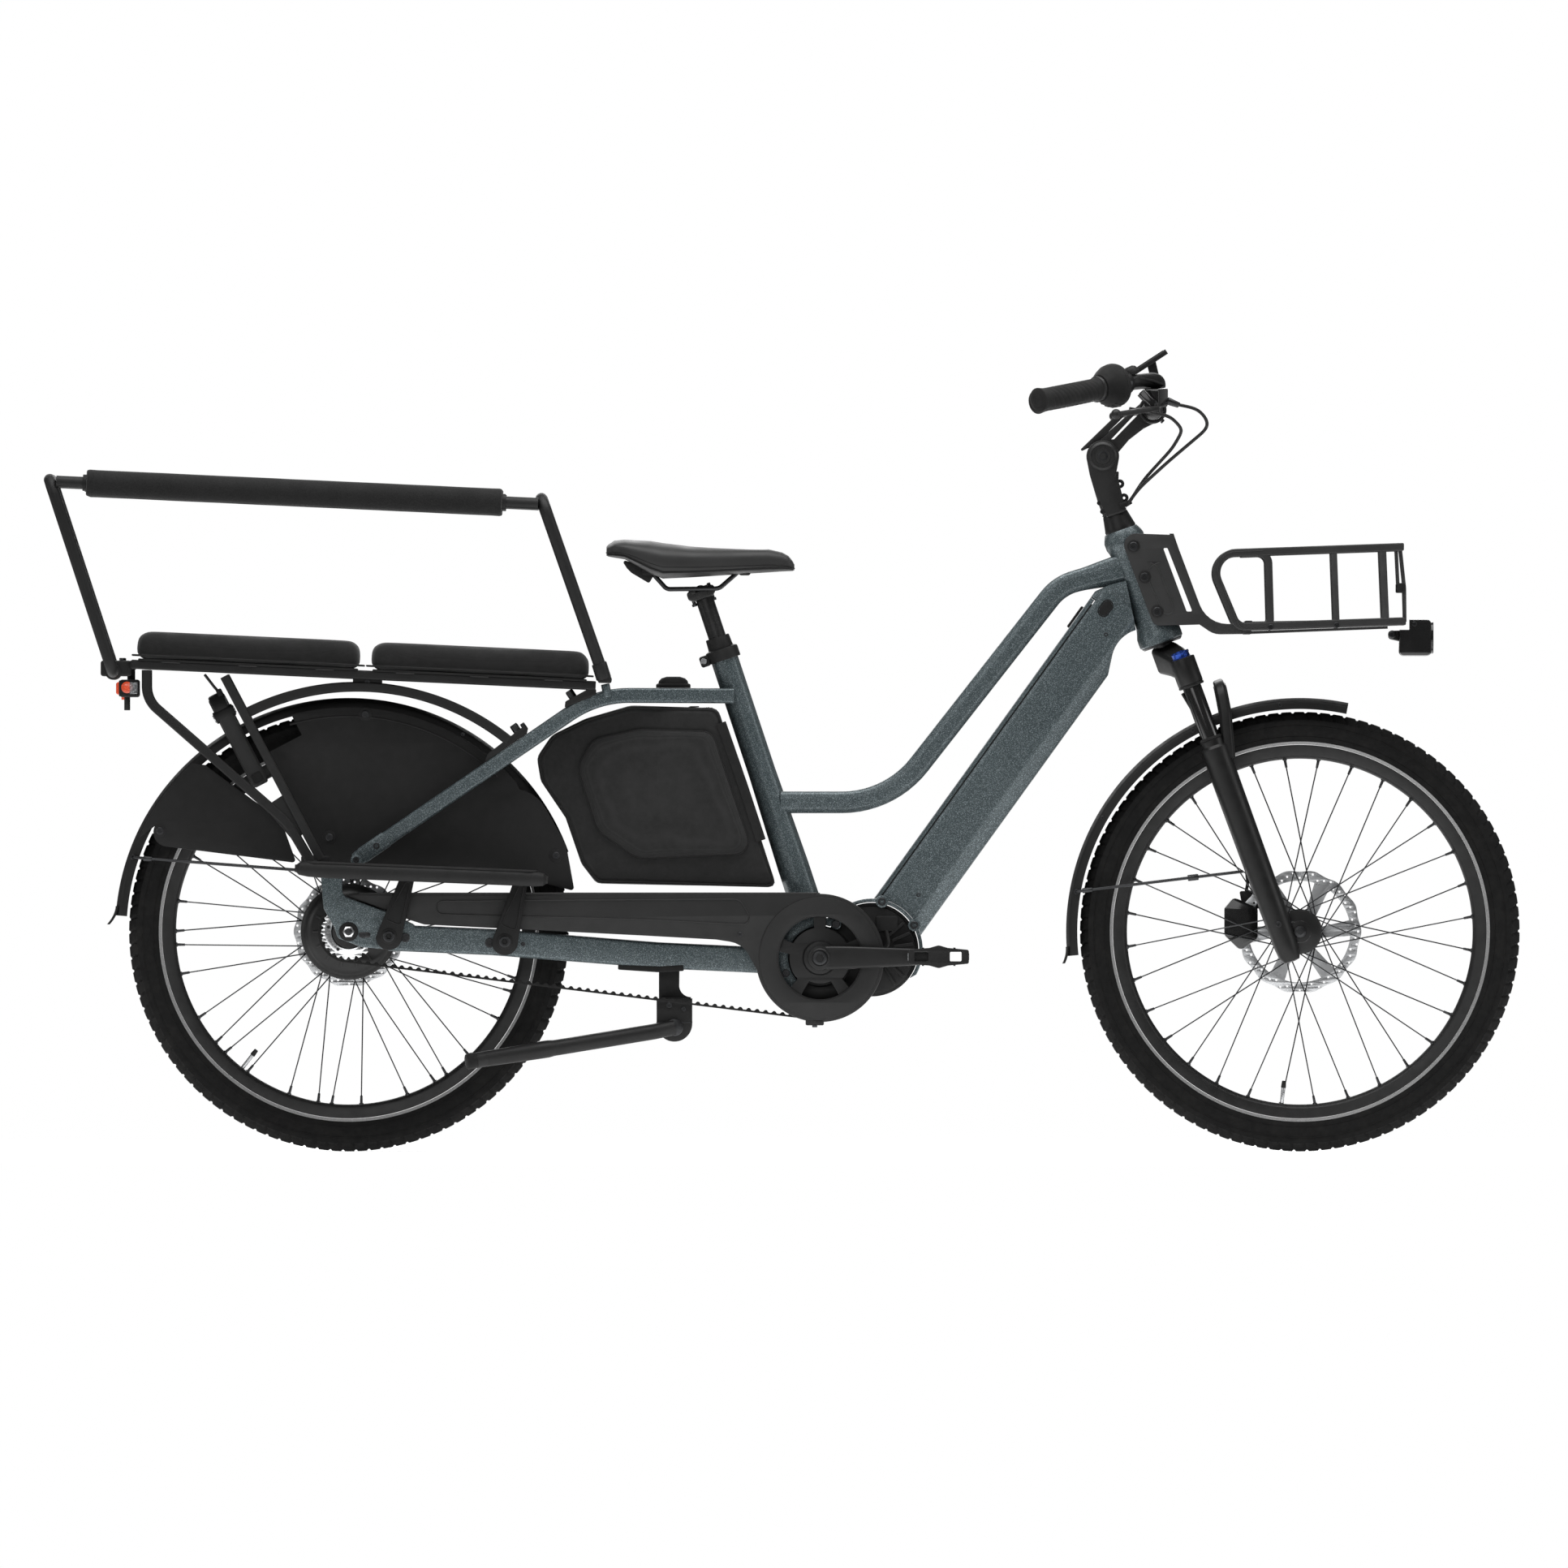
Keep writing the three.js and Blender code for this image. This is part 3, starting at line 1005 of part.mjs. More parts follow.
function addSeat() {
  const post = rod(vec(0, 0, -240), vec(0, 0, 108), postRadius, 20);
  const head = box(-24, 20, -17, 17, 104, 118);
  const yoke = rod(vec(-2, -17.8, 110), vec(-2, 17.8, 110), 11, 14);
  add('seatpost', join(post, head, yoke), 'black', 'coat', seat);

  const stations = [[-268, 54, 917, 7], [-256, 76, 920, 14], [-240, 86, 919.5, 15.5], [-200, 92, 907, 26],
    [-182, 89, 902, 28], [-140, 76, 900.5, 24.5], [-80, 48, 901, 21], [-20, 26, 902, 18],
      [7, 21, 899.5, 13.5], [19, 11, 892, 5]];
  const oval = rounded([[-1, -1, 0.5], [1, -1, 0.5], [1, 1, 0.8], [-1, 1, 0.8]], 45).map((p) => [-p.y, p.x]);
  const pad = sweep(stations.map(([x, , z]) => vec(x, 0, z)), oval,
    { sizes: stations.map(([, half, , tall]) => [tall, half]) });
  const rail = tube([[-202, -24, 888], [-176, -22, 859, 12], [-96, -22, 860, 16], [-64, -14, 888]], 3.6, 8);
  add('saddle', join(pad, bothSides(rail)), 'saddle', 'fabric');
}

addHeadTube();
addSeatTube();
addTopTube();
addDownTube();
addBatteryCover();
addMotor();
addRearStays();
addChainstays();
addSeatClamp();
addRack();
addCushions();
addSafetyRail();
addRearGuard();
addSkirts();
addFrameLock();
addTailLight();
addFootboards();
addBeltCover();
addBeltDrive();
addStorageBox();
addKickstand();
addCarrier();
addHeadlight();
addFork();
addFrontGuard();
addStem();
addHandlebar();
addHoses();
addWheels();
addCranks();
addSeat();

export default bicycle;
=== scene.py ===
"""Long-tail electric cargo bicycle: the looks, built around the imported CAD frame.

Shapes are worked out in millimetres in the row frame (+X forward, +Z up, the drive side is -Y)
and become metres when a piece is made.
"""
import math

import bmesh
import bpy
from mathutils import Matrix, Vector, noise
from mathutils.geometry import tessellate_polygon


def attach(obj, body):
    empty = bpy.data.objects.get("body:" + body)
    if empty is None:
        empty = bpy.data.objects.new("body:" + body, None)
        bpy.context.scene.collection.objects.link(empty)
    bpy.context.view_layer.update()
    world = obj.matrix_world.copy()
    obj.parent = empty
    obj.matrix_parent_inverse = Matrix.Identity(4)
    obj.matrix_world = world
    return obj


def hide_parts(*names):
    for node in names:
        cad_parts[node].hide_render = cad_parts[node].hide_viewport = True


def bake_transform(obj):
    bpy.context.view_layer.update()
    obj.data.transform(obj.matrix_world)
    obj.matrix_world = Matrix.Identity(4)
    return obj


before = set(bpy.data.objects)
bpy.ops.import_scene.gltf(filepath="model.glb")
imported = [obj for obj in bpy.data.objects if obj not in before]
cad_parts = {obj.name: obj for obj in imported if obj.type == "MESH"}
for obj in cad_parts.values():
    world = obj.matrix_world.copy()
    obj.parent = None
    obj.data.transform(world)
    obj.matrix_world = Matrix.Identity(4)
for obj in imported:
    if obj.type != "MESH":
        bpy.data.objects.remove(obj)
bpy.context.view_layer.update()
MM = 0.001
scene = bpy.context.scene


# ---------------------------------------------------------------- shapes: (points, faces) in mm
def merge(*shapes):
    points, faces = [], []
    for more, polygons in shapes:
        start = len(points)
        points += more
        faces += [tuple(i + start for i in face) for face in polygons]
    return points, faces


def moved(shape, matrix):
    return [matrix @ p for p in shape[0]], shape[1]


def mirrored(shape):
    return [Vector((p.x, -p.y, p.z)) for p in shape[0]], [face[::-1] for face in shape[1]]


def both(shape):
    return merge(shape, mirrored(shape))


def mirrored_parts(parts):
    return [(mirrored(shape), look) for shape, look in parts]


def tilted(x, z, angle):
    """The frame at (x, 0, z) turned by `angle` degrees about Y, as the CAD groups are."""
    return Matrix.Translation((x, 0, z)) @ Matrix.Rotation(math.radians(angle), 4, "Y")


def arc(x, z, radius, start=0, end=360, count=32):
    whole = end - start == 360
    steps = count if whole else count + 1
    angles = [math.radians(start + (end - start) * k / count) for k in range(steps)]
    return [(x + radius * math.cos(a), z + radius * math.sin(a)) for a in angles]


def rounded(corners, step=12):
    """Corners (x, z, radius) as an outline of (x, z) points whose corners are arcs."""
    outline = []
    for i, corner in enumerate(corners):
        x, z, radius = (*corner, 0)[:3]
        here = Vector((x, z))
        back = (Vector(corners[i - 1][:2]) - here).normalized()
        ahead = (Vector(corners[(i + 1) % len(corners)][:2]) - here).normalized()
        half = math.acos(max(-1, min(1, back.dot(ahead)))) / 2
        if radius == 0 or half > 1.55:
            outline.append((x, z))
            continue
        centre = here + (back + ahead).normalized() * radius / math.sin(half)
        start = here + back * radius / math.tan(half) - centre
        turn = math.pi - 2 * half
        side = 1 if back.cross(ahead) < 0 else -1
        count = max(2, math.ceil(turn / math.radians(step)))
        for k in range(count + 1):
            spoke = Matrix.Rotation(side * turn * k / count, 2) @ start
            outline.append(tuple(centre + spoke))
    return outline


def oblong(x0, x1, z0, z1, radius, step=12):
    return rounded([(x0, z0, radius), (x1, z0, radius), (x1, z1, radius), (x0, z1, radius)], step)


def bent(corners, step=7):
    """Points of a path whose corners (x, y, z, radius) are bent round."""
    path = []
    for i, corner in enumerate(corners):
        here = Vector(corner[:3])
        radius = corner[3] if len(corner) > 3 else 0
        if radius == 0 or i in (0, len(corners) - 1):
            path.append(here)
            continue
        back = (Vector(corners[i - 1][:3]) - here).normalized()
        ahead = (Vector(corners[i + 1][:3]) - here).normalized()
        half = back.angle(ahead) / 2
        centre = here + (back + ahead).normalized() * radius / math.sin(half)
        start = here + back * radius / math.tan(half) - centre
        turn = math.pi - 2 * half
        axis = ahead.cross(back).normalized()
        count = max(1, math.ceil(turn / math.radians(step)))
        for k in range(count + 1):
            path.append(centre + Matrix.Rotation(turn * k / count, 3, axis) @ start)
    return path


def evenly(path, count):
    """`count` + 1 points spread evenly along a path."""
    path = [Vector(p) for p in path]
    lengths = [(b - a).length for a, b in zip(path, path[1:])]
    total, made, step, walked = sum(lengths), [], 0, 0.0
    for k in range(count + 1):
        target = total * k / count
        while step < len(lengths) - 1 and walked + lengths[step] < target:
            walked += lengths[step]
            step += 1
        made.append(path[step].lerp(path[step + 1], min(1.0, (target - walked) / lengths[step])))
    return made


def resampled(outline, count):
    """`count` points spread evenly round a closed outline."""
    return evenly([*outline, outline[0]], count)[:-1]


def round_section(radius, sides=24):
    return arc(0, 0, radius, count=sides)


def box_section(u, v, radius=4):
    return oblong(-u, u, -v, v, radius, 22)


def rings(loops, closed=False):
    """Skins a list of equal rings of points, with flat end caps unless it is closed."""
    count = len(loops[0])
    points = [Vector(p) for loop in loops for p in loop]
    faces = []
    last = len(loops) if closed else len(loops) - 1
    for i in range(last):
        a, b = i * count, (i + 1) % len(loops) * count
        faces += [(a + k, a + (k + 1) % count, b + (k + 1) % count, b + k) for k in range(count)]
    if not closed:
        for start, flip in ((0, True), ((len(loops) - 1) * count, False)):
            loop = [points[start + k] for k in range(count)]
            for face in tessellate_polygon([loop]):
                face = tuple(start + i for i in face)
                faces.append(face[::-1] if flip else face)
    return points, faces


def sweep(path, section, side=(0, 1, 0), sizes=None, closed=False, cap=0.0):
    """Sweeps a section (u, v) along a path; v lies along `side` as far as the path allows.
    `cap` rounds the two ends over that many mm."""
    path = [Vector(p) for p in path]
    sizes = list(sizes or [(1, 1)] * len(path))
    if cap and not closed:
        reach = max(max(abs(u), abs(v)) for u, v in section)
        for _ in range(2):  # one end each time, because the path is turned round after it
            tip, size = path[0], sizes[0]
            axis = (path[1] - tip).normalized()
            tips, tip_sizes = [], []
            for share in (0.0, 0.3, 0.65, 1.0):
                angle = share * math.pi / 2
                inset = cap * (1 - math.sin(angle)) / (reach * max(size))
                tips.append(tip + axis * cap * (1 - math.cos(angle)))
                tip_sizes.append((size[0] * (1 - inset), size[1] * (1 - inset)))
            path, sizes = (tips + path[1:])[::-1], (tip_sizes + sizes[1:])[::-1]
    loops = []
    count = len(path)
    for i, here in enumerate(path):
        before = path[i - 1] if closed or i else here
        after = path[(i + 1) % count] if closed or i < count - 1 else here
        tangent = ((after - here).normalized() + (here - before).normalized()).normalized()
        v = Vector(side) - tangent * Vector(side).dot(tangent)
        v.normalize()
        u = v.cross(tangent)
        su, sv = sizes[i]
        loops.append([here + u * (a * su) + v * (b * sv) for a, b in section])
    return rings(loops, closed)


def tube(corners, radius, sides=20, step=7, **options):
    return sweep(bent(corners, step), round_section(radius, sides), **options)


def lathe(profile, matrix=Matrix.Identity(4), sides=48, shape=None):
    """Profile (radius, height) turned about local Z. A profile that starts off the axis is a
    closed ring. `shape(angle, radius)` may change the radius round the turn."""
    ring = profile[0][0] > 0
    turns = [2 * math.pi * k / sides for k in range(sides)]
    loops = []
    for radius, height in profile:
        radii = [shape(t, radius) if shape else radius for t in turns]
        loops.append([Vector((r * math.cos(t), r * math.sin(t), height)) for t, r in zip(turns, radii)])
    if ring:
        return moved(rings(loops, closed=True), matrix)
    return moved(rings(loops[1:-1]), matrix)


def side_line(x, z, y0, y1):
    """The ends of a line square to the side view."""
    return (x, y0, z), (x, y1, z)


def aimed(start, end):
    """A frame at `start` whose Z points to `end`."""
    start, end = Vector(start), Vector(end)
    turn = Vector((0, 0, 1)).rotation_difference(end - start)
    return Matrix.Translation(start) @ turn.to_matrix().to_4x4()


def rod(start, end, radius, end_radius=None, sides=24, soft=0.8):
    length = (Vector(end) - Vector(start)).length
    last = radius if end_radius is None else end_radius
    soft = min(soft, length / 3, radius / 2, last / 2)
    near = [(0, 0), (radius - soft, 0), (radius - soft * 0.3, soft * 0.3), (radius, soft)]
    far = [(last, length - soft), (last - soft * 0.3, length - soft * 0.3), (last - soft, length)]
    return lathe([*near, *far, (0, length)], aimed(start, end), sides)


def plate(outline, y0, y1, holes=(), soft=0.6):
    """A plate in the XZ plane between y0 and y1, with softened edges and holes."""
    curve = bpy.data.curves.new("outline", "CURVE")
    curve.dimensions, curve.fill_mode = "2D", "BOTH"
    soft = min(soft, (y1 - y0) * 0.45)
    curve.extrude = (y1 - y0) / 2 - soft
    curve.bevel_depth, curve.bevel_resolution, curve.offset = soft, 1, -soft
    for i, loop in enumerate((outline, *holes)):
        area = sum(a[0] * b[1] - b[0] * a[1] for a, b in zip(loop, [*loop[1:], loop[0]]))
        if (area > 0) == (i > 0):
            loop = loop[::-1]
        spline = curve.splines.new("POLY")
        spline.points.add(len(loop) - 1)
        spline.use_cyclic_u = True
        for point, (x, z) in zip(spline.points, loop):
            point.co = (x, z, 0, 1)
    holder = bpy.data.objects.new("outline", curve)
    mesh = bpy.data.meshes.new_from_object(holder)
    middle = (y0 + y1) / 2
    points = [Vector((v.co.x, middle - v.co.z, v.co.y)) for v in mesh.vertices]
    faces = [tuple(face.vertices) for face in mesh.polygons]
    bpy.data.objects.remove(holder)
    bpy.data.curves.remove(curve)
    bpy.data.meshes.remove(mesh)
    return points, faces


def block(x0, x1, y0, y1, z0, z1, radius=2.0):
    return plate(oblong(x0, x1, z0, z1, radius, 22), y0, y1, soft=radius * 0.6)


def hexed(angle, radius):
    """The radius of a hexagon of that corner radius, at an angle round it."""
    part = (angle + math.pi / 6) % (math.pi / 3) - math.pi / 6
    return radius * math.cos(math.pi / 6) / math.cos(math.pi / 6 - abs(part))


def socket_bolt(start, end, radius):
    """A socket head from its seat at `start` to its top at `end`, with a hexagonal recess."""
    tall = (Vector(end) - Vector(start)).length
    profile = [(0, 0), (radius, 0), (radius, tall * 0.8), (radius * 0.88, tall), (radius * 0.6, tall),
               (radius * 0.58, tall), (radius * 0.55, tall * 0.35), (0, tall * 0.35)]
    inside = radius * 0.59
    return lathe(profile, aimed(start, end), 24, lambda a, r: hexed(a, r) if r < inside else r)


def side_bolt(x, z, y, radius=5.0, tall=4.0, sign=-1):
    """A socket bolt on the side of the bicycle, its seat at y."""
    return socket_bolt(*side_line(x, z, y, y + sign * tall), radius)


# ---------------------------------------------------------------- pieces
weld_distance, shortest_edge = 2e-6, 1e-6


def piece(name, parts, body, replaces=(), sharp=35):
    """One object from (shape, material) parts, welded, with outward normals and sharp edges."""
    mesh = bpy.data.meshes.new(name)
    slots = []
    work = bmesh.new()
    for shape, look in parts:
        if look not in slots:
            slots.append(look)
            mesh.materials.append(look)
        made = [work.verts.new(p * MM) for p in shape[0]]
        for face in shape[1]:
            if len(set(face)) < 3:
                continue
            try:
                polygon = work.faces.new([made[i] for i in face])
            except ValueError:
                continue
            polygon.material_index = slots.index(look)
            polygon.smooth = True
    bmesh.ops.remove_doubles(work, verts=work.verts, dist=weld_distance)
    bmesh.ops.dissolve_degenerate(work, edges=work.edges, dist=shortest_edge)
    bmesh.ops.recalc_face_normals(work, faces=work.faces)
    work.to_mesh(mesh)
    work.free()
    mesh.set_sharp_from_angle(angle=math.radians(sharp))
    made = bpy.data.objects.new(name, mesh)
    scene.collection.objects.link(made)
    if body:
        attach(made, body)
    if replaces:
        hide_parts(*([replaces] if isinstance(replaces, str) else replaces))
    return made


# ---------------------------------------------------------------- materials
class Look:
    """A procedural material on object coordinates: colour, roughness and bump from its nodes."""

    def __init__(self, name, metal=0.0, specular=0.5, coat=0.0, coat_rough=0.1, sheen=0.0):
        self.material = bpy.data.materials.new(name)
        self.material.use_nodes = True
        self.tree = self.material.node_tree
        self.shader = self.tree.nodes["Principled BSDF"]
        self.place = self.add("ShaderNodeTexCoord").outputs["Object"]
        self.height = None
        for socket, value in (("Metallic", metal), ("Specular IOR Level", specular), ("IOR", 1.5),
                              ("Coat Weight", coat), ("Coat Roughness", coat_rough), ("Sheen Weight", sheen)):
            self.shader.inputs[socket].default_value = value

    def add(self, kind, **inputs):
        node = self.tree.nodes.new(kind)
        for key, value in inputs.items():
            self.feed(node.inputs[key], value)
        return node

    def feed(self, socket, value):
        """Gives a socket another node's output, or a plain value."""
        if isinstance(value, bpy.types.NodeSocket):
            self.tree.links.new(value, socket)
        else:
            socket.default_value = value

    def turned(self, turn):
        """Object coordinates turned by `turn` degrees about each axis."""
        node = self.add("ShaderNodeMapping", Vector=self.place, Rotation=tuple(math.radians(a) for a in turn))
        return node.outputs["Vector"]

    def noise(self, scale, detail=3.0, rough=0.5):
        node = self.add("ShaderNodeTexNoise", Vector=self.place, Scale=scale, Detail=detail, Roughness=rough)
        return node.outputs["Fac"]

    def cells(self, scale, output="Distance"):
        return self.add("ShaderNodeTexVoronoi", Vector=self.place, Scale=scale).outputs[output]

    def wave(self, scale, place, axis):
        node = self.add("ShaderNodeTexWave", Vector=place, Scale=scale)
        node.bands_direction = axis
        return node.outputs["Fac"]

    def math(self, operation, a, b=0.0):
        node = self.tree.nodes.new("ShaderNodeMath")
        node.operation = operation
        for socket, value in zip(node.inputs, (a, b)):
            self.feed(socket, value)
        return node.outputs[0]

    def span(self, value, low, high, start=0.3, end=0.7):
        """Maps a texture value from start..end to low..high."""
        limits = {"From Min": start, "From Max": end, "To Min": low, "To Max": high}
        return self.add("ShaderNodeMapRange", Value=value, **limits).outputs["Result"]

    def mix(self, share, first, second):
        node = self.tree.nodes.new("ShaderNodeMix")
        node.data_type = "RGBA"
        self.feed(node.inputs[0], share)
        colours = [s for s in node.inputs if s.type == "RGBA"]
        for socket, value in zip(colours, (first, second)):
            self.feed(socket, (*value, 1) if isinstance(value, tuple) else value)
        return next(s for s in node.outputs if s.type == "RGBA")

    def colour(self, value):
        self.feed(self.shader.inputs["Base Color"], (*value, 1) if isinstance(value, tuple) else value)

    def rough(self, value):
        self.feed(self.shader.inputs["Roughness"], value)

    def bump(self, height, depth, strength=1.0):
        """Adds a bump of `depth` mm for a height that runs from 0 to 1."""
        node = self.add("ShaderNodeBump", Height=height, Distance=depth * MM, Strength=strength)
        if self.height is not None:
            self.tree.links.new(self.height, node.inputs["Normal"])
        self.height = node.outputs["Normal"]
        self.tree.links.new(self.height, self.shader.inputs["Normal"])

    def edge_highlight(self, base, edge, amount=0.5):
        """Paints a highlight: the lighter edge colour shows where the surface turns outwards, broken up by
        noise.
        """
        pointed = self.add("ShaderNodeNewGeometry").outputs["Pointiness"]
        share = self.span(pointed, 0.0, amount, 0.52, 0.60)
        share = self.math("MULTIPLY", share, self.span(self.noise(60.0, 4.0), 0.2, 1.0))
        return self.mix(share, base, edge)


def grey(value, warmth=0.0):
    return (value * (1 + warmth), value, value * (1 - warmth))


def flake_paint():
    """Satin metallic paint: a dark blue-grey base with fine light flakes under a clear coat."""
    look = Look("paint_blue_grey_metallic", metal=0.45, specular=0.45, coat=0.35, coat_rough=0.32)
    flakes = look.cells(1500.0, output="Color")
    spark = look.tree.nodes.new("ShaderNodeSeparateColor")
    look.tree.links.new(flakes, spark.inputs[0])
    share = look.span(spark.outputs[0], 0.0, 1.0, 0.72, 0.98)
    cloud = look.span(look.noise(7.0, 2.0), 0.0, 1.0)
    base = look.mix(cloud, (0.040, 0.056, 0.061), (0.052, 0.070, 0.075))
    look.colour(look.mix(share, base, (0.26, 0.31, 0.33)))
    look.rough(look.span(look.noise(35.0, 4.0), 0.36, 0.46))
    look.bump(look.noise(900.0, 2.0), 0.012, 0.4)
    return look.material


def moulded(name, base, rough=0.5, grain=900.0, depth=0.05, specular=0.32, metal=0.0, edge=None, coat=0.0):
    """Moulded plastic or powder coat: fine grain, a little cloudiness and lighter edges as a painted
    highlight.
    """
    look = Look(name, metal=metal, specular=specular, coat=coat)
    cloud = look.span(look.noise(14.0, 4.0), 0.0, 1.0)
    tone = look.mix(cloud, grey(base * 0.86), grey(base * 1.16))
    # outward edges take the lighter edge colour: a painted highlight
    look.colour(look.edge_highlight(tone, grey(edge if edge is not None else base * 2.1), 0.5))
    look.rough(look.span(look.noise(48.0, 5.0), rough - 0.06, rough + 0.07))
    look.bump(look.cells(grain), depth, 0.6)
    return look.material


def tyre_rubber():
    look = Look("tyre_rubber", specular=0.16)
    dust = look.span(look.noise(38.0, 6.0, 0.65), 0.0, 1.0, 0.45, 0.75)
    look.colour(look.mix(dust, grey(0.0065), grey(0.012, 0.04)))
    look.rough(look.span(look.noise(120.0, 4.0), 0.72, 0.88))
    look.bump(look.noise(520.0, 4.0), 0.14, 0.6)
    return look.material


def reflective_band():
    look = Look("reflective_band", metal=0.35, specular=0.5)
    beads = look.cells(1100.0)
    look.colour(look.mix(look.span(beads, 0.0, 1.0, 0.1, 0.5), grey(0.42), grey(0.22)))
    look.rough(look.span(look.noise(90.0, 3.0), 0.36, 0.5))
    look.bump(beads, 0.05)
    return look.material


def soft_rubber(name, base, rough=0.8, grain=420.0, depth=0.12, specular=0.2):
    look = Look(name, specular=specular, sheen=0.05)
    dust = look.span(look.noise(55.0, 5.0, 0.6), 0.0, 1.0, 0.4, 0.75)
    look.colour(look.mix(dust, grey(base * 0.85), grey(base * 1.35, 0.02)))
    look.rough(look.span(look.noise(80.0, 4.0), rough - 0.07, rough + 0.06))
    look.bump(look.noise(grain, 3.0), depth, 0.7)
    return look.material


def closed_cell_foam():
    look = Look("foam", specular=0.18, sheen=0.12)
    pores = look.cells(760.0)
    wide = look.noise(30.0, 5.0)
    # the pore pits take the darker colour: painted shade in the pores
    look.colour(look.mix(look.span(pores, 0.0, 1.0, 0.1, 0.6), grey(0.006), grey(0.017)))
    look.rough(look.span(wide, 0.82, 0.94))
    look.bump(pores, 0.32, 0.8)
    look.bump(wide, 0.5, 0.4)
    return look.material


def woven(name, dark, light, pitch, depth, rough=0.85, sheen=0.25, specular=0.2, turn=(0, 0, 0), creases=0.5):
    """Cloth woven on a square grid of `pitch` mm, so that it needs no UVs; the weave's dips are darkened as
    painted shade.
    """
    look = Look(name, specular=specular, sheen=sheen)
    place = look.turned(turn)
    bands_per_metre = 500 / pitch
    threads = [look.wave(bands_per_metre, place, axis) for axis in "XYZ"]
    weave = look.math("MAXIMUM", look.math("MULTIPLY", threads[0], threads[2]),
                      look.math("MULTIPLY", look.math("SUBTRACT", 1.0, threads[0]),
                                look.math("SUBTRACT", 1.0, threads[2])))
    weave = look.math("MULTIPLY", look.math("ADD", weave, threads[1]), 0.5)
    slub = look.span(look.noise(140.0, 4.0, 0.6), 0.0, 1.0)
    # the weave's low parts take the darker tone: painted shade between the threads
    tone = look.mix(weave, grey(dark), grey(light))
    look.colour(look.mix(look.math("MULTIPLY", slub, 0.35), tone, grey(light * 1.25)))
    look.rough(look.span(look.noise(45.0, 4.0), rough - 0.08, rough + 0.08))
    look.bump(weave, depth)
    look.bump(look.noise(22.0, 4.0, 0.55), creases, 0.6)
    return look.material


def leather(name, base, rough=0.5, scale=340.0):
    look = Look(name, specular=0.35, sheen=0.04)
    grain = look.cells(scale)
    fine = look.noise(scale * 2.4, 3.0)
    wear = look.span(look.noise(12.0, 4.0), 0.0, 1.0)
    look.colour(look.mix(wear, grey(base * 0.82), grey(base * 1.2)))
    look.rough(look.span(look.noise(26.0, 4.0), rough - 0.07, rough + 0.08))
    look.bump(grain, 0.11, 0.55)
    look.bump(fine, 0.05, 0.5)
    return look.material


def metal_finish(name, colour, rough=0.3, grain=260.0, depth=0.02):
    look = Look(name, metal=1.0)
    lines = look.noise(grain, 4.0, 0.6)
    smear = look.span(look.noise(20.0, 5.0), 0.0, 1.0)
    look.colour(look.mix(look.math("MULTIPLY", smear, 0.5), colour, tuple(c * 0.7 for c in colour)))
    look.rough(look.span(lines, rough - 0.08, rough + 0.1))
    look.bump(lines, depth, 0.6)
    return look.material


def lens_look(name, colour, light=0.0, rough=0.14, clear=0.0):
    look = Look(name, specular=0.6, coat=0.8, coat_rough=0.04)
    prisms = look.cells(330.0)
    look.colour(look.mix(look.span(prisms, 0.0, 1.0, 0.05, 0.6), colour, tuple(c * 0.45 for c in colour)))
    look.rough(look.span(look.noise(25.0, 3.0), rough, rough + 0.12))
    look.bump(prisms, 0.35, 0.7)
    look.shader.inputs["Transmission Weight"].default_value = clear
    if light:
        look.shader.inputs["Emission Color"].default_value = (*colour, 1)
        look.shader.inputs["Emission Strength"].default_value = light
    return look.material


paint = flake_paint()
coat = moulded("black_powder_coat", 0.0085, 0.52, 1300.0, 0.05, 0.3)
fork_black = moulded("satin_black_fork", 0.0048, 0.42, 1800.0, 0.02, 0.34)
plastic = moulded("black_plastic", 0.0085, 0.55, 1000.0, 0.07, 0.26)
belt_plastic = moulded("black_cover_plastic", 0.0115, 0.5, 850.0, 0.09, 0.34)
skirt_plastic = moulded("black_skirt_sheet", 0.0115, 0.6, 420.0, 0.06, 0.22)
lock_plastic = moulded("dark_grey_plastic", 0.019, 0.5, 900.0, 0.06, 0.34)
gloss = moulded("gloss_black", 0.005, 0.16, 600.0, 0.006, 0.5, coat=0.5)
# edge=0.06 is the colour of the painted highlight on its outward edges
alloy_black = moulded("black_anodised_alloy", 0.0095, 0.42, 1900.0, 0.01, 0.5, metal=0.3, edge=0.06)
plate_grey = moulded("dark_grey_powder_coat", 0.026, 0.5, 1300.0, 0.04, 0.34)
stem_grey = moulded("graphite_alloy", 0.0165, 0.42, 1500.0, 0.02, 0.36, metal=0.2)
board_look = moulded("footboard_plastic", 0.0115, 0.62, 520.0, 0.16, 0.24)
tyre_look = tyre_rubber()
band_look = reflective_band()
grip_look = soft_rubber("grip_rubber", 0.012, 0.78)
bumper_rubber = soft_rubber("rubber", 0.012, 0.8)
belt_look = soft_rubber("belt_rubber", 0.010, 0.66, 800.0, 0.05)
hose_look = soft_rubber("hose", 0.009, 0.5, 300.0, 0.02, 0.34)
foam_look = closed_cell_foam()
cover_cloth = woven("cushion_cover", 0.0085, 0.013, 1.15, 0.16, 0.82, 0.2, creases=0.5)
bag_cloth = woven("bag_fabric", 0.0085, 0.019, 1.5, 0.2, 0.74, 0.12, 0.24, turn=(0, 8, 0), creases=0.9)
piping_look = soft_rubber("piping", 0.010, 0.6)
saddle_look = leather("saddle_cover", 0.021, 0.5)
steel = metal_finish("steel", (0.56, 0.57, 0.58), 0.28)
rotor_look = metal_finish("rotor_steel", (0.58, 0.59, 0.6), 0.34, 420.0, 0.02)
bright = metal_finish("polished_steel", (0.78, 0.79, 0.8), 0.16)
dark_steel = metal_finish("blackened_steel", (0.055, 0.056, 0.058), 0.36)
blue_alloy = metal_finish("blue_anodised", (0.03, 0.07, 0.32), 0.3)
red_lens = lens_look("red_lens", (0.86, 0.10, 0.035), 0.35)
clear_lens = lens_look("clear_lens", (0.62, 0.64, 0.66), 0.0, 0.06, 0.35)
screen_look = moulded("display_glass", 0.004, 0.08, 300.0, 0.0, 0.6, coat=0.9)


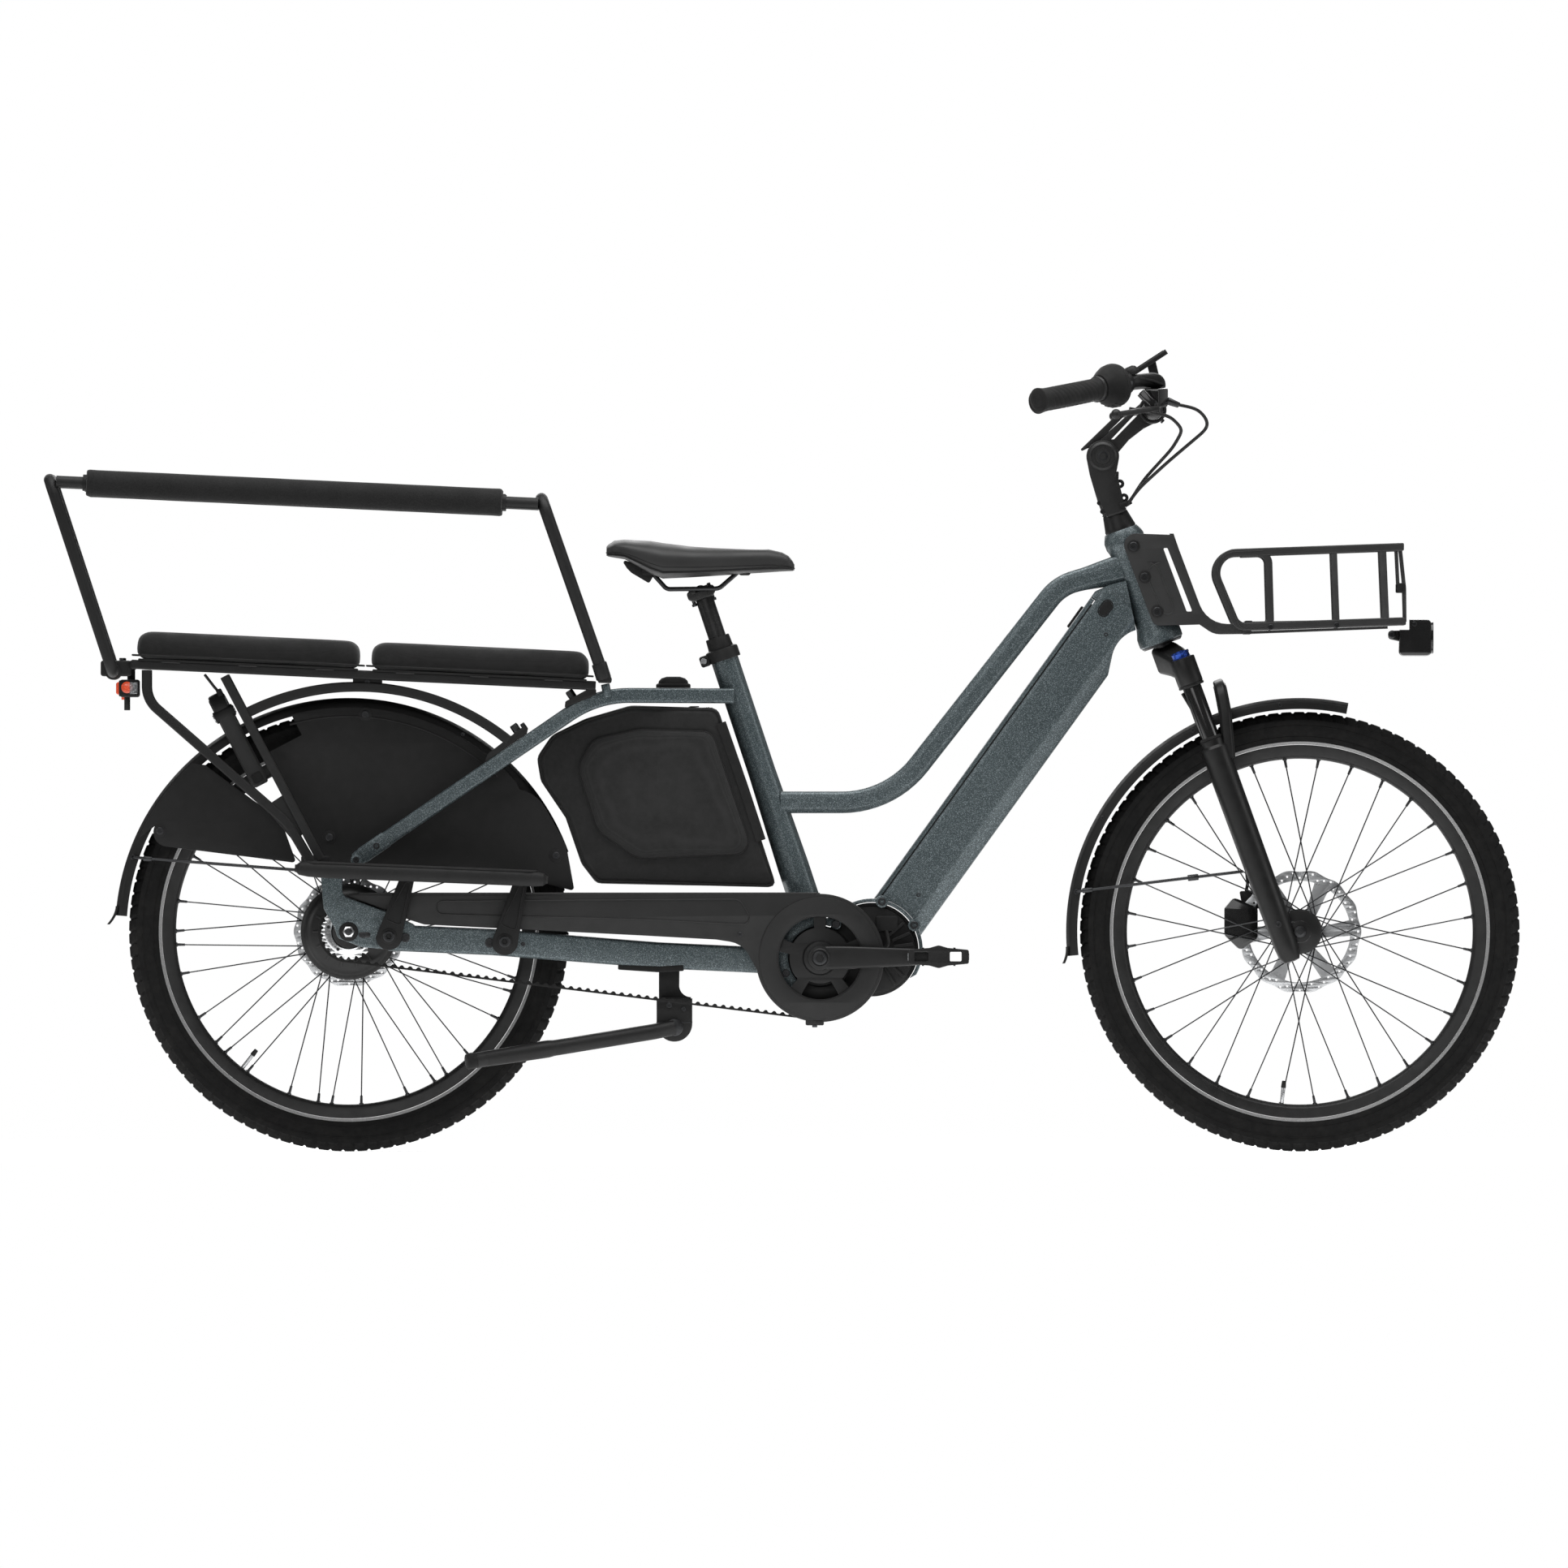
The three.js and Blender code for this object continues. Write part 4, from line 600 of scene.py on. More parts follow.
# ---------------------------------------------------------------- camera, light and floor
def area_light(name, place, aim, size, power):
    lamp = bpy.data.lights.new(name, "AREA")
    lamp.shape, lamp.size, lamp.size_y, lamp.energy = "RECTANGLE", *size, power
    holder = bpy.data.objects.new(name, lamp)
    scene.collection.objects.link(holder)
    holder.location = place
    holder.rotation_euler = (Vector(aim) - Vector(place)).to_track_quat("-Z", "Y").to_euler()


# The photo is almost free of perspective, so the camera is far away behind a very long lens.
camera_distance, camera_lens = 100, 1503


def set_stage():
    camera = bpy.data.objects.new("camera", bpy.data.cameras.new("camera"))
    scene.collection.objects.link(camera)
    camera.location = (0.0031, -camera_distance, 0.5615)
    camera.rotation_euler = (math.radians(90), 0, 0)
    camera.data.lens, camera.data.sensor_width = camera_lens, 36
    camera.data.clip_end = 3 * camera_distance
    scene.camera = camera
    scene.view_settings.view_transform = "Standard"

    middle = (0, 0, 0.5)
    area_light("top_softbox", (0.1, -0.6, 3.6), middle, (4.6, 2.6), 150)
    area_light("camera_side", (-1.5, -5.5, 2.6), middle, (3.4, 2.2), 42)
    area_light("front_side", (4.6, -1.4, 1.7), middle, (2.0, 2.4), 34)
    area_light("far_side", (-0.5, 4.8, 2.8), middle, (5.0, 2.4), 110)
    area_light("rear_side", (-4.6, -0.8, 1.7), middle, (2.0, 2.4), 26)

    world = bpy.data.worlds.new("studio")
    world.use_nodes = True
    scene.world = world
    tree = world.node_tree
    back = tree.nodes["Background"]
    back.inputs["Color"].default_value = (1, 1, 1, 1)
    seen = tree.nodes.new("ShaderNodeLightPath")
    level = tree.nodes.new("ShaderNodeMapRange")
    level.inputs["To Min"].default_value, level.inputs["To Max"].default_value = 0.14, 1.0
    tree.links.new(seen.outputs["Is Camera Ray"], level.inputs["Value"])
    tree.links.new(level.outputs["Result"], back.inputs["Strength"])

    radius = 3.6
    mesh = bpy.data.meshes.new("floor")
    sides = 96
    circle = [(x, y, 0) for x, y in arc(0, 0, radius, count=sides)]
    mesh.from_pydata([(0, 0, 0), *circle], [], [(0, k + 1, (k + 1) % sides + 1) for k in range(sides)])
    floor = bpy.data.objects.new("floor", mesh)
    scene.collection.objects.link(floor)
    look = Look("pale_floor", specular=0.1)
    look.colour((0.9, 0.9, 0.9))
    look.rough(0.9)
    reach = look.add("ShaderNodeVectorMath")
    reach.operation = "LENGTH"
    look.tree.links.new(look.place, reach.inputs[0])
    fade = look.span(reach.outputs["Value"], 1.0, 0.0, 1.7, radius - 0.05)
    look.tree.links.new(fade, look.shader.inputs["Alpha"])
    look.shader.inputs["Emission Color"].default_value = (1, 1, 1, 1)
    look.shader.inputs["Emission Strength"].default_value = 0.62
    mesh.materials.append(look.material)


set_stage()


# ---------------------------------------------------------------- driving dimensions, as in the CAD
wheel_radius = 336
rear_axle, front_axle = -661.5, 791
guard_radius = 357
head_frame = tilted(578.5, 782.2, -20)
seat_frame = tilted(-87, 750, -18.35)
down_frame = tilted(0, 0, 35.76)
deck_frame = tilted(-638, 735, 2.66)
lock_frame = tilted(-831, 629.5, -27.4)
crank_x, crank_z = 58, 296
motor_x, motor_z, motor_radius = 137, 308.5, 72
crank_centre, motor_centre = (crank_x, crank_z), (motor_x, motor_z)
post_radius, seat_tube_radius = 13.6, 21
leg_y = 62
head_bolts = (42, 98, 148)  # heights of the carrier's bolts along the steering axis
rail_y, strut_y, stay_y = 80, 84, 78


def on_wheel(axle, radius, angle, y=0.0):
    """The point at a radius and an angle in radians round a wheel's axle."""
    return Vector((axle + radius * math.cos(angle), y, wheel_radius + radius * math.sin(angle)))


def carve(shape, *cutters):
    """Cuts closed shapes out of a closed shape."""
    weld_mm = 0.002
    holders = []
    for points, faces in (shape, *cutters):
        mesh = bpy.data.meshes.new("carve")
        mesh.from_pydata(points, [], faces)
        holder = bpy.data.objects.new("carve", mesh)
        scene.collection.objects.link(holder)
        work = bmesh.new()
        work.from_mesh(mesh)
        bmesh.ops.remove_doubles(work, verts=work.verts, dist=weld_mm)
        bmesh.ops.recalc_face_normals(work, faces=work.faces)
        work.to_mesh(mesh)
        work.free()
        holders.append(holder)
    body = holders[0]
    for cutter in holders[1:]:
        tool = body.modifiers.new("cut", "BOOLEAN")
        tool.operation, tool.solver, tool.object = "DIFFERENCE", "EXACT", cutter
    result = bpy.data.meshes.new_from_object(body.evaluated_get(bpy.context.evaluated_depsgraph_get()))
    made = [v.co.copy() for v in result.vertices], [tuple(p.vertices) for p in result.polygons]
    for holder in holders:
        mesh = holder.data
        bpy.data.objects.remove(holder)
        bpy.data.meshes.remove(mesh)
    bpy.data.meshes.remove(result)
    return made


# ---------------------------------------------------------------- main frame
def head_tube_shape(extra=0.0):
    profile = [(0, -5), (32.4, -5), (34.2, -3), (34.5, 4), (34.2, 11), (31.6, 19), (29.4, 28), (28.2, 60),
               (28, 110), (28, 143), (29.2, 149), (31.2, 155), (31.3, 165), (29.6, 170), (26.4, 177),
               (25.6, 178), (0, 178)]
    return lathe([(r + extra if r else 0, h) for r, h in profile], head_frame, 72)


def make_head_tube():
    bosses = []
    for height in head_bolts:
        for sign in (-1, 1):
            start = head_frame @ Vector((9.4, sign * 12, height))
            bosses.append(rod(start, head_frame @ Vector((9.4, sign * 31.6, height)), 8.5, sides=32))
    cups = lathe([(17, -9), (29, -9), (31.9, -6.2), (31.9, -4), (17, -4)], head_frame, 64)
    lip = lathe([(17, 172), (24.3, 172), (24.3, 178.2), (23.6, 178.8), (17, 178.8)], head_frame, 64)
    piece("head_tube_shell", [(merge(head_tube_shape(), *bosses), paint), (merge(cups, lip), dark_steel)],
          "frame", "head_tube")


def seat_tube_profile(radius):
    top = 15.0
    return [(0, -408), (radius + 3, -408), (radius + 3, -330), (radius + 1.8, -270), (radius, -180),
            (radius, top - 0.8), (radius - 0.8, top), (0, top)]


def make_seat_tube():
    bore, bore_end, flute = post_radius + 0.3, -300, 0.035
    wall = seat_tube_profile(seat_tube_radius)[:-1] + [(bore, 15), (bore, bore_end), (0, bore_end)]
    body = lathe(wall, seat_frame, 64, lambda turn, r: r * (1 + flute * math.cos(4 * turn) ** 2) - flute * r)
    piece("seat_tube_shell", [(body, paint)], "frame", "seat_tube")


def make_top_tube():
    path = bent([(-20, 0, 533.5), (164.5, 0, 533.5, 150), (424, 0, 865, 75), (520, 0, 890)], 5)
    tail = path.pop()
    last = path[-1]
    flare_steps = 6
    path += [last.lerp(tail, k / flare_steps) for k in range(1, flare_steps + 1)]
    sizes = []
    for i in range(len(path)):
        share = max(0, i - (len(path) - flare_steps - 1)) / flare_steps
        ease = share * share * (3 - 2 * share)
        sizes.append((1 + 0.35 * ease, 1 + 0.15 * ease))
    section = rounded([(-16.8, -17, 8), (-6, -19, 3), (9, -19, 3), (16.8, -13, 6), (16.8, 13, 6), (9, 19, 3),
                       (-6, 19, 3), (-16.8, 17, 8)], 22)
    body = carve(sweep(path, section, sizes=sizes), head_tube_shape(-2))
    seat = lathe(seat_tube_profile(seat_tube_radius - 1), seat_frame, 48)
    body = carve(body, seat, plate([(-80, 480), (-2, 480), (-2, 600), (-80, 600)], -40, 40, soft=0.1))
    piece("top_tube_shell", [(body, paint)], "frame", "top_tube")


down_top, down_seam, down_facet, down_bottom = -112, -103.6, -43, -21
down_start, down_end = 392, 985


def motor_outline(extra):
    """Cutters for the room that the motor and the crank case take, `extra` mm wider."""
    motor = plate(arc(*motor_centre, motor_radius + extra, count=72), -53, 53, soft=0.1)
    crank_case = plate(arc(*crank_centre, 62 + extra, count=72), -54, 54, soft=0.1)
    return motor, crank_case


def make_down_tube():
    section = rounded([(down_seam, -31, 1.5), (down_seam + 5, -32, 4), (down_facet, -32, 9),
                       (down_bottom, -17, 7), (down_bottom, 17, 7), (down_facet, 32, 9),
                       (down_seam + 5, 32, 4), (down_seam, 31, 1.5)], 22)
    body = moved(sweep([(0, 0, down_start), (0, 0, 690), (0, 0, down_end)], section), down_frame)
    front = plate([(560, 700), (700, 700), (700, 1000), (500, 1000)], -60, 60, soft=0.1)
    throat = plate([(498, 728), *arc(556, 746, 53, 172, 96, 12), (560, 809), (590, 790), (566, 700)], -60,
                   60, soft=0.1)
    lug = plate(rounded([(down_seam, 880), (down_seam, 962.5), (down_top, 962.5), (down_top, 974, 6),
                         (-100, 995, 20), (-83, 1016, 10), (-59, 1020), (-30, 990), (-30, 880)]), -27, 27,
                soft=5)
    body = carve(body, head_tube_shape(-2.5), front, throat, *motor_outline(6.3))
    lug = carve(moved(lug, down_frame), head_tube_shape(-2.5), front, throat)
    flap_place = down_frame @ Matrix.Translation((-84, -32.6, 962))
    flap = moved(plate(oblong(-7, 7, -12, 12, 6.9), -1.0, 1.4, soft=0.8),
                 flap_place)
    rim = oblong(-9.2, 9.2, -14.2, 14.2, 9)
    hole = oblong(-7.5, 7.5, -12.5, 12.5, 7.3)
    ring = moved(plate(rim, -0.2, 1.4, [hole], 0.5), flap_place)
    drain = [side_bolt(*(down_frame @ Vector((-60, 0, z))).xz, -31, 3.2, 1.6) for z in (440, 930)]
    piece("down_tube_shell", [(merge(body, lug), paint), (flap, bumper_rubber), (ring, plastic),
                              (merge(*drain), dark_steel)], "frame", "down_tube", 28)


def make_battery_cover():
    section = rounded([(down_top, -22, 9), (down_seam - 1.4, -30.4, 1.2), (down_seam - 1.4, 30.4, 1.2),
                       (down_top, 22, 9)], 22)
    path = [(0, 0, down_start - 4), (0, 0, 470), (0, 0, 700), (0, 0, 962)]
    cover = moved(sweep(path, section), down_frame)
    latch = moved(block(-116, -110, -9, 9, 905, 944, 2.0), down_frame)
    cover = carve(cover, *motor_outline(6.3), head_tube_shape(0.6))
    seal = moved(sweep([(0, 0, down_start + 4), (0, 0, 955)],
                       rounded([(-105.4, -29.6), (-103.3, -29.6), (-103.3, 29.6), (-105.4, 29.6)])),
                 down_frame)
    seal = carve(seal, *motor_outline(7.0), head_tube_shape(1.2))
    piece("battery_cover_shell", [(cover, paint), (seal, bumper_rubber),
                                  (carve(latch, head_tube_shape(1)), plastic)], "frame", "battery_cover",
          28)


def make_motor():
    core = [plate(arc(*motor_centre, motor_radius - 5, count=72), -43, 43, soft=3),
            plate(arc(*crank_centre, 49, count=64), -49.5, 49.5, soft=3)]
    for y in (-36, -24, -12, 0, 12, 24, 36):
        core.append(plate(arc(*motor_centre, motor_radius - 0.5, count=72), y - 2, y + 2, soft=0.8))
    fins = []
    for k in range(7):
        angle = 40 - 16 * k
        out, turn = math.cos(math.radians(angle)), math.sin(math.radians(angle))
        start = (motor_x + 34 * out, -45.5, motor_z + 34 * turn)
        fins.append(sweep([start, (motor_x + 64 * out, -45.5, motor_z + 64 * turn)],
                          box_section(2.2, 3.5, 1.2), cap=1))
    plug = block(motor_x + 6, motor_x + 40, -50, -42, motor_z + 28, motor_z + 52, 4)
    lead = tube([(motor_x + 22, -47, motor_z + 30), (motor_x + 26, -50, motor_z + 8, 12),
                 (motor_x + 6, -46, motor_z - 14)], 3.2)
    seat = lathe([(16, 49), (24, 49), (24, 52), (20.5, 53.4), (16, 53.4)],
                 aimed(*side_line(crank_x, crank_z, 0, -1)), 48)
    # A black arc in front of the lower part of the crank-case ring, below the frame-coloured lip: painted
    # shade there.
    painted_shade_arc = plate(arc(*crank_centre, 64, 232, 318, 30) + arc(*crank_centre, 44, 318, 232, 30), -54.6, -51.9,
                  soft=0.8)
    piece("motor_shell", [(merge(*core, *fins, plug, painted_shade_arc), plastic), (both(seat), dark_steel),
                          (lead, hose_look)], "frame", "motor_housing")


def make_motor_bracket():
    ring = plate(arc(*crank_centre, 62, count=80), -51.5, 51.5, [arc(*crank_centre, 50.6, count=72)], 1.2)
    shell = plate(arc(*motor_centre, motor_radius + 6, count=88), -46, 46,
                  [arc(*motor_centre, motor_radius + 0.6, count=80)], 1.2)
    below = plate([(86, 150), (300, 150), (300, 290), (204, 270), (150, 240), (90, 262)], -60, 60, soft=0.1)
    crank_room = plate(arc(*crank_centre, 50.4, count=64), -60, 60, soft=0.1)
    motor_room = plate(arc(*motor_centre, motor_radius + 0.4, count=64), -60, 60, soft=0.1)
    lip = plate(arc(*crank_centre, 64, 98, 228, 40) + arc(*crank_centre, 48.4, 228, 98, 40), -54, -51,
                soft=0.8)
    shell = carve(shell, below, crank_room)
    ring = carve(ring, below, motor_room)
    bolts, washers = [], []
    for sign in (-1, 1):
        for angle in (30, 78, 140):
            x = motor_x + (motor_radius + 3) * math.cos(math.radians(angle))
            z = motor_z + (motor_radius + 3) * math.sin(math.radians(angle))
            bolts.append(side_bolt(x, z, sign * 45, 6.2, 4.2, sign))
            washers.append(rod(*side_line(x, z, sign * 40, sign * 46.6), 9.5, sides=40))
        for angle in (64.6, 204):
            x = crank_x + 57 * math.cos(math.radians(angle))
            z = crank_z + 57 * math.sin(math.radians(angle))
            bolts.append(side_bolt(x, z, sign * 53, 6.2, 3.0, sign))
            washers.append(rod(*side_line(x, z, sign * 44, sign * 51.9), 8.2, sides=36))
    piece("motor_bracket_shell", [(merge(shell, ring, lip, *washers), paint), (merge(*bolts), dark_steel)],
          "frame", "motor_bracket")


stay_path = [(-74, -30, 696), (-150, -42, 696.5, 60), (-283, -stay_y, 697, 150), (-648, -stay_y, 447.3)]


stay_slope = 0.684


def on_stay(x, out=0.0):
    """The point of the stay's middle line at x, moved `out` mm square to it, upwards."""
    slope = math.atan(stay_slope)
    return x - out * math.sin(slope), 697 + stay_slope * (x + 283) + out * math.cos(slope)


def make_rear_stays():
    path = bent(stay_path, 4)
    bar = sweep(path, box_section(11.5, 8, 4.5), cap=1.5)
    (x0, z0), (x1, z1), (x2, z2) = (on_stay(x) for x in (-604, -641, -652))
    sleeve = sweep([(x0, -stay_y, z0), (x1, -stay_y, z1)], box_section(12.6, 8.9, 4), cap=1)
    tip = sweep([(x1 + 1, -stay_y, z1), (x2, -stay_y, z2)], box_section(11, 6, 3), cap=3)
    post = rod((-266, -stay_y, 694), (-270, -stay_y - 1, 714), 6.5, sides=28)
    bridge = plate(oblong(-190, -176, 688, 702, 3), -50, 50)
    perch = block(-190, -142, -46, 46, 694, 706.5, 3)
    cross = rod(*side_line(-330, 664, -stay_y, stay_y), 8, sides=28)
    lobes = [(on_stay(x), 4.8) for x in (-619, -650)]
    bolts = [side_bolt(x, z, -stay_y - 7.5, radius, 3.2) for (x, z), radius in lobes]
    eyes = [rod(*side_line(x, z, -stay_y, -stay_y - 8.6), 8.5, sides=36) for (x, z), _ in lobes]
    puck = lathe([(0, 706), (26, 706), (26.4, 707), (26.4, 713), (25, 714.5), (23, 715), (22, 719),
                  (18, 723), (10, 725.5), (0, 726)], Matrix.Translation((-166, 0, 0)), 48)
    tubes = merge(both(merge(bar, sleeve, tip, *eyes, post)), bridge, perch, cross)
    piece("rear_stay_tubes", [(tubes, paint), (both(merge(*bolts)), dark_steel), (puck, bumper_rubber)],
          "frame", "rear_stays")


def make_chainstays():
    path = bent([(-600, -80, 327), (-440, -80, 320, 120), (-190, -44, 300, 120), (-20, -42, 292)], 6)
    bar = sweep(path, box_section(20, 7.5, 5.5))
    yoke = plate(rounded([(-704, 424, 4), (-671, 428, 6), (-671, 391, 12), (-602, 366, 10), (-560, 346, 8),
                          (-560, 306, 4), (-640, 312, 26), (-678, 326, 10), (-684, 344, 4),
                          (-700, 372, 20)]), -88, -73, [arc(rear_axle, wheel_radius, 9.4, count=32)], 2.0)
    bridge = block(-196, -152, -46, 46, 282, 306, 5)
    cross = rod(*side_line(-290, 307, -62, 62), 9, sides=28)
    small = [side_bolt(x, z, -87, 3.4, 2.0) for x, z in ((-395, 317), (-640, 330))]
    slot = plate(oblong(-646, -628, 326.6, 335.4, 4), -88.6, -87, soft=0.5)
    bumper = sweep([(-250, -51, 283), (-190, -46, 279), (-150, -46, 281)], box_section(5, 6, 3), cap=2)
    ring = plate(arc(*crank_centre, 62.2, count=64), -60, 60, soft=0.1)
    sides = both(carve(bar, ring))
    parts = [(merge(sides, both(yoke), bridge, cross), paint), (both(merge(*small, slot)), dark_steel),
             (both(bumper), bumper_rubber)]
    piece("chainstay_tubes", parts, "frame", "chainstays")


def make_seat_clamp():
    ring = lathe([(21.8, 1), (24.6, 1), (25.4, 2), (25.4, 16.4), (24.6, 18.4), (21.8, 18.6)], seat_frame, 56)
    collar = lathe([(13.9, 15.5), (24.4, 15.6), (24.6, 18.4), (19.6, 20.4), (19.2, 24), (18.6, 36.6),
                    (17.6, 38), (13.9, 38)], seat_frame, 56)
    ears = moved(merge(block(-37, -22, -11, -2, 0, 17, 3.5), block(-37, -22, 2, 11, 0, 17, 3.5)), seat_frame)
    bolt = moved(merge(socket_bolt(*side_line(-31, 9, -10, -15.5), 5),
                       rod(*side_line(-31, 9, -6, 13.5), 3.4)), seat_frame)
    piece("seat_clamp_ring", [(merge(ring, collar, ears), coat), (bolt, steel)], "frame", "seat_clamp")


# ---------------------------------------------------------------- rack, cushions and passenger rail
def make_rack():
    rail = moved(sweep([(-355, -rail_y, -7), (0, -rail_y, -7), (354, -rail_y, -7)], box_section(7, 9, 3),
                       cap=1.5), deck_frame)
    crosses = [moved(block(x - 8, x + 8, -rail_y, rail_y, -12, -3.6, 2), deck_frame)
               for x in (-340, -180, -20, 20, 180, 340)]
    rear = sweep(bent([(-970, -rail_y, 735), (-970, -strut_y, 690, 45), (-755, -strut_y, 502, 70),
                       (-718, -strut_y, 440)], 6), box_section(7.2, 7.2, 3))
    front = sweep([(-851, -rail_y, 726), (-704, -strut_y, 446)], box_section(7, 7, 3))
    gusset = plate(rounded([(-790, 526, 4), (-757, 548, 4), (-730, 490, 4), (-742, 470, 4)]), -strut_y - 3,
                   -strut_y + 3)
    arch = sweep([(x, -76, z) for x, z in arc(-650, 340, 370, 51, 118, 60)], box_section(7.5, 7.5, 3.4))
    drop = block(-655, -611, -rail_y, -rail_y + 8, 708, 728, 1.5)
    foot = plate(rounded([(*on_stay(-447, 12), 1), (*on_stay(-383, 12), 1), (*on_stay(-377, 19), 3),
                          (*on_stay(-381, 24), 3), (*on_stay(-438, 20), 3)]), -83, -66)
    front_foot = plate(rounded([(*on_stay(-325, 12), 1), (-292, 694, 1), (-284, 698, 3), (-284, 706, 1),
                                (-297, 706, 3), (*on_stay(-320, 19), 3)]), -88, -72)
    base = block(-734, -690, -strut_y - 6, -strut_y + 6, 429.5, 452, 3)
    slats = moved(block(-30, 30, -rail_y, rail_y, -11, -5, 1.5), deck_frame)
    knobs = []
    for x, low, tall, radius in ((-391, 22, 13, 6.2), (-381, 20, 9, 3.6), (-309, 16, 14, 6.2)):
        (x0, z0), (x1, z1) = on_stay(x, low), on_stay(x, low + tall)
        knobs.append(socket_bolt((x0, -76, z0), (x1, -76, z1), radius))
    bolts = [side_bolt(x, z, y, 4.2, 3.0)
             for x, z, y in ((-712, 441, -strut_y - 5.6), (-633, 718, -rail_y + 0.6))]
    ends = [moved(block(x - 2, x + 2, -rail_y - 8, -rail_y + 8, -13, -1.4, 1.2), deck_frame)
            for x in (-355, 352)]
    parts = [(merge(both(merge(rail, rear, front, gusset, arch, drop, foot, front_foot, base)), *crosses,
                    slats), coat), (both(merge(*knobs, *bolts)), dark_steel), (both(merge(*ends)), plastic)]
    piece("rack_tubes", parts, "frame", "rack_frame")


def pressed(obj, cap, pressure=4.0, frames=20, voxel=0.0055):
    """Pads a closed form out with cloth pressure, moving no point further than `cap` metres."""
    remesh = obj.modifiers.new("remesh", "REMESH")
    remesh.mode, remesh.voxel_size = "VOXEL", voxel
    solid = bpy.data.meshes.new_from_object(obj.evaluated_get(bpy.context.evaluated_depsgraph_get()))
    obj.modifiers.clear()
    old, obj.data = obj.data, solid
    looks = list(old.materials)
    for look in looks:
        if look.name not in [m.name for m in solid.materials if m]:
            solid.materials.append(look)
    cloth = obj.modifiers.new("cloth", "CLOTH")
    settings = cloth.settings
    settings.quality, settings.mass = 5, 0.3
    settings.tension_stiffness = settings.compression_stiffness = 18
    settings.bending_stiffness = 2.0
    settings.use_pressure, settings.uniform_pressure_force = True, pressure
    settings.effector_weights.gravity = 0
    scene.frame_start, scene.frame_end = 1, frames
    cloth.point_cache.frame_start, cloth.point_cache.frame_end = 1, frames
    rest = [v.co.copy() for v in solid.vertices]
    for step in range(1, frames + 1):
        scene.frame_set(step)
    swollen = bpy.data.meshes.new_from_object(obj.evaluated_get(bpy.context.evaluated_depsgraph_get()))
    places = [v.co.copy() for v in swollen.vertices]
    bpy.data.meshes.remove(swollen)
    obj.modifiers.clear()
    scene.frame_set(1)
    for vertex, start, end in zip(solid.vertices, rest, places):
        push = end - start
        vertex.co = start + push * min(1.0, cap / push.length if push.length > 1e-9 else 1.0)
    for polygon in solid.polygons:
        polygon.use_smooth = True
    work = bmesh.new()
    work.from_mesh(solid)
    for _ in range(3):
        bmesh.ops.smooth_vert(work, verts=work.verts, factor=0.5, use_axis_x=True, use_axis_y=True,
                              use_axis_z=True)
    work.to_mesh(solid)
    work.free()
    bpy.data.meshes.remove(old)


cushion_half, cushion_tall = 100, 43


def pad_shape(x0, x1):
    """A cushion block a little smaller than its cover, so that the cloth can swell."""
    inset = 3.5
    x0, x1 = x0 + inset, x1 - inset
    half, tall = cushion_half - inset, cushion_tall - inset * 0.8
    loops = []
    steps = 9
    corner = 15
    stations = [(x0 + corner * (1 - math.cos(math.pi / 2 * k / steps)), 1 - math.sin(math.pi / 2 * k / steps))
                for k in range(steps + 1)]
    far = [(x1 - (x - x0), s) for x, s in reversed(stations)]
    middle = [(x0 + (x1 - x0) * k / 8, 0) for k in range(1, 8)]
    for x, shrink in stations + middle + far:
        top = tall - corner * shrink
        side = half - 9 * shrink
        low = 2.6 + 3 * shrink
        section = rounded([(-side, low, 5), (side, low, 5), (side, top, 17), (-side, top, 17)], 15)
        loops.append([Vector((x, y, z)) for y, z in section])
    return moved(rings(loops), deck_frame)


def cover_seam(x0, x1):
    """The piped seam that runs round a cushion, near its lower edge."""
    height, inset = 7.2, 1.0
    half = cushion_half - inset
    loop = oblong(x0 + inset, x1 - inset, -half, half, 22, 10)
    return moved(sweep([(x, y, height) for x, y in loop], round_section(1.5, 10), side=(0, 0, 1),
                       closed=True), deck_frame)


def make_cushion(name, x0, x1):
    """A padded cushion with its piped seam and its base board, from x0 to x1 along the deck."""
    pad = piece(name, [(pad_shape(x0, x1), cover_cloth)], None, sharp=180)
    pressed(pad, cap=0.0042)
    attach(pad, "frame")
    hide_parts(name.replace("_pad", ""))
    piece(name + "_piping", [(cover_seam(x0, x1), piping_look)], "frame")
    base = moved(block(x0 + 10, x1 - 10, -cushion_half + 9, cushion_half - 9, -1.2, 2.4, 1.5), deck_frame)
    buckles = []
    for x in (x0 + 60, (x0 + x1) / 2, x1 - 60):
        buckles.append(moved(block(x - 14, x + 14, -cushion_half + 8, -rail_y + 10, -2.9, -0.6, 1.0),
                             deck_frame))
    piece(name + "_base", [(base, plastic), (both(merge(*buckles)), lock_plastic)], "frame")


hoop_y, hoop_radius, foam_radius = 158, 9.5, 20.5


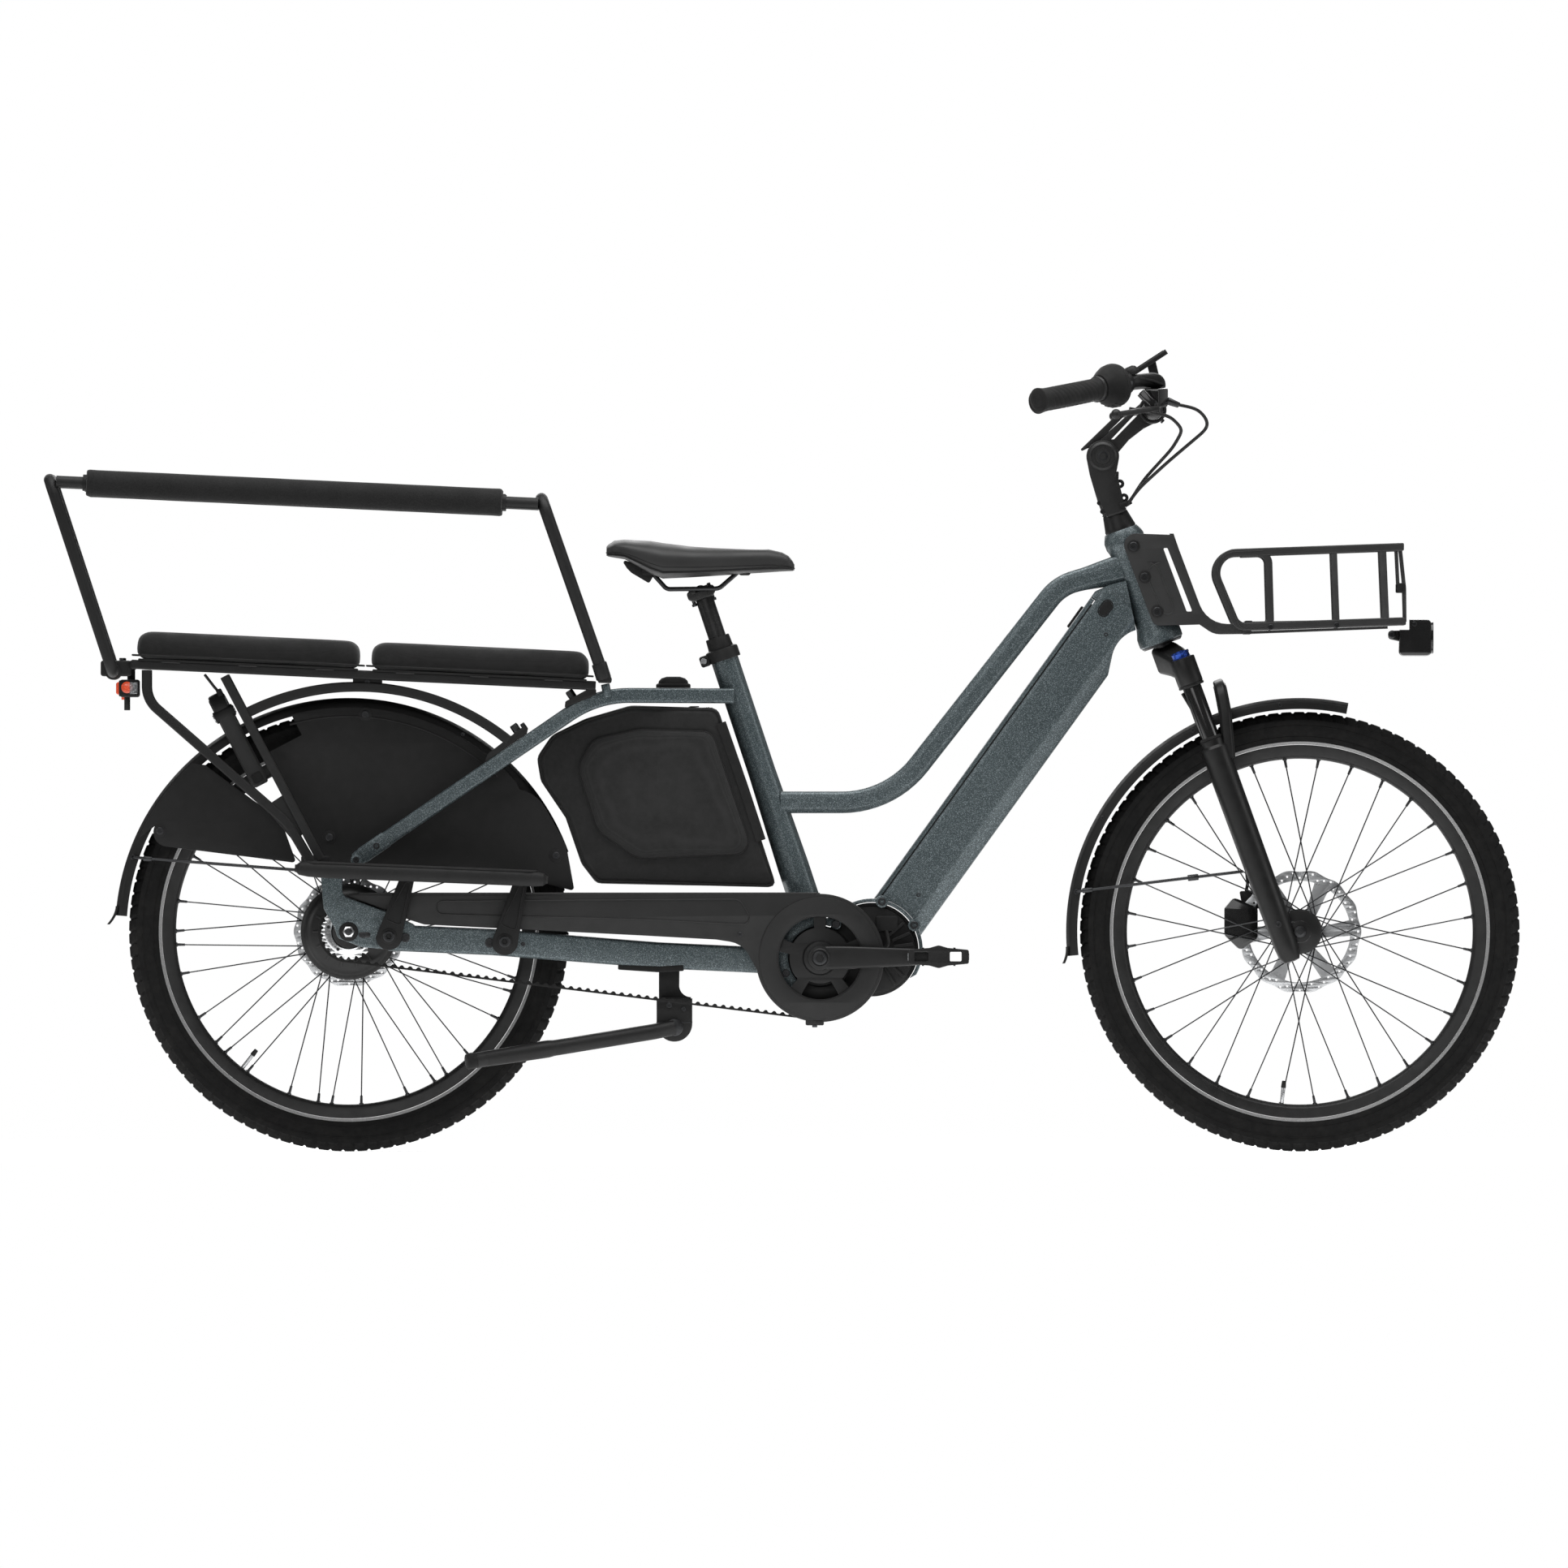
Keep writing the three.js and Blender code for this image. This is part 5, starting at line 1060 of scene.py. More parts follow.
def make_safety_rail():
    def hoop(half):
        other = [(x, -y, z, *r) for x, y, z, *r in reversed(half)]
        return tube([*half, *other], hoop_radius - 0.3, 22, 8, side=(1, 0, 0))

    side = tube([(-1107, 3 - hoop_y, 1023), (-372, 3 - hoop_y, 989)], hoop_radius - 0.5, 22)
    rear_foot = merge(block(-1040, -993.5, -82, -58, 726, 750, 4),
                      rod(*side_line(-1021, 733, -56, -86), 12.5, sides=36))
    front_foot = merge(plate(rounded([(-280.8, 716, 2), (-261, 715.6, 3), (-260, 722, 4), (-268, 742, 4),
                                      (-280.8, 742, 4)]), -120, -68, soft=2),
                       rod((-272, -112, 722), (-279.5, -115.5, 746), 11.4, sides=36, soft=1.4))
    bolts = [socket_bolt((-1007, -70, 749.6), (-1007, -70, 754), 4.6), side_bolt(-271, 727, -120, 4.4, 2.4)]
    hoops = merge(hoop([(-1021, -62, 733), (-1021, -122, 733, 24), (-1117, -hoop_y, 1025.6, 25)]),
                  hoop([(-271, -112, 722), (-367, -hoop_y, 996.6, 25)]))
    parts = [(merge(hoops, both(merge(side, rear_foot, front_foot))), coat),
             (both(merge(*bolts)), dark_steel)]
    piece("safety_rail_tubes", parts, "frame", "safety_rail")

    for name, sign in (("right", -1), ("left", 1)):
        start, end = Vector((-1061, sign * (hoop_y - 3), 1020.9)), Vector((-427, sign * (hoop_y - 3), 991.5))
        length = (end - start).length
        profile = [(0, 0), (17.5, 0), (19.6, 1.2), (foam_radius, 4.5)]
        count = 40
        for k in range(1, count):
            along = length * k / count
            swell = 0.22 * noise.noise((along * 0.021, 3.7 * sign, 0))
            profile.append((foam_radius - 0.25 + swell, along))
        profile += [(foam_radius, length - 4.5), (19.6, length - 1.2), (17.5, length), (0, length)]
        foam = lathe(profile, aimed(start, end), 40)
        collars = [lathe([(0, 0), (12, 0), (12.6, 1), (12.6, 6), (0, 6)], aimed(a, b), 32)
                   for a, b in ((start + (start - end).normalized() * 5.5, end),
                                (end + (end - start).normalized() * 5.5, start))]
        made = piece(f"foam_sleeve_{name}", [(foam, foam_look), (merge(*collars), plastic)], "frame",
                     f"foam_grip_{name}")


# ---------------------------------------------------------------- mudguards and wheel skirts
def guard(axle, start, end, steps, half=35.0):
    """A curved channel over a wheel, open towards it, with a rolled edge."""
    outer = rounded([(0, -17, 6), (-5, -half + 3, 7), (-17, -half, 1), (-17, -half + 2.4, 1),
                     (-7, -half + 5.6, 5), (-2.8, -16, 5), (-2.8, 16, 5), (-7, half - 5.6, 5),
                     (-17, half - 2.4, 1), (-17, half, 1), (-5, half - 3, 7), (0, 17, 6)], 25)
    path = [(x, 0, z) for x, z in arc(axle, wheel_radius, guard_radius, start, end, steps)]
    return sweep(path, outer)


def guard_flap(axle, angle, length, flare=11.0, half=30.0):
    """The flared rubber tip at the low end of a mudguard."""
    base = Matrix.Translation((axle, 0, wheel_radius)) @ Matrix.Rotation(math.radians(-angle), 4, "Y")
    loops = []
    for k in range(13):
        share = k / 12
        out = guard_radius - 3 + flare * share ** 2
        width = half * (1 - 0.12 * share ** 3)
        section = rounded([(out, -width, 1.4), (out + 3.2, -width, 1.4), (out + 4.4, 0, 60),
                           (out + 3.2, width, 1.4), (out, width, 1.4), (out + 1.2, 0, 60)], 30)
        loops.append([base @ Vector((x, y, -8 + (length + 8) * share)) for x, y in section])
    return rings(loops)


def guard_rivets(axle, angles):
    points = [on_wheel(axle, guard_radius - 9, math.radians(a)) for a in angles]
    return [side_bolt(p.x, p.z, -32.6, 3.4, 1.8) for p in points]


def make_rear_guard():
    body = guard(rear_axle, 20, 176, 104)
    tip = guard_flap(rear_axle, 175, 21)
    stay = tube([(-993, -33, 450), (-974, -42, 448, 10), (-752, -60, 431), (-738, -64, 430)], 2.3, 12,
                side=(0, 0, 1))
    clamp = rod((-975, -41.5, 448), (-962, -42.6, 447), 4.4, sides=20, soft=1)
    bolt = side_bolt(-991, 450, -33.6, 4.2, 3.4)
    rivets = guard_rivets(rear_axle, (30, 60, 128))
    parts = [(body, plastic), (tip, bumper_rubber), (both(merge(stay, clamp, bolt, *rivets)), dark_steel)]
    piece("rear_mudguard_shell", parts, "frame", "rear_mudguard")


skirt_y, skirt_thick = 46, 3


def make_skirts():
    rim = guard_radius - 6
    rear = [*arc(rear_axle, wheel_radius, rim, 156, 133, 14),
            *rounded([(-905, 598, 12), (-880, 590, 12), (-765, 505, 12), (-742, 441, 4), (-972, 470, 22)])]
    arc_points = 15
    cut = next(i for i, p in enumerate(rear) if i >= arc_points and p[0] > -884)
    rear = rear[:arc_points] + rear[cut:]
    front = [*arc(rear_axle, wheel_radius, rim - 8, 112, 42, 40),
             *rounded([(-374, 548, 60), (-330, 470, 60), (-317, 398, 4), (-359, 409, 6), (-700, 441, 4),
                       (-712, 468, 6), (-800, 640, 8)])]
    lock_room = moved(block(-90, 90, -80, 80, -39, 39, 1), lock_frame)
    for side, sign in (("right", -1), ("left", 1)):
        face = sign * (skirt_y + skirt_thick)
        low, high = sorted((face, sign * skirt_y))
        screw = side_bolt(-950, 490, face, 5.6, 2.8, sign)
        well = rod(*side_line(-950, 490, face - sign * 2, face + sign * 0.8), 9.5, sides=36, soft=0.7)
        piece(f"rear_skirt_{side}", [(merge(plate(rear, low, high, soft=1.0), well), skirt_plastic),
                                     (screw, dark_steel)], "frame", f"skirt_rear_{side}")
        panel = carve(plate(front, low, high, soft=1.0), lock_room)
        screws, wells = [], []
        for x, z in ((-636, 668), (-691, 480), (-345, 452)):
            screws.append(side_bolt(x, z, face, 5.6, 2.8, sign))
            wells.append(rod(*side_line(x, z, face - sign * 2, face + sign * 0.8), 10.5, sides=36, soft=0.7))
        rib = sweep([(x, sign * (skirt_y + 2.2), z)
                     for x, z in arc(rear_axle, wheel_radius, rim - 22, 106, 46, 44)], round_section(2.0, 8),
                    side=(0, 1, 0), cap=1.5)
        piece(f"front_skirt_{side}", [(merge(panel, *wells, rib), skirt_plastic),
                                      (merge(*screws), dark_steel)], "frame", f"skirt_front_{side}")


def make_frame_lock():
    outer = rounded([(-58, -78, 6), (58, -78, 6), (58, 78, 40), (-58, 78, 40)], 8)
    inner = rounded([(-40.5, -90, 1), (40.5, -90, 1), (40.5, 54, 32), (-40.5, 54, 32)], 8)
    across = Matrix(((0, 1, 0, 0), (1, 0, 0, 0), (0, 0, 1, 0), (0, 0, 0, 1)))
    shell = carve(plate(outer, -12, 12, soft=3.2), plate(inner, -20, 20, soft=0.1))
    ridge = carve(plate([(x * 0.9, z * 0.93) for x, z in outer], -13.4, 13.4, soft=1.2),
                  plate([(x * 1.12, z * 1.04 - 2) for x, z in inner], -20, 20, soft=0.1))
    body = moved(merge(shell, ridge), lock_frame @ across)
    cylinder = moved(rod((-16.5, -50, 44), (16.5, -50, 44), 9.4, sides=40, soft=1.6), lock_frame)
    keyhole = moved(merge(rod((-18, -50, 44), (-15, -50, 44), 6.4, sides=32),
                          rod((18, -50, 44), (15, -50, 44), 6.4, sides=32)), lock_frame)
    gland = moved(block(4, 13, -41, -29, 66, 82, 2.4), lock_frame)
    lead = tube([lock_frame @ Vector((9, -35, 72)), lock_frame @ Vector((5, -37, 88)), (-881, -52, 728)],
                2.2, 12)
    feet = [moved(block(-8, 8, s * 56 - 5, s * 56 + 5, -74, -58, 3), lock_frame) for s in (-1, 1)]
    parts = [(body, lock_plastic), (merge(cylinder, gland), plastic), (keyhole, steel),
             (merge(*feet), plastic), (lead, hose_look)]
    piece("ring_lock_body", parts, "frame", "frame_lock")


def make_tail_light():
    housing = plate(rounded([(-1012, 694, 5), (-981, 694, 4), (-981, 721, 4), (-1012, 721, 5)]), -42, 42,
                    soft=2.6)
    frame_lip = sweep([(-1011.2, y, z) for y, z in oblong(-38, 38, 696.5, 718.5, 6)],
                      round_section(1.4, 8), side=(1, 0, 0), closed=True)
    lens = plate(rounded([(-1017, 697.5, 4), (-1004, 697.5, 1), (-1004, 717.5, 1), (-1017, 717.5, 4)]), -34,
                 34, soft=2.4)
    ends = [rod(*side_line(-1000, 709, s * 30, s * 42.6), 9.2, sides=40, soft=1.4) for s in (-1, 1)]
    reflector = [block(-996, -984, s * 42.2 - 1.2, s * 42.2 + 1.2, 699, 717, 1.2) for s in (-1, 1)]
    stalk = merge(block(-1000, -988, -8, 8, 716, 744, 2.5), block(-1000, -986.5, -30, 30, 736, 744, 2))
    plug = rod((-1000, -20, 674), (-1000, -20, 698), 4.6, sides=24)
    low_lamp = rod((-1003, 0, 690), (-1003, 0, 696), 6, sides=28)
    screws = [socket_bolt((-993, y, 743.6), (-993, y, 747), 3.6) for y in (-20, 20)]
    parts = [(merge(housing, frame_lip, stalk), plastic), (merge(lens, *ends, low_lamp), red_lens),
             (merge(*reflector), clear_lens), (plug, hose_look), (merge(*screws), dark_steel)]
    piece("tail_light_unit", parts, "frame", "tail_light")


# ---------------------------------------------------------------- footboards, bag and stand
def make_footboards():
    path = [(-743, -145, 433), (-736, -145, 432.6), (-722, -145, 431.6), (-700, -145, 430),
            (-550, -145, 424), (-400, -145, 418), (-378, -145, 416.6), (-364, -145, 415.6), (-357, -145, 415)]
    sizes = [(0.5, 0.74), (0.82, 0.88), (0.97, 0.98), (1, 1), (1, 1), (1, 1), (0.97, 0.98), (0.82, 0.88),
             (0.5, 0.74)]
    board = sweep(path, box_section(11.9, 47.8, 10.5), sizes=sizes, cap=2.5)
    slope = math.degrees(math.atan2(430 - 418, 300))
    top = tilted(-550, 424, slope)
    ribs = []
    for k in range(21):
        x = -150 + 15 * k
        ribs.append(moved(block(x - 2.6, x + 2.6, -181, -109, 11.2, 13.2, 0.9), top))
    rim_loop = oblong(-176, 176, -43, 43, 12)
    rim = moved(sweep([(x, y - 145, 11.2) for x, y in rim_loop], round_section(2.0, 8), side=(0, 0, 1),
                      closed=True), top)
    arms, insets, bolts = [], [], []
    for top_x, top_z, foot_x, foot_z in ((-571, 426, -600, 328), (-398, 420, -423, 320)):
        outline = [*arc(foot_x, foot_z, 20, 180, 360, 24), (top_x + 11, top_z), (top_x - 9, top_z)]
        arms.append(plate(outline, -100, -92, soft=1.6))
        dx = top_x - foot_x
        inset = rounded([(foot_x - 11 + dx * 0.2, foot_z + 27, 4), (foot_x + 12 + dx * 0.2, foot_z + 18, 4),
                         (top_x + 4, top_z - 14, 3), (top_x - 3, top_z - 14, 3)])
        insets.append(sweep([(x, -100.2, z) for x, z in inset], round_section(0.9, 8), side=(0, 1, 0),
                            closed=True))
        arms.append(rod(*side_line(foot_x, foot_z, -92, -88.4), 12, sides=36))
        bolts.append(socket_bolt(*side_line(foot_x, foot_z + 1, -99.6, -104), 8.6))
        beside = foot_x + (25 if foot_x < -500 else -23)
        bolts.append(socket_bolt(*side_line(beside, foot_z - 1, -87, -90.5), 7.2))
        arms.append(rod(*side_line(foot_x, foot_z + 1, -96, -101.6), 12, sides=44))
    right = [(merge(board, rim), board_look), (merge(*ribs), board_look), (merge(*arms, *insets), plastic),
             (merge(*bolts), dark_steel)]
    for side, parts in (("right", right), ("left", mirrored_parts(right))):
        piece(f"foot_board_{side}", parts, "frame", f"footboard_{side}")


bag_outline = [(-300, 661, 60), (-232, 681, 40), (-98, 677, 14), (-86, 640, 40), (-8, 404, 8),
               (-283, 410, 14), (-306, 440, 20), (-330, 510), (-368, 566, 20), (-374, 602, 20),
               (-352, 636, 30)]


def make_bag():
    """A lofted soft case: rounded edges, a raised panel on each side, piping and a zip."""
    outline = resampled(rounded(bag_outline, 8), 180)
    middle = Vector((-215, 545))
    loops = []
    stations = [(-50, 12), (-49, 6), (-46.5, 2.6), (-42, 0.6), (-36, 0), (-18, -0.4), (0, -0.6), (18, -0.4),
                (36, 0), (42, 0.6), (46.5, 2.6), (49, 6), (50, 12)]
    for y, inset in stations:
        loop = []
        for k, p in enumerate(outline):
            inward = (middle - p).normalized()
            sag = 0.9 * noise.noise((p.x * 0.013, p.y * 0.013, y * 0.02))
            q = p + inward * (inset + max(0, sag))
            loop.append(Vector((q.x, y, q.y)))
        loops.append(loop)
    body = rings(loops)
    stays = sweep(bent(stay_path, 8), box_section(12.3, 8.8, 3))
    panel_corners = [(-313, 588, 30), (-290, 630, 30), (-216, 646, 30), (-106, 642, 20), (-44, 455, 20),
                     (-220, 446, 40), (-283, 490, 40)]
    panel_line = resampled(rounded(panel_corners, 8), 140)
    centre = Vector((-190, 545))
    panel_loops = []
    for inset, y in ((0, -49.4), (0.4, -52), (1.8, -54.6), (4.5, -57.2), (9, -59), (16, -60.2), (40, -61.2),
                     (80, -61.6)):
        loop = []
        for p in panel_line:
            inward = centre - p
            reach = inward.length
            q = p + inward * min(0.86, inset / reach)
            wave = 0.9 * noise.noise((q.x * 0.016, q.y * 0.019, 4.0)) * min(1.0, inset / 12)
            loop.append(Vector((q.x, y + wave, q.y)))
        panel_loops.append(loop)
    panel = rings(panel_loops)
    piping = []
    for y in (-47.8, 47.8):
        line = [p + (middle - p).normalized() * 2.6 for p in resampled(outline, 150)]
        piping.append(sweep([(p.x, y, p.y) for p in line], round_section(1.9, 10), side=(0, 1, 0),
                            closed=True))
    for y in (-53.8, 53.8):
        line = [p + (centre - p).normalized() * 1.4 for p in panel_line]
        piping.append(sweep([(p.x, y, p.y) for p in line], round_section(1.3, 8), side=(0, 1, 0),
                            closed=True))
    zip_teeth = []
    start, end = Vector((-286, 0, 662)), Vector((-112, 0, 677.6))
    for k in range(60):
        p = start.lerp(end, k / 59)
        side = 0.9 if k % 2 else -0.9
        zip_teeth.append(block(p.x - 1.0, p.x + 1.0, side - 1.5, side + 1.5, p.z - 0.4, p.z + 1.4, 0.4))
    tape = sweep([start + Vector((-6, 0, -0.8)), (-215, 0, 677.6), end + Vector((6, 0, -0.4))],
                 box_section(1.0, 9, 0.6))
    pull = sweep([(-128, -2, 679.6), (-140, -7, 679.4), (-152, -9, 674)], box_section(0.9, 3.6, 0.8), cap=0.5)
    flap = sweep([(-93, -51.6, 655), (-60, -52.2, 560), (-32, -51.6, 475)], box_section(7.5, 1.2, 0.9), cap=1)
    cutters = [stays, mirrored(stays), lathe(seat_tube_profile(seat_tube_radius + 0.9), seat_frame, 40)]
    soft = carve(body, *cutters)
    piece("frame_bag", [(soft, bag_cloth), (both(panel), bag_cloth), (merge(*piping, tape), piping_look),
                              (both(flap), piping_look), (merge(*zip_teeth, pull), lock_plastic)],
                "frame", "storage_bag", 50)


def make_kickstand():
    neck = plate([(-188, 281.6), (-188, 226), (-140, 226), (-139, 236), *arc(-139, 254, 18, 262, 186, 10),
                  (-156.5, 281.6)], -22, 22, soft=2)
    outline = [(-191.5, 234), *arc(-164.2, 195.2, 27.2, 180, 360, 30), (-137, 234)]
    sides = plate(outline, -44, -37, soft=1.8)
    seam = block(-191.8, -136.8, -44.4, -43, 196.6, 198.2, 0.3)
    web = block(-188, -150, -38, 38, 222, 236, 3)
    barrel = lathe([(9, 0), (17.5, 0), (17.8, 1), (17.8, 73), (17.5, 74), (9, 74)],
                   aimed(*side_line(-164, 190, -37, 37)), 40)
    bolts = [side_bolt(-172, 224, -44, 4.6, 2.6), side_bolt(-150, 218, -44, 3.8, 2.2)]
    spring, steps, coils = [], 90, 9
    for k in range(steps):
        turn = k / steps * coils * 2 * math.pi
        spring.append((-146 + 3.6 * math.cos(turn), -12 + 24 * k / (steps - 1), 206 + 3.6 * math.sin(turn)))
    coil = sweep(spring, round_section(1.0, 6), side=(0, 1, 0.1))
    parts = [(merge(neck, both(sides), web, barrel), coat), (both(merge(*bolts, seam)), dark_steel),
             (coil, steel)]
    piece("stand_bracket", parts, "frame", "kickstand_bracket")

    pivot_x, pivot_z = -164, 190
    axle = rod(*side_line(pivot_x, pivot_z, -61, 61), 7.9, sides=32)
    line = bent([(pivot_x, -57.5, pivot_z), (-194, -61, 183.5, 30), (-340, -102, 159.5, 300),
                 (-466, -134, 140)], 2)
    leg = sweep(line, round_section(11.8, 28))
    knee = sweep([(-346, -103.4, 158.6), (-357, -106.3, 156.9), (-371, -110, 154.8), (-420, -122.3, 147.1),
                  (-467, -134, 139.9)], round_section(13.0, 28),
                 sizes=[(0.9, 0.9), (1, 1), (1, 1), (0.96, 0.96), (0.9, 0.9)], cap=1.2)
    foot = rod((-464, -133.3, 140.4), (-482, -137.8, 137.6), 11.9, sides=32, soft=3)
    cap_end = rod(*side_line(pivot_x, pivot_z, -55, -61.5), 13, sides=36)
    parts = [(merge(axle, both(merge(leg, knee))), coat), (both(foot), bumper_rubber),
             (both(cap_end), dark_steel)]
    piece("stand_legs", parts, "kickstand", "kickstand_legs")


# ---------------------------------------------------------------- belt drive and cranks
belt_ring, sprocket_ring, belt_y, belt_half = 93.5, 45.5, -64, 6
cover_outer, cover_inner, cover_radius = -82, -53, 98
crank_length = 181


def make_belt_cover():
    outline = [(-640, 396), (-650, 395.6), (-664, 393), (-664, 390.2), (-602, 368), (-570, 354.5),
               (-546, 347), (-209, 330),
               *rounded([(-209, 330), (-100, 324, 60), (-62, 318, 40), (-40, 285)])[1:-1],
               *arc(*crank_centre, cover_radius, 191, 450, 100)]
    face = plate(outline, cover_outer, cover_outer + 4, [arc(*crank_centre, 63, count=72)], 1.6)
    ring = plate(arc(*crank_centre, 93, count=96), cover_outer - 2.0, cover_outer + 1,
                 [arc(*crank_centre, 65, count=72)], 1.7)
    top_wall = block(-646, crank_x, cover_outer + 1, cover_inner, 393, 395.6, 1)
    drum = plate(arc(*crank_centre, cover_radius - 0.4, count=96), cover_outer + 0.6, cover_inner,
                 [arc(*crank_centre, cover_radius - 2.6, count=96)], 0.8)
    rear_room = plate([(-100, 150), (crank_x - 4, 150), (crank_x - 4, 450), (-100, 450)], -95, -40, soft=0.1)
    low_room = plate([(-200, 150), (260, 150), (260, crank_z + 30), (-200, crank_z + 30)], -95, -40, soft=0.1)
    front_wall = carve(drum, rear_room, low_room)
    recess = rounded([(-527, 383, 9), (-64, 386, 16), (-44, 352, 12), (-58, 347, 10), (-214, 355, 60),
                      (-527, 363, 9)])
    groove = sweep([(x, cover_outer - 0.15, z) for x, z in resampled(recess, 220)], round_section(1.15, 8),
                   side=(0, 1, 0), closed=True)
    edge = sweep([(x, cover_outer + 0.9, z) for x, z in [(-646, 394), (-300, 394.2), (crank_x - 6, 394.4)]],
                 round_section(1.7, 10), cap=1)
    tab = block(crank_x - 22, crank_x + 6, cover_outer, -76.6, 193, 202, 2.4)
    tab_bolt = socket_bolt((crank_x - 8, -79.4, 193.5), (crank_x - 8, -79.4, 190), 4)
    seat_tube = lathe(seat_tube_profile(seat_tube_radius + 1), seat_frame, 40)
    body = carve(face, seat_tube)
    walls = carve(top_wall, seat_tube)
    screw = side_bolt(-64, 332, cover_outer, 3.6, 1.8)
    parts = [(merge(body, ring, walls, front_wall, tab, edge, groove), belt_plastic),
             (merge(tab_bolt, screw), dark_steel)]
    piece("belt_cover_shell", parts, "frame", "belt_cover")


def belt_loop(offset):
    """The belt's line round crank and sprocket, `offset` mm outside their pitch circles."""
    distance = math.hypot(crank_x - rear_axle, wheel_radius - crank_z)
    lean = math.degrees(math.atan2(crank_z - wheel_radius, crank_x - rear_axle))
    spread = math.degrees(math.asin((belt_ring - sprocket_ring) / distance))
    front = arc(*crank_centre, belt_ring + offset, lean - spread - 90, lean + spread + 90, 90)
    back = arc(rear_axle, wheel_radius, sprocket_ring + offset, lean + spread + 90, lean - spread + 270, 48)
    return front + back


def make_belt():
    pitch = 13.0
    loop = [Vector(p) for p in belt_loop(0)]
    length = sum((b - a).length for a, b in zip(loop, loop[1:] + loop[:1]))
    teeth = round(length / pitch)
    line = resampled(belt_loop(1.0), teeth * 10)
    inner = []
    wave = (0, 0, 1.5, 3.6, 4.2, 4.2, 3.6, 1.5, 0, 0)
    for k, point in enumerate(line):
        ahead, back = line[(k + 1) % len(line)], line[k - 1]
        along = (ahead - back).normalized()
        inwards = Vector((-along.y, along.x))
        inner.append(tuple(point + inwards * (2.3 + wave[k % 10] * 0.78)))
    outer = [tuple(p) for p in resampled(belt_loop(1.6), teeth * 5)]
    belt = plate(outer, belt_y - belt_half, belt_y + belt_half, [inner], 0.35)
    piece("belt", [(belt, belt_look)], "frame", "drive_belt", 50)


def toothed(x, z, radius, depth, teeth):
    """The outline of a belt pulley with round-bottomed teeth."""
    points, steps = [], 24
    for k in range(teeth * steps):
        phase = (k % steps) / steps
        lift = 0.5 + 0.5 * math.cos(2 * math.pi * phase)
        angle = 2 * math.pi * k / (teeth * steps)
        r = radius - depth * (1 - min(1, lift * 1.6))
        points.append((x + r * math.cos(angle), z + r * math.sin(angle)))
    return points


def make_sprocket():
    tip = sprocket_ring - 2.8
    teeth = toothed(rear_axle, wheel_radius, tip, 4.2, 22)
    body = plate(teeth, belt_y - belt_half, belt_y + belt_half,
                 [arc(rear_axle, wheel_radius, 26.4, count=56)], 0.5)
    fence = plate(arc(rear_axle, wheel_radius, 36.4, count=64), belt_y - belt_half - 1.4, belt_y + 4,
                  [arc(rear_axle, wheel_radius, 26.4, count=56)], 0.6)
    bolts = [side_bolt(rear_axle + 31.4 * math.cos(a), wheel_radius + 31.4 * math.sin(a),
                       belt_y - belt_half - 1.2, 2.6, 1.6) for a in (0.4, 1.657, 2.913, 4.17, 5.427)]
    piece("belt_sprocket", [(merge(body, fence), bright), (merge(*bolts), dark_steel)], "rear_sprocket",
          "rear_sprocket")


def crank_arm(sign):
    stations = [(12, 1.0, 1.0), (0, 1.1, 1.08), (-20, 1.1, 1.06), (-46, 1.06, 1), (-90, 0.93, 0.98),
                (-140, 0.79, 0.95), (-crank_length + 16, 0.72, 0.94), (-crank_length, 0.70, 0.94)]
    path, sizes = [], []
    for along, tall, wide in stations:
        share = max(0.0, -along / crank_length)
        path.append((crank_x + sign * along, sign * (92 + 6 * share), crank_z + 2 * share))
        sizes.append((tall, wide))
    arm = sweep(path, rounded([(-17, -7, 4.5), (17, -7, 4.5), (15.4, 7, 5.5), (-15.4, 7, 5.5)], 22)
                if sign < 0 else rounded([(-15.4, -7, 5.5), (15.4, -7, 5.5), (17, 7, 4.5), (-17, 7, 4.5)],
                                         22), sizes=sizes, cap=4)
    hub = rod(*side_line(crank_x, crank_z, sign * 84, sign * 100), 19, sides=56, soft=2.4)
    ring = lathe([(12, 0), (14.6, 0), (14.6, 1.4), (13.6, 2.2), (12, 2.2)],
                 aimed(*side_line(crank_x, crank_z, sign * 99.6, sign * 102)), 48)
    bolt = socket_bolt(*side_line(crank_x, crank_z, sign * 97.4, sign * 101), 11.4)
    eye_x = crank_x - sign * crank_length
    eye = lathe([(7.6, 0), (11.6, 0), (12.6, 1.6), (12.6, 12.4), (11.6, 14), (7.6, 14)],
                aimed(*side_line(eye_x, crank_z + 2, sign * 91, sign * 105)), 48)
    return merge(arm, hub, eye, ring), bolt


def make_crank():
    spindle = rod(*side_line(crank_x, crank_z, -95, 95), 11.8, sides=40)
    hole = []
    count = 5
    pitch = 360 / count
    for k in range(count):
        start, end = 90 + pitch * k + 8, 90 + pitch * (k + 1) - 8
        window = arc(*crank_centre, 79, start, end, 18)
        inner = arc(*crank_centre, 46.5 if k != 2 else 39, end - 3, start + 3, 12)
        hole.append(rounded([(*p, 0) for p in window + inner]))
    spider = plate(arc(*crank_centre, belt_ring - 3, count=110), -76.4, -72.6, hole, 1.0)
    rim = plate(toothed(crank_x, crank_z, belt_ring - 2.8, 4.0, 45), belt_y - belt_half, belt_y + belt_half,
                [arc(*crank_centre, 80, count=80)], 0.5)
    back_ring = plate(arc(*crank_centre, belt_ring - 8, count=96), -73.4, belt_y - belt_half + 2,
                      [arc(*crank_centre, 79, count=80)], 0.8)
    disc = rod(*side_line(crank_x, crank_z, -71, -84), 28, 25, sides=56, soft=2)
    right, right_bolt = crank_arm(-1)
    left, left_bolt = crank_arm(1)
    parts = [(merge(spindle, spider, rim, back_ring, disc, right, left), fork_black),
             (merge(right_bolt, left_bolt), dark_steel)]
    piece("crank_and_spider", parts, "crank", "crankset")


pedal_inner, pedal_outer = 112, 198


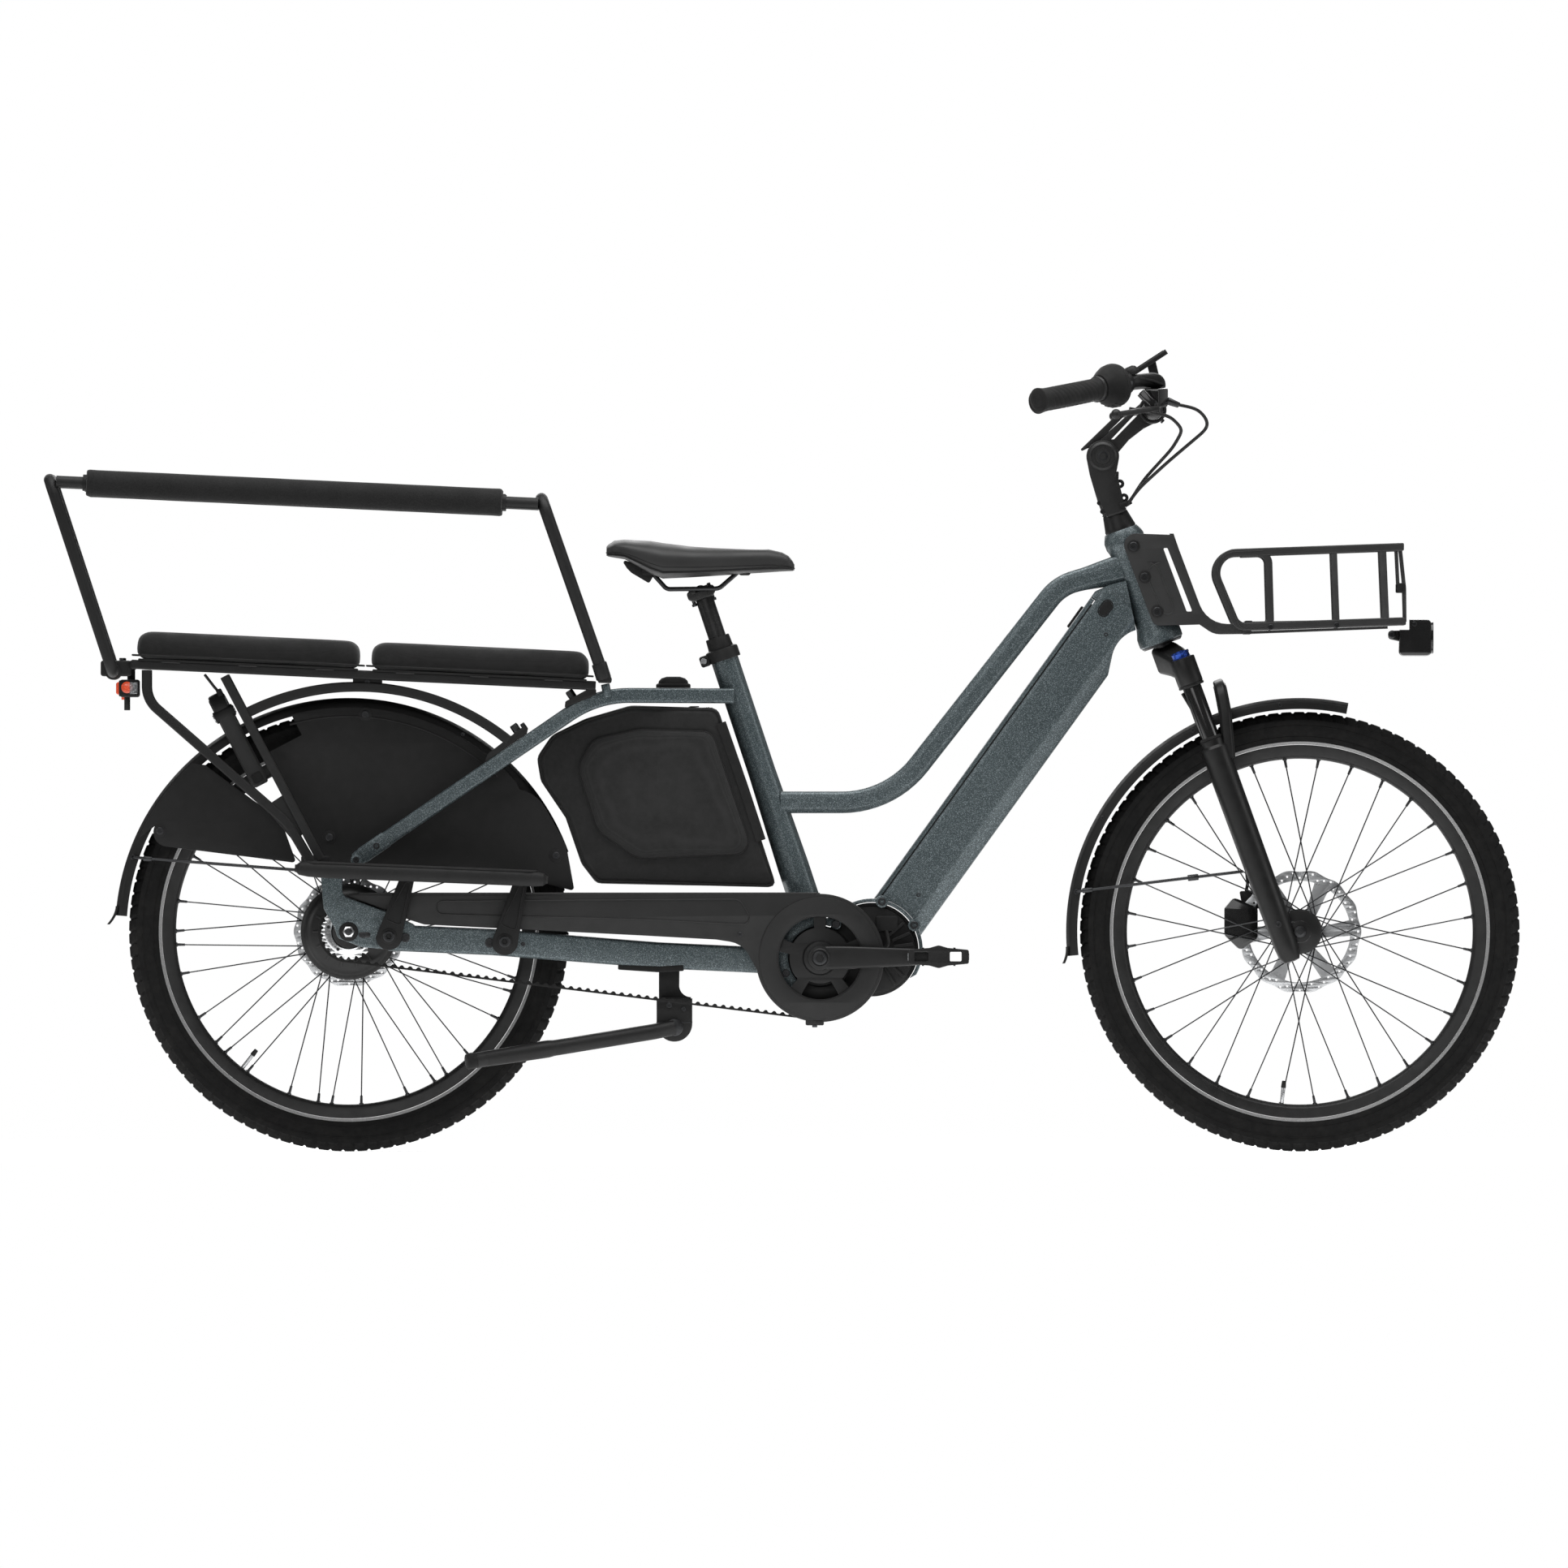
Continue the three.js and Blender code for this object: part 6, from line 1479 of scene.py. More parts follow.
def make_pedal(side, sign):
    x, z = crank_x - sign * crank_length, crank_z + 2
    low, high = sorted((sign * pedal_inner, sign * pedal_outer))
    outline = rounded([(x - 46, z - 11, 3), (x - 14, z - 13.5, 6), (x, z - 17.5, 8), (x + 14, z - 13.5, 6),
                       (x + 46, z - 10.5, 3), (x + 46, z + 10.5, 3), (x + 14, z + 13.5, 6), (x, z + 17.5, 8),
                       (x - 14, z + 13.5, 6), (x - 46, z + 11, 3)])
    windows = [oblong(x + a, x + b, z - 7, z + 7.5, 2)
               for a, b in ((-37, -16), (17, 35))]
    ends = [plate(outline, min(y), max(y), windows, 1.2)
            for y in ((sign * 112.4, sign * 118), (sign * 192, sign * 197.8))]
    bars = [block(x + a, x + a + 7, low + 1, high - 1, z - 9, z + 9, 2.4) for a in (-46, 39)]
    cage = merge(*ends, *bars)
    core = rod(*side_line(x, z, sign * 113, sign * 197), 13.2, sides=36, soft=2)
    axle = rod(*side_line(x, z, sign * 91, sign * 118), 6.7, sides=28)
    collar = rod(*side_line(x, z, sign * 106.4, sign * 112), 9.4, sides=6, soft=0.4)
    rows = [(px, 122 + 11 * k, 8, 10.4) for px in (-42.5, 42.5) for k in range(7)]
    rows += [(px, y, 11, 14) for y in (115.5, 194.5) for px in (-24, 24)]
    studs = [rod((x + px, sign * y, z + up * low_end), (x + px, sign * y, z + up * top), 1.7, sides=10,
                 soft=0.3) for px, y, low_end, top in rows for up in (-1, 1)]
    reflectors = [block(x + s * 46 - 1.2, x + s * 46 + 0.6, low + 22, high - 22, z - 5.4, z + 5.4, 0.8)
                  for s in (-1, 1)]
    grip_bars = [block(x + px - 1.4, x + px + 1.4, low + 6, high - 6, z - 13, z + 13, 1.0) for px in (-6, 6)]
    parts = [(merge(cage, core, *grip_bars), plastic), (merge(axle, collar, *studs), dark_steel),
             (merge(*reflectors), clear_lens)]
    piece(f"pedal_body_{side}", parts, f"pedal_{side}", f"pedal_{side}")


# ---------------------------------------------------------------- wheels
tread_blocks = 106


def tyre_tread(turn, across):
    """The groove's depth as a share, at an angle round the tyre and a share -1..1 across its tread."""
    phase = (turn * tread_blocks / (2 * math.pi) + 0.3 * across * across) % 1
    if phase < 0.2:
        return 1.0
    return 0.6 if 0.50 < abs(across) <= 0.60 or abs(across) < 0.07 else 0.0


def make_tyre(prefix, axle):
    profile = [(286, -13.4), (290, -15.5), (294, -18.5), (299, -21.6), (304, -24), (310, -25.8),
               (316, -26.7), (320, -26.9), (323.4, -26.2)]
    crown = []
    count = 22
    for k in range(count + 1):
        across = -1 + 2 * k / count
        y = across * 24.4
        crown.append((wheel_radius - 0.2 - 11.4 * abs(across) ** 2.5, y, across))
    rows = [(r, y, None) for r, y in profile] + crown + [(r, -y, None) for r, y in reversed(profile)]
    sides, groove_depth = 10 * tread_blocks, 2.3
    loops = []
    place = Matrix.Translation((axle, 0, wheel_radius))
    for k in range(sides):
        turn = 2 * math.pi * k / sides
        loop = []
        for r, y, across in rows:
            deep = 0 if across is None else tyre_tread(turn, across) * groove_depth
            radius = r - deep
            loop.append(place @ Vector((radius * math.cos(turn), y, radius * math.sin(turn))))
        loops.append(loop)
    body = rings(loops, closed=True)
    bands, beads = [], []
    for sign in (-1, 1):
        band = [(285.9, sign * 13.6), (290, sign * 15.6), (290.3, sign * 16.4), (285.9, sign * 14.4)]
        bands.append(wheel_lathe(band, axle, 240))
        for bead_r, bead_y in ((298, 21.2), (314.4, 26.7)):
            path = [on_wheel(axle, bead_r, 2 * math.pi * k / 180, sign * bead_y) for k in range(180)]
            beads.append(sweep(path, round_section(0.7, 6), closed=True))
    piece(f"{prefix}_tyre_carcass", [(body, tyre_look), (merge(*bands), band_look),
                                     (merge(*beads), tyre_look)], f"{prefix}_wheel", f"{prefix}_tyre",
          32)


rim_inner = 264


def make_rim(prefix, axle, angles, valve):
    """A rim with an eyelet at each (angle, y) of `angles` and its valve at `valve` degrees."""
    profile = [(rim_inner, -5), (264.4, -6.4), (268.6, -12.6), (271, -13.8), (284.5, -15), (285.4, -14.4),
               (285.4, -12.4), (279, -11.6), (277.6, -9), (277.6, 9), (279, 11.6), (285.4, 12.4),
               (285.4, 14.4), (284.5, 15), (271, 13.8), (268.6, 12.6), (264.4, 6.4), (rim_inner, 5)]
    eyes = [rod(on_wheel(axle, rim_inner - 1.6, angle, y * 0.9),
                on_wheel(axle, rim_inner + 2, angle, y * 0.9), 3.4, sides=14, soft=0.5)
            for angle, y in angles]
    v = math.radians(valve)
    stem = rod(on_wheel(axle, rim_inner + 2, v), on_wheel(axle, 238, v), 3.0, sides=16)
    cap = rod(on_wheel(axle, 240, v), on_wheel(axle, 229, v), 3.9, 3.2, sides=16, soft=1)
    parts = [(wheel_lathe(profile, axle, 180), alloy_black), (merge(*eyes), dark_steel), (stem, steel),
             (cap, plastic)]
    piece(f"{prefix}_rim_hoop", parts, f"{prefix}_wheel", f"{prefix}_rim")


def spokes(axle, count, flange_radius, flange_y, cross, angle_of):
    """Crossed spokes with nipples at the rim; returns the spokes, nipples and rim holes."""
    wires, nipples, holes = [], [], []
    for k in range(count):
        outer = math.radians(angle_of(k))
        side = k % 2
        lean = 1 if (k // 2) % 2 else -1
        inner = outer + lean * math.radians(cross)
        near = flange_y[side] + lean * 1.6
        far = (4 if side else -4) + lean * 1.4
        start = on_wheel(axle, flange_radius, inner, near)
        end = on_wheel(axle, rim_inner, outer, far)
        wires.append(rod(start, end, 1.0, sides=8, soft=0.1))
        along = (end - start).normalized()
        nipples.append(rod(end - along * 13, end + along * 1, 1.9, 2.3, sides=10, soft=0.4))
        holes.append((outer, far))
    return wires, nipples, holes


def wheel_lathe(profile, axle, sides=72):
    """A closed profile (radius, y) turned about a wheel's axle."""
    place = Matrix.Translation((axle, 0, wheel_radius))
    loops = [[place @ Vector((r * math.cos(t), y, r * math.sin(t))) for r, y in profile]
             for t in (2 * math.pi * k / sides for k in range(sides))]
    return rings(loops, closed=True)


def make_front_wheel():
    make_tyre("front", front_axle)
    wires, nipples, holes = spokes(front_axle, 32, 30, (-28.5, 23.5), 62, lambda k: 11.25 * k + 5)
    make_rim("front", front_axle, holes, 264)
    shell = wheel_lathe([(7, -43), (12.4, -43), (13, -42.2), (13.4, -38), (15, -34), (19, -32.4), (31, -31),
                         (33, -30.2), (33, -27.4), (31, -26.2), (20, -25), (17, -21), (15.4, -8), (15.4, 6),
                         (17, 17), (20, 20), (31, 21.2), (33, 22), (33, 25), (31, 26.2), (22, 28),
                         (21.2, 29), (21.2, 38), (14, 39), (12, 43), (7, 43)], front_axle)
    lock_ring = wheel_lathe([(12, 36.6), (20.6, 36.6), (22, 37.4), (22, 40), (20.6, 41), (12, 41)],
                            front_axle, 36)
    parts = [(shell, alloy_black), (merge(*wires), dark_steel), (merge(*nipples), dark_steel),
             (lock_ring, dark_steel)]
    piece("front_hub_and_spokes", parts, "front_wheel", "front_hub")


def make_rear_wheel():
    make_tyre("rear", rear_axle)
    offsets = (0, 10, 14.5, 24.3)
    wires, nipples, holes = spokes(rear_axle, 36, 70, (-27, 27), 14,
                                   lambda k: 169.8 + 40 * (k // 4) + offsets[k % 4])
    make_rim("rear", rear_axle, holes, 232)
    shell = wheel_lathe([(8, -72), (24, -72), (25, -71), (25.6, -57), (30, -54), (56, -47.5), (61, -45),
                         (66, -38), (70, -31.6), (73.4, -30), (73.4, -26), (69, -24), (67, -16), (67, 16),
                         (69, 24), (73.4, 26), (73.4, 30), (70, 31.6), (66, 35), (58, 38.6), (28, 40),
                         (22, 43.6), (21.4, 56.6), (21.4, 72), (8, 72)], rear_axle, 96)
    ribs = []
    for k in range(14):
        angle = 2 * math.pi * k / 14
        for y0, r0, y1, r1 in ((-55.4, 33, -48.6, 55), (41.4, 33, 40.4, 55)):
            line = [on_wheel(rear_axle, r0, angle, y0), on_wheel(rear_axle, r1, angle, y1)]
            ribs.append(sweep(line, box_section(1.6, 1.6, 0.8), cap=0.8))
    axle = merge(rod(*side_line(rear_axle, wheel_radius, -72, -96.6), 5.8, sides=24),
                 rod(*side_line(rear_axle, wheel_radius, 72, 96.6), 5.8, sides=24),
                 rod(*side_line(rear_axle, wheel_radius, -70, -88.6), 8.4, sides=32),
                 rod(*side_line(rear_axle, wheel_radius, 70, 88.6), 8.4, sides=32))
    nuts = [rod(*side_line(rear_axle, wheel_radius, s * 89.4, s * 96.0), 9.2, sides=6, soft=0.6)
            for s in (-1, 1)]
    washers = [rod(*side_line(rear_axle, wheel_radius, s * 88.6, s * 90), 14.6, sides=40, soft=0.4)
               for s in (-1, 1)]
    parts = [(merge(shell, *ribs), alloy_black), (merge(*wires, *nipples), dark_steel), (axle, dark_steel),
             (merge(*nuts), bright), (merge(*washers), plastic)]
    piece("rear_hub_and_spokes", parts, "rear_wheel", "rear_hub")


def make_rotor(prefix, axle, radius, y, hub_radius):
    waves = 14
    outline = []
    steps = waves * 24
    for k in range(steps):
        turn = 2 * math.pi * k / steps
        r = radius - 1.6 + 1.4 * math.cos(waves * turn)
        outline.append((axle + r * math.cos(turn), wheel_radius + r * math.sin(turn)))
    holes = [arc(axle, wheel_radius, hub_radius + 0.5, count=40)]
    band_inner = radius - 17
    for k in range(6):
        a, b = 60 * k + 7, 60 * k + 53
        window = [*arc(axle, wheel_radius, band_inner, a + 6, b + 2, 12),
                  *arc(axle, wheel_radius, hub_radius + 12, b - 10, a + 6, 6)]
        holes.append(rounded([(*window[0], 0), *[(*p, 0) for p in window[1:]]]))
    for k in range(56):
        turn = 2 * math.pi * k / 56
        r = radius - 5.2 - 3.6 * (k % 3)
        centre = (axle + r * math.cos(turn), wheel_radius + r * math.sin(turn))
        holes.append(arc(*centre, 1.7, count=12))
    disc = plate(outline, y - 0.95, y + 0.95, holes, 0.25)
    spider = plate(arc(axle, wheel_radius, hub_radius + 13, count=60), y - 2.6, y + 2.6,
                   [arc(axle, wheel_radius, hub_radius + 0.5, count=40)], 0.8)
    rivets = [rod(on_wheel(axle, hub_radius + 10, a, y - 3.4), on_wheel(axle, hub_radius + 10, a, y + 3.4),
                  2.4, sides=16) for a in (2 * math.pi * k / 6 for k in range(6))]
    parts = [(disc, rotor_look), (spider, alloy_black), (merge(*rivets), steel)]
    piece(f"{prefix}_brake_disc", parts, f"{prefix}_wheel", f"{prefix}_rotor", 40)


# ---------------------------------------------------------------- carrier, basket and headlight
basket_y = 150


def make_carrier():
    outline = rounded([(514, 945, 18), (598, 942, 8), (649, 806, 45), (703, 806), (703, 798), (716, 798),
                       (716, 795), (925, 802.6), (925, 798.6), (716, 790.6), (660, 790, 30), (638, 805),
                       (568, 803, 14)])
    slot = rounded([(582, 922, 2), (589, 922, 2), (627, 825, 2), (618, 825, 2)])
    cheek = plate(outline, -37, -32, [slot], 1.3)
    recess = rounded([(548, 900, 20), (572, 900, 20), (602, 822, 10), (584, 820, 10)])
    line = [sweep([(x, -37.1, z) for x, z in recess], round_section(0.9, 8), side=(0, 1, 0), closed=True)]
    web = plate([(592, 944), (598, 944), (643, 812), (636, 812)], -35, 35, soft=1)
    seat_rail = block(704, 716, -120, 120, 790, 798, 1.6)
    bolts, washers = [], []
    for height in head_bolts:
        x, _, z = head_frame @ Vector((9.4, 0, height))
        washers.append(rod(*side_line(x, z, -33, -38.6), 9.6, sides=44, soft=0.7))
        bolts.append(side_bolt(x, z, -38, 6.6, 4.0))
    clamps = [rod((710, s * 96, 797), (710, s * 96, 800.5), 5.2, sides=24) for s in (-1, 1)]
    parts = [(merge(both(merge(cheek, *line)), web, seat_rail), plate_grey),
             (both(merge(*bolts)), dark_steel), (both(merge(*washers)), coat), (merge(*clamps), dark_steel)]
    piece("carrier_plates", parts, "frame", "carrier_bracket")


def make_basket():
    loop_path = bent([(948, -basket_y, 923.3), (648, -basket_y, 912.7, 31), (694.5, -basket_y, 801, 20),
                      (950, -basket_y, 810)], 7)
    loop = sweep(loop_path, box_section(6, 6, 2.2), cap=1.5)

    def post(x0, x1, size=4.7):
        return sweep([(x0, -basket_y, 918), (x1, -basket_y, 806)], box_section(size, 5, 1.6))

    inner_path = bent([(700, -basket_y, 912.8), (742, -basket_y, 914.3, 16), (745.2, -basket_y, 803.5, 10),
                       (700, -basket_y, 802)], 7)
    inner = sweep(inner_path, box_section(5.6, 5.4, 2.0), cap=1.5)
    seam = sweep(bent([(733, -basket_y - 6.1, 917.4), (652, -basket_y - 6.1, 914.5, 28),
                       (699, -basket_y - 6.1, 797, 17), (745, -basket_y - 6.1, 798.2)], 7),
                 round_section(0.8, 6), side=(0, 1, 0))
    side = merge(loop, inner, seam, post(841.8, 846), post(916.4, 921.2, 5.3))
    feet = [side_bolt(745.4, 800.8, -basket_y - 6, 4.4, 2.2),
            side_bolt(846.4, 803.8, -basket_y - 6, 4.4, 2.2)]

    def cross(x, z):
        size = 5.8
        return block(x - size, x + size, -basket_y, basket_y, z - size, z + size, 2)

    floor = [sweep([(708, y, 807), (826, y, 809), (944, y, 811)], box_section(2.4, 13, 1.2))
             for y in (-110, -55, 0, 55, 110)]
    cross_floor = [block(x - 5, x + 5, -basket_y + 4, basket_y - 4, 802.4, 806.4, 1) for x in (790, 868)]
    wires = [tube([(944, y, 922), (950.5, y, 860, 8), (951, y, 809)], 2.4, 12, side=(0, 1, 0))
             for y in (-75, 0, 75)]
    side_wires = [tube([(938, y, 920), (941, y, 858)], 1.5, 8, side=(0, 1, 0)) for y in (-145, 145)]
    side_wires += [tube([(949.4, y, 862), (951, y, 812)], 1.5, 8, side=(0, 1, 0)) for y in (-145, 145)]
    catch = [block(938.6, 951, -basket_y - 4, -basket_y + 8, 853.7, 868, 2)]
    parts = [(merge(both(side), cross(943, 923.3), cross(946, 809.6), cross(712, 805), cross(690, 914),
                    *floor, *cross_floor, *wires, *side_wires), plate_grey),
             (both(merge(*feet)), dark_steel), (both(merge(*catch)), plastic)]
    piece("basket_frame", parts, "frame", "front_basket")


def make_headlight():
    px, pz = 932, 790
    body = plate(rounded([(942, 757, 7), (992, 757, 8), (992, 813, 8), (944, 813, 6)]), -30, 30, soft=4.5)
    room = block(900, 958.5, -40, 40, 797, 830, 1)
    body = carve(body, room)
    arm = plate(rounded([(px - 6, pz - 7, 5), (948, 778, 2), (948, 796, 2), (px - 6, pz + 6, 5)]), -9, 9,
                soft=1.6)
    bezel = lathe([(18, 0), (23.6, 0), (24.4, 1), (24.4, 3.6), (23, 4.6), (18, 4.6)],
                  aimed((990.5, 0, 785), (996, 0, 785)), 56)
    lens = lathe([(0, 0), (19.6, 0), (19.6, 1.6), (17, 3), (10, 4.2), (0, 4.6)],
                 aimed((990.8, 0, 785), (996, 0, 785)), 48)
    pivot = rod(*side_line(px, pz, -11.6, 11.6), 6.2, sides=32)
    screw = merge(side_bolt(px, pz, -11, 4.4, 2.2), side_bolt(px, pz, 11, 4.4, 2.2, 1))
    fins = [block(942.4, 951, -25, 25, z - 1.1, z + 1.1, 0.8) for z in (764, 770, 776)]
    side_screw = merge(side_bolt(966, 806, -29.4, 3.6, 1.8), side_bolt(966, 806, 29.4, 3.6, 1.8, 1))
    parts = [(merge(body, arm, bezel, pivot, *fins), gloss), (lens, clear_lens),
             (merge(screw, side_screw), dark_steel)]
    piece("headlight_housing", parts, "headlight", "headlight")


# ---------------------------------------------------------------- fork and front mudguard
fork_offset, stanchion_radius = 20, 14


def make_fork_crown():
    steerer = rod((0, 0, -40), (0, 0, 246), 14.2, sides=36)
    loops = []
    stations = [(-73, 20, -55, 0.72), (-71, 20, -55, 0.9), (-62, 19.5, -53, 1.0), (-48, 17, -48, 1.08),
                (-30, 11, -40, 1.16), (-12, 3, -32.5, 1.24), (0, 0, -30, 1.26)]
    for y, x, z, size in stations + [(-y, x, z, s) for y, x, z, s in reversed(stations[:-1])]:
        section = oblong(-16 * size, 16 * size, -17 * size, 17 * size, 8, 15)
        loops.append([Vector((x + a, y, z + b)) for a, b in section])
    bridge = rings(loops)
    race = lathe([(14, -9), (27, -9), (28.6, -7), (28.6, -5.4), (14, -5.4)], sides=56)
    sleeve = rod((fork_offset, -leg_y, -80), (fork_offset, -leg_y, -38), 19.4, sides=48, soft=1.8)
    dial = lathe([(0, 0), (14.4, 0), (14.4, 1.5), (13.2, 2.2), (13.2, 7.6), (14.2, 9), (13.4, 11.6),
                  (0, 12)], Matrix.Translation((fork_offset, -leg_y, -39)), 60, lambda a,
                 r: r * (1 + 0.018 * math.cos(20 * a)))
    dial_top = rod((fork_offset, -leg_y, -28), (fork_offset, -leg_y, -26.4), 6, sides=24, soft=0.4)
    inner = rod((fork_offset, -leg_y, -330), (fork_offset, -leg_y, -60), stanchion_radius, sides=48)
    collar = lathe([(14, 0), (18.6, 0), (19.6, 1.2), (19.6, 4), (14, 5)],
                   Matrix.Translation((fork_offset, -leg_y, -84)), 48)
    parts = [(moved(merge(steerer, bridge, both(merge(sleeve, collar))), head_frame), fork_black),
             (moved(both(inner), head_frame), gloss), (moved(race, head_frame), dark_steel),
             (moved(both(merge(dial, dial_top)), head_frame), blue_alloy)]
    piece("fork_crown_and_stanchions", parts, "steering", "fork_crown")


def make_fork_lowers():
    ahead, down = 47.1, -492
    profile = [(15.4, -170.4), (18.2, -171), (18.4, -173), (18, -180), (19.6, -182), (21.8, -184.4),
               (22, -190), (21.2, -204), (20.8, -240), (20.3, -330), (19.6, -440), (18.6, -500),
               (16.8, -520), (12.6, -529.4), (6, -531), (0, -531)]
    leg = lathe([(0, -170.4), *profile], Matrix.Translation((fork_offset, -leg_y, 0)), 48)
    seal_ring = lathe([(14.4, -171.6), (17, -171.4), (17.6, -168.6), (16, -166), (14.4, -165.6)],
                      Matrix.Translation((fork_offset, -leg_y, 0)), 44)
    lug = sweep([(fork_offset, -54, -484), (fork_offset + 14, -54, -488), (ahead, -54, down)],
                box_section(17, 6, 4), sizes=[(1.1, 1), (1, 1), (0.95, 1)])
    eye = rod(*side_line(ahead, down, -60.5, -47.5), 17, sides=48, soft=1.6)
    axle_head = merge(rod(*side_line(ahead, down, -66, -60), 9, sides=36, soft=1),
                      socket_bolt(*side_line(ahead, down, -64.5, -66.8), 6.6))
    arch_path = bent([(fork_offset + 16, -leg_y, -206), (fork_offset + 34, -60, -140, 30),
                      (60, -46, -102, 26), (60, 0, -98)], 8)
    arch = sweep(arch_path, box_section(11, 8, 4.5), side=(1, 0, 0))
    rib = sweep([p + Vector((0, -1.0, 0)) for p in arch_path], box_section(3.4, 9.6, 2), side=(1, 0, 0))
    bore = rod((fork_offset, -leg_y, -400), (fork_offset, -leg_y, -150), stanchion_radius + 0.7, sides=48)
    axle = rod(*side_line(ahead, down, -50, 50), 6.2, sides=28)
    guard_room = plate(arc(front_axle, wheel_radius, guard_radius + 0.6, count=120), -36, 36, soft=0.1)
    half = carve(leg, bore)
    arch_parts = [carve(moved(shape, head_frame), guard_room) for shape in (both(arch), both(rib))]
    caliper = plate(rounded([(676, 330, 8), (700, 307, 8), (727, 325, 8), (727, 372, 6), (690, 389, 8),
                             (676, 372, 8)]), 27, 60, soft=2.6)
    slot = plate(arc(front_axle, wheel_radius, 97, count=80), 35 - 2.2, 35 + 2.2, soft=0.1)
    caliper = carve(caliper, slot)
    mount = plate(rounded([(699, 398, 3), (721, 398, 3), (732, 372, 3), (705, 366, 3)]), 50, 66, soft=1.4)
    caliper_bolts = [side_bolt(702, 322, 59.6, 4.6, 3, 1), side_bolt(712, 380, 59.6, 4.6, 3, 1)]
    cap = rod(*side_line(702, 348, 60, 62.6), 11, sides=40, soft=0.8)
    hose = tube([(706, 52, 380), (712, 60, 410, 30), (700, 66, 520, 60), (648, 66, 640, 60), (612, 60, 700)],
                2.5, 12)
    lug_bolts = moved(socket_bolt(*side_line(fork_offset, -470, -leg_y - 19, -leg_y - 21.6), 4.4), head_frame)
    parts = [(merge(moved(both(merge(half, lug, eye)), head_frame), *arch_parts, mount), fork_black),
             (moved(both(seal_ring), head_frame), bumper_rubber),
             (moved(merge(both(axle_head), axle), head_frame), dark_steel), (merge(caliper, cap), gloss),
             (merge(*caliper_bolts, both(lug_bolts)), dark_steel), (hose, hose_look)]
    piece("fork_lower_legs", parts, "fork_lowers", "fork_lowers")


def make_front_guard():
    body = guard(front_axle, 78, 186, 70)
    tip = guard_flap(front_axle, 185, 17, 7.5)
    stay = tube([(448, -33, 397), (464, -38, 399, 8), (620, -38.5, 418), (704, -39, 428)], 2.3, 12,
                side=(0, 0, 1))
    holder = rod((620, -38.5, 417.8), (636, -38.5, 419.6), 4.8, sides=24, soft=1)
    end = rod((459, -36.4, 398.4), (474, -38.2, 400.2), 4.0, sides=20, soft=1)
    bolt = side_bolt(450, 397, -33.4, 4.2, 3)
    rivets = guard_rivets(front_axle, (95, 118, 150))
    parts = [(body, plastic), (tip, bumper_rubber),
             (both(merge(stay, holder, end, bolt, *rivets)), dark_steel)]
    piece("front_mudguard_shell", parts, "fork_lowers", "front_mudguard")


# ---------------------------------------------------------------- stem, bars and controls
stem_x, stem_z, bar_x, bar_z = 490, 1062, 566, 1133


def make_stem_lower():
    outline = rounded([(494, 967, 3), (526, 978, 4), (523, 990, 4), (514, 1025, 20), (515.4, 1058, 2)])[:-2]
    outline = [*outline, *arc(stem_x, stem_z, 25, -10, 195, 44), (470, 1034), (480, 1000)]
    body = plate(outline, -22, 22, soft=3.4)
    knuckle_room = plate(arc(stem_x, stem_z, 27, count=48), -12.5, 12.5, soft=0.1)
    above = plate([(455, 1062), (525, 1062), (525, 1100), (455, 1100)], -12.5, 12.5, soft=0.1)
    body = carve(body, knuckle_room, above)
    neck = lathe([(14, 205), (18.4, 205), (18.6, 232), (17, 246), (14, 246)], head_frame, 52)
    cone = lathe([(15, 178.5), (24, 178.5), (24.2, 181), (23.2, 185), (19.6, 203), (18.4, 206), (15, 206)],
                 head_frame, 60)
    bands = [lathe([(18, h), (19.4, h), (19.4, h + 1.6), (18, h + 1.6)], head_frame, 52) for h in (206, 214)]
    caps, bolts = [], []
    for sign in (-1, 1):
        caps.append(lathe([(0, 0), (22, 0), (22.2, 1.6), (20.8, 3.6), (18.2, 4.8), (17.6, 3.9), (12.4, 3.9),
                           (11.8, 4.8), (0, 4.8)], aimed(*side_line(stem_x, stem_z, sign * 21, sign * 27)),
                          60))
        bolts.append(socket_bolt(*side_line(stem_x, stem_z, sign * 24.4, sign * 25.9), 8.4))
    eyelets, rubber = [], []
    for x, z in ((516, 1020), (522.5, 998.5)):
        eyelets.append(lathe([(2.0, 0), (6.6, 0), (7.0, 1), (7.0, 9), (6.6, 10), (2.0, 10)],
                             aimed(*side_line(x, z, -5, 5)), 32))
    for x, y, z in ((525, -21, 990), (531, -6, 992)):
        rubber.append(rod((x - 8, y, z - 4), (x + 3, y, z + 1), 4.6, 3.4, sides=24, soft=1))
    pinch = [side_bolt(*(head_frame @ Vector((-17, 0, h))).xz, -16.6, 3.6, 3.0) for h in (214, 228)]
    parts = [(merge(body, neck), stem_grey), (cone, fork_black), (merge(*bands, *eyelets), dark_steel),
             (merge(*caps), stem_grey), (merge(*bolts, *pinch), dark_steel), (merge(*rubber), bumper_rubber)]
    piece("stem_base", parts, "steering", "stem_lower")


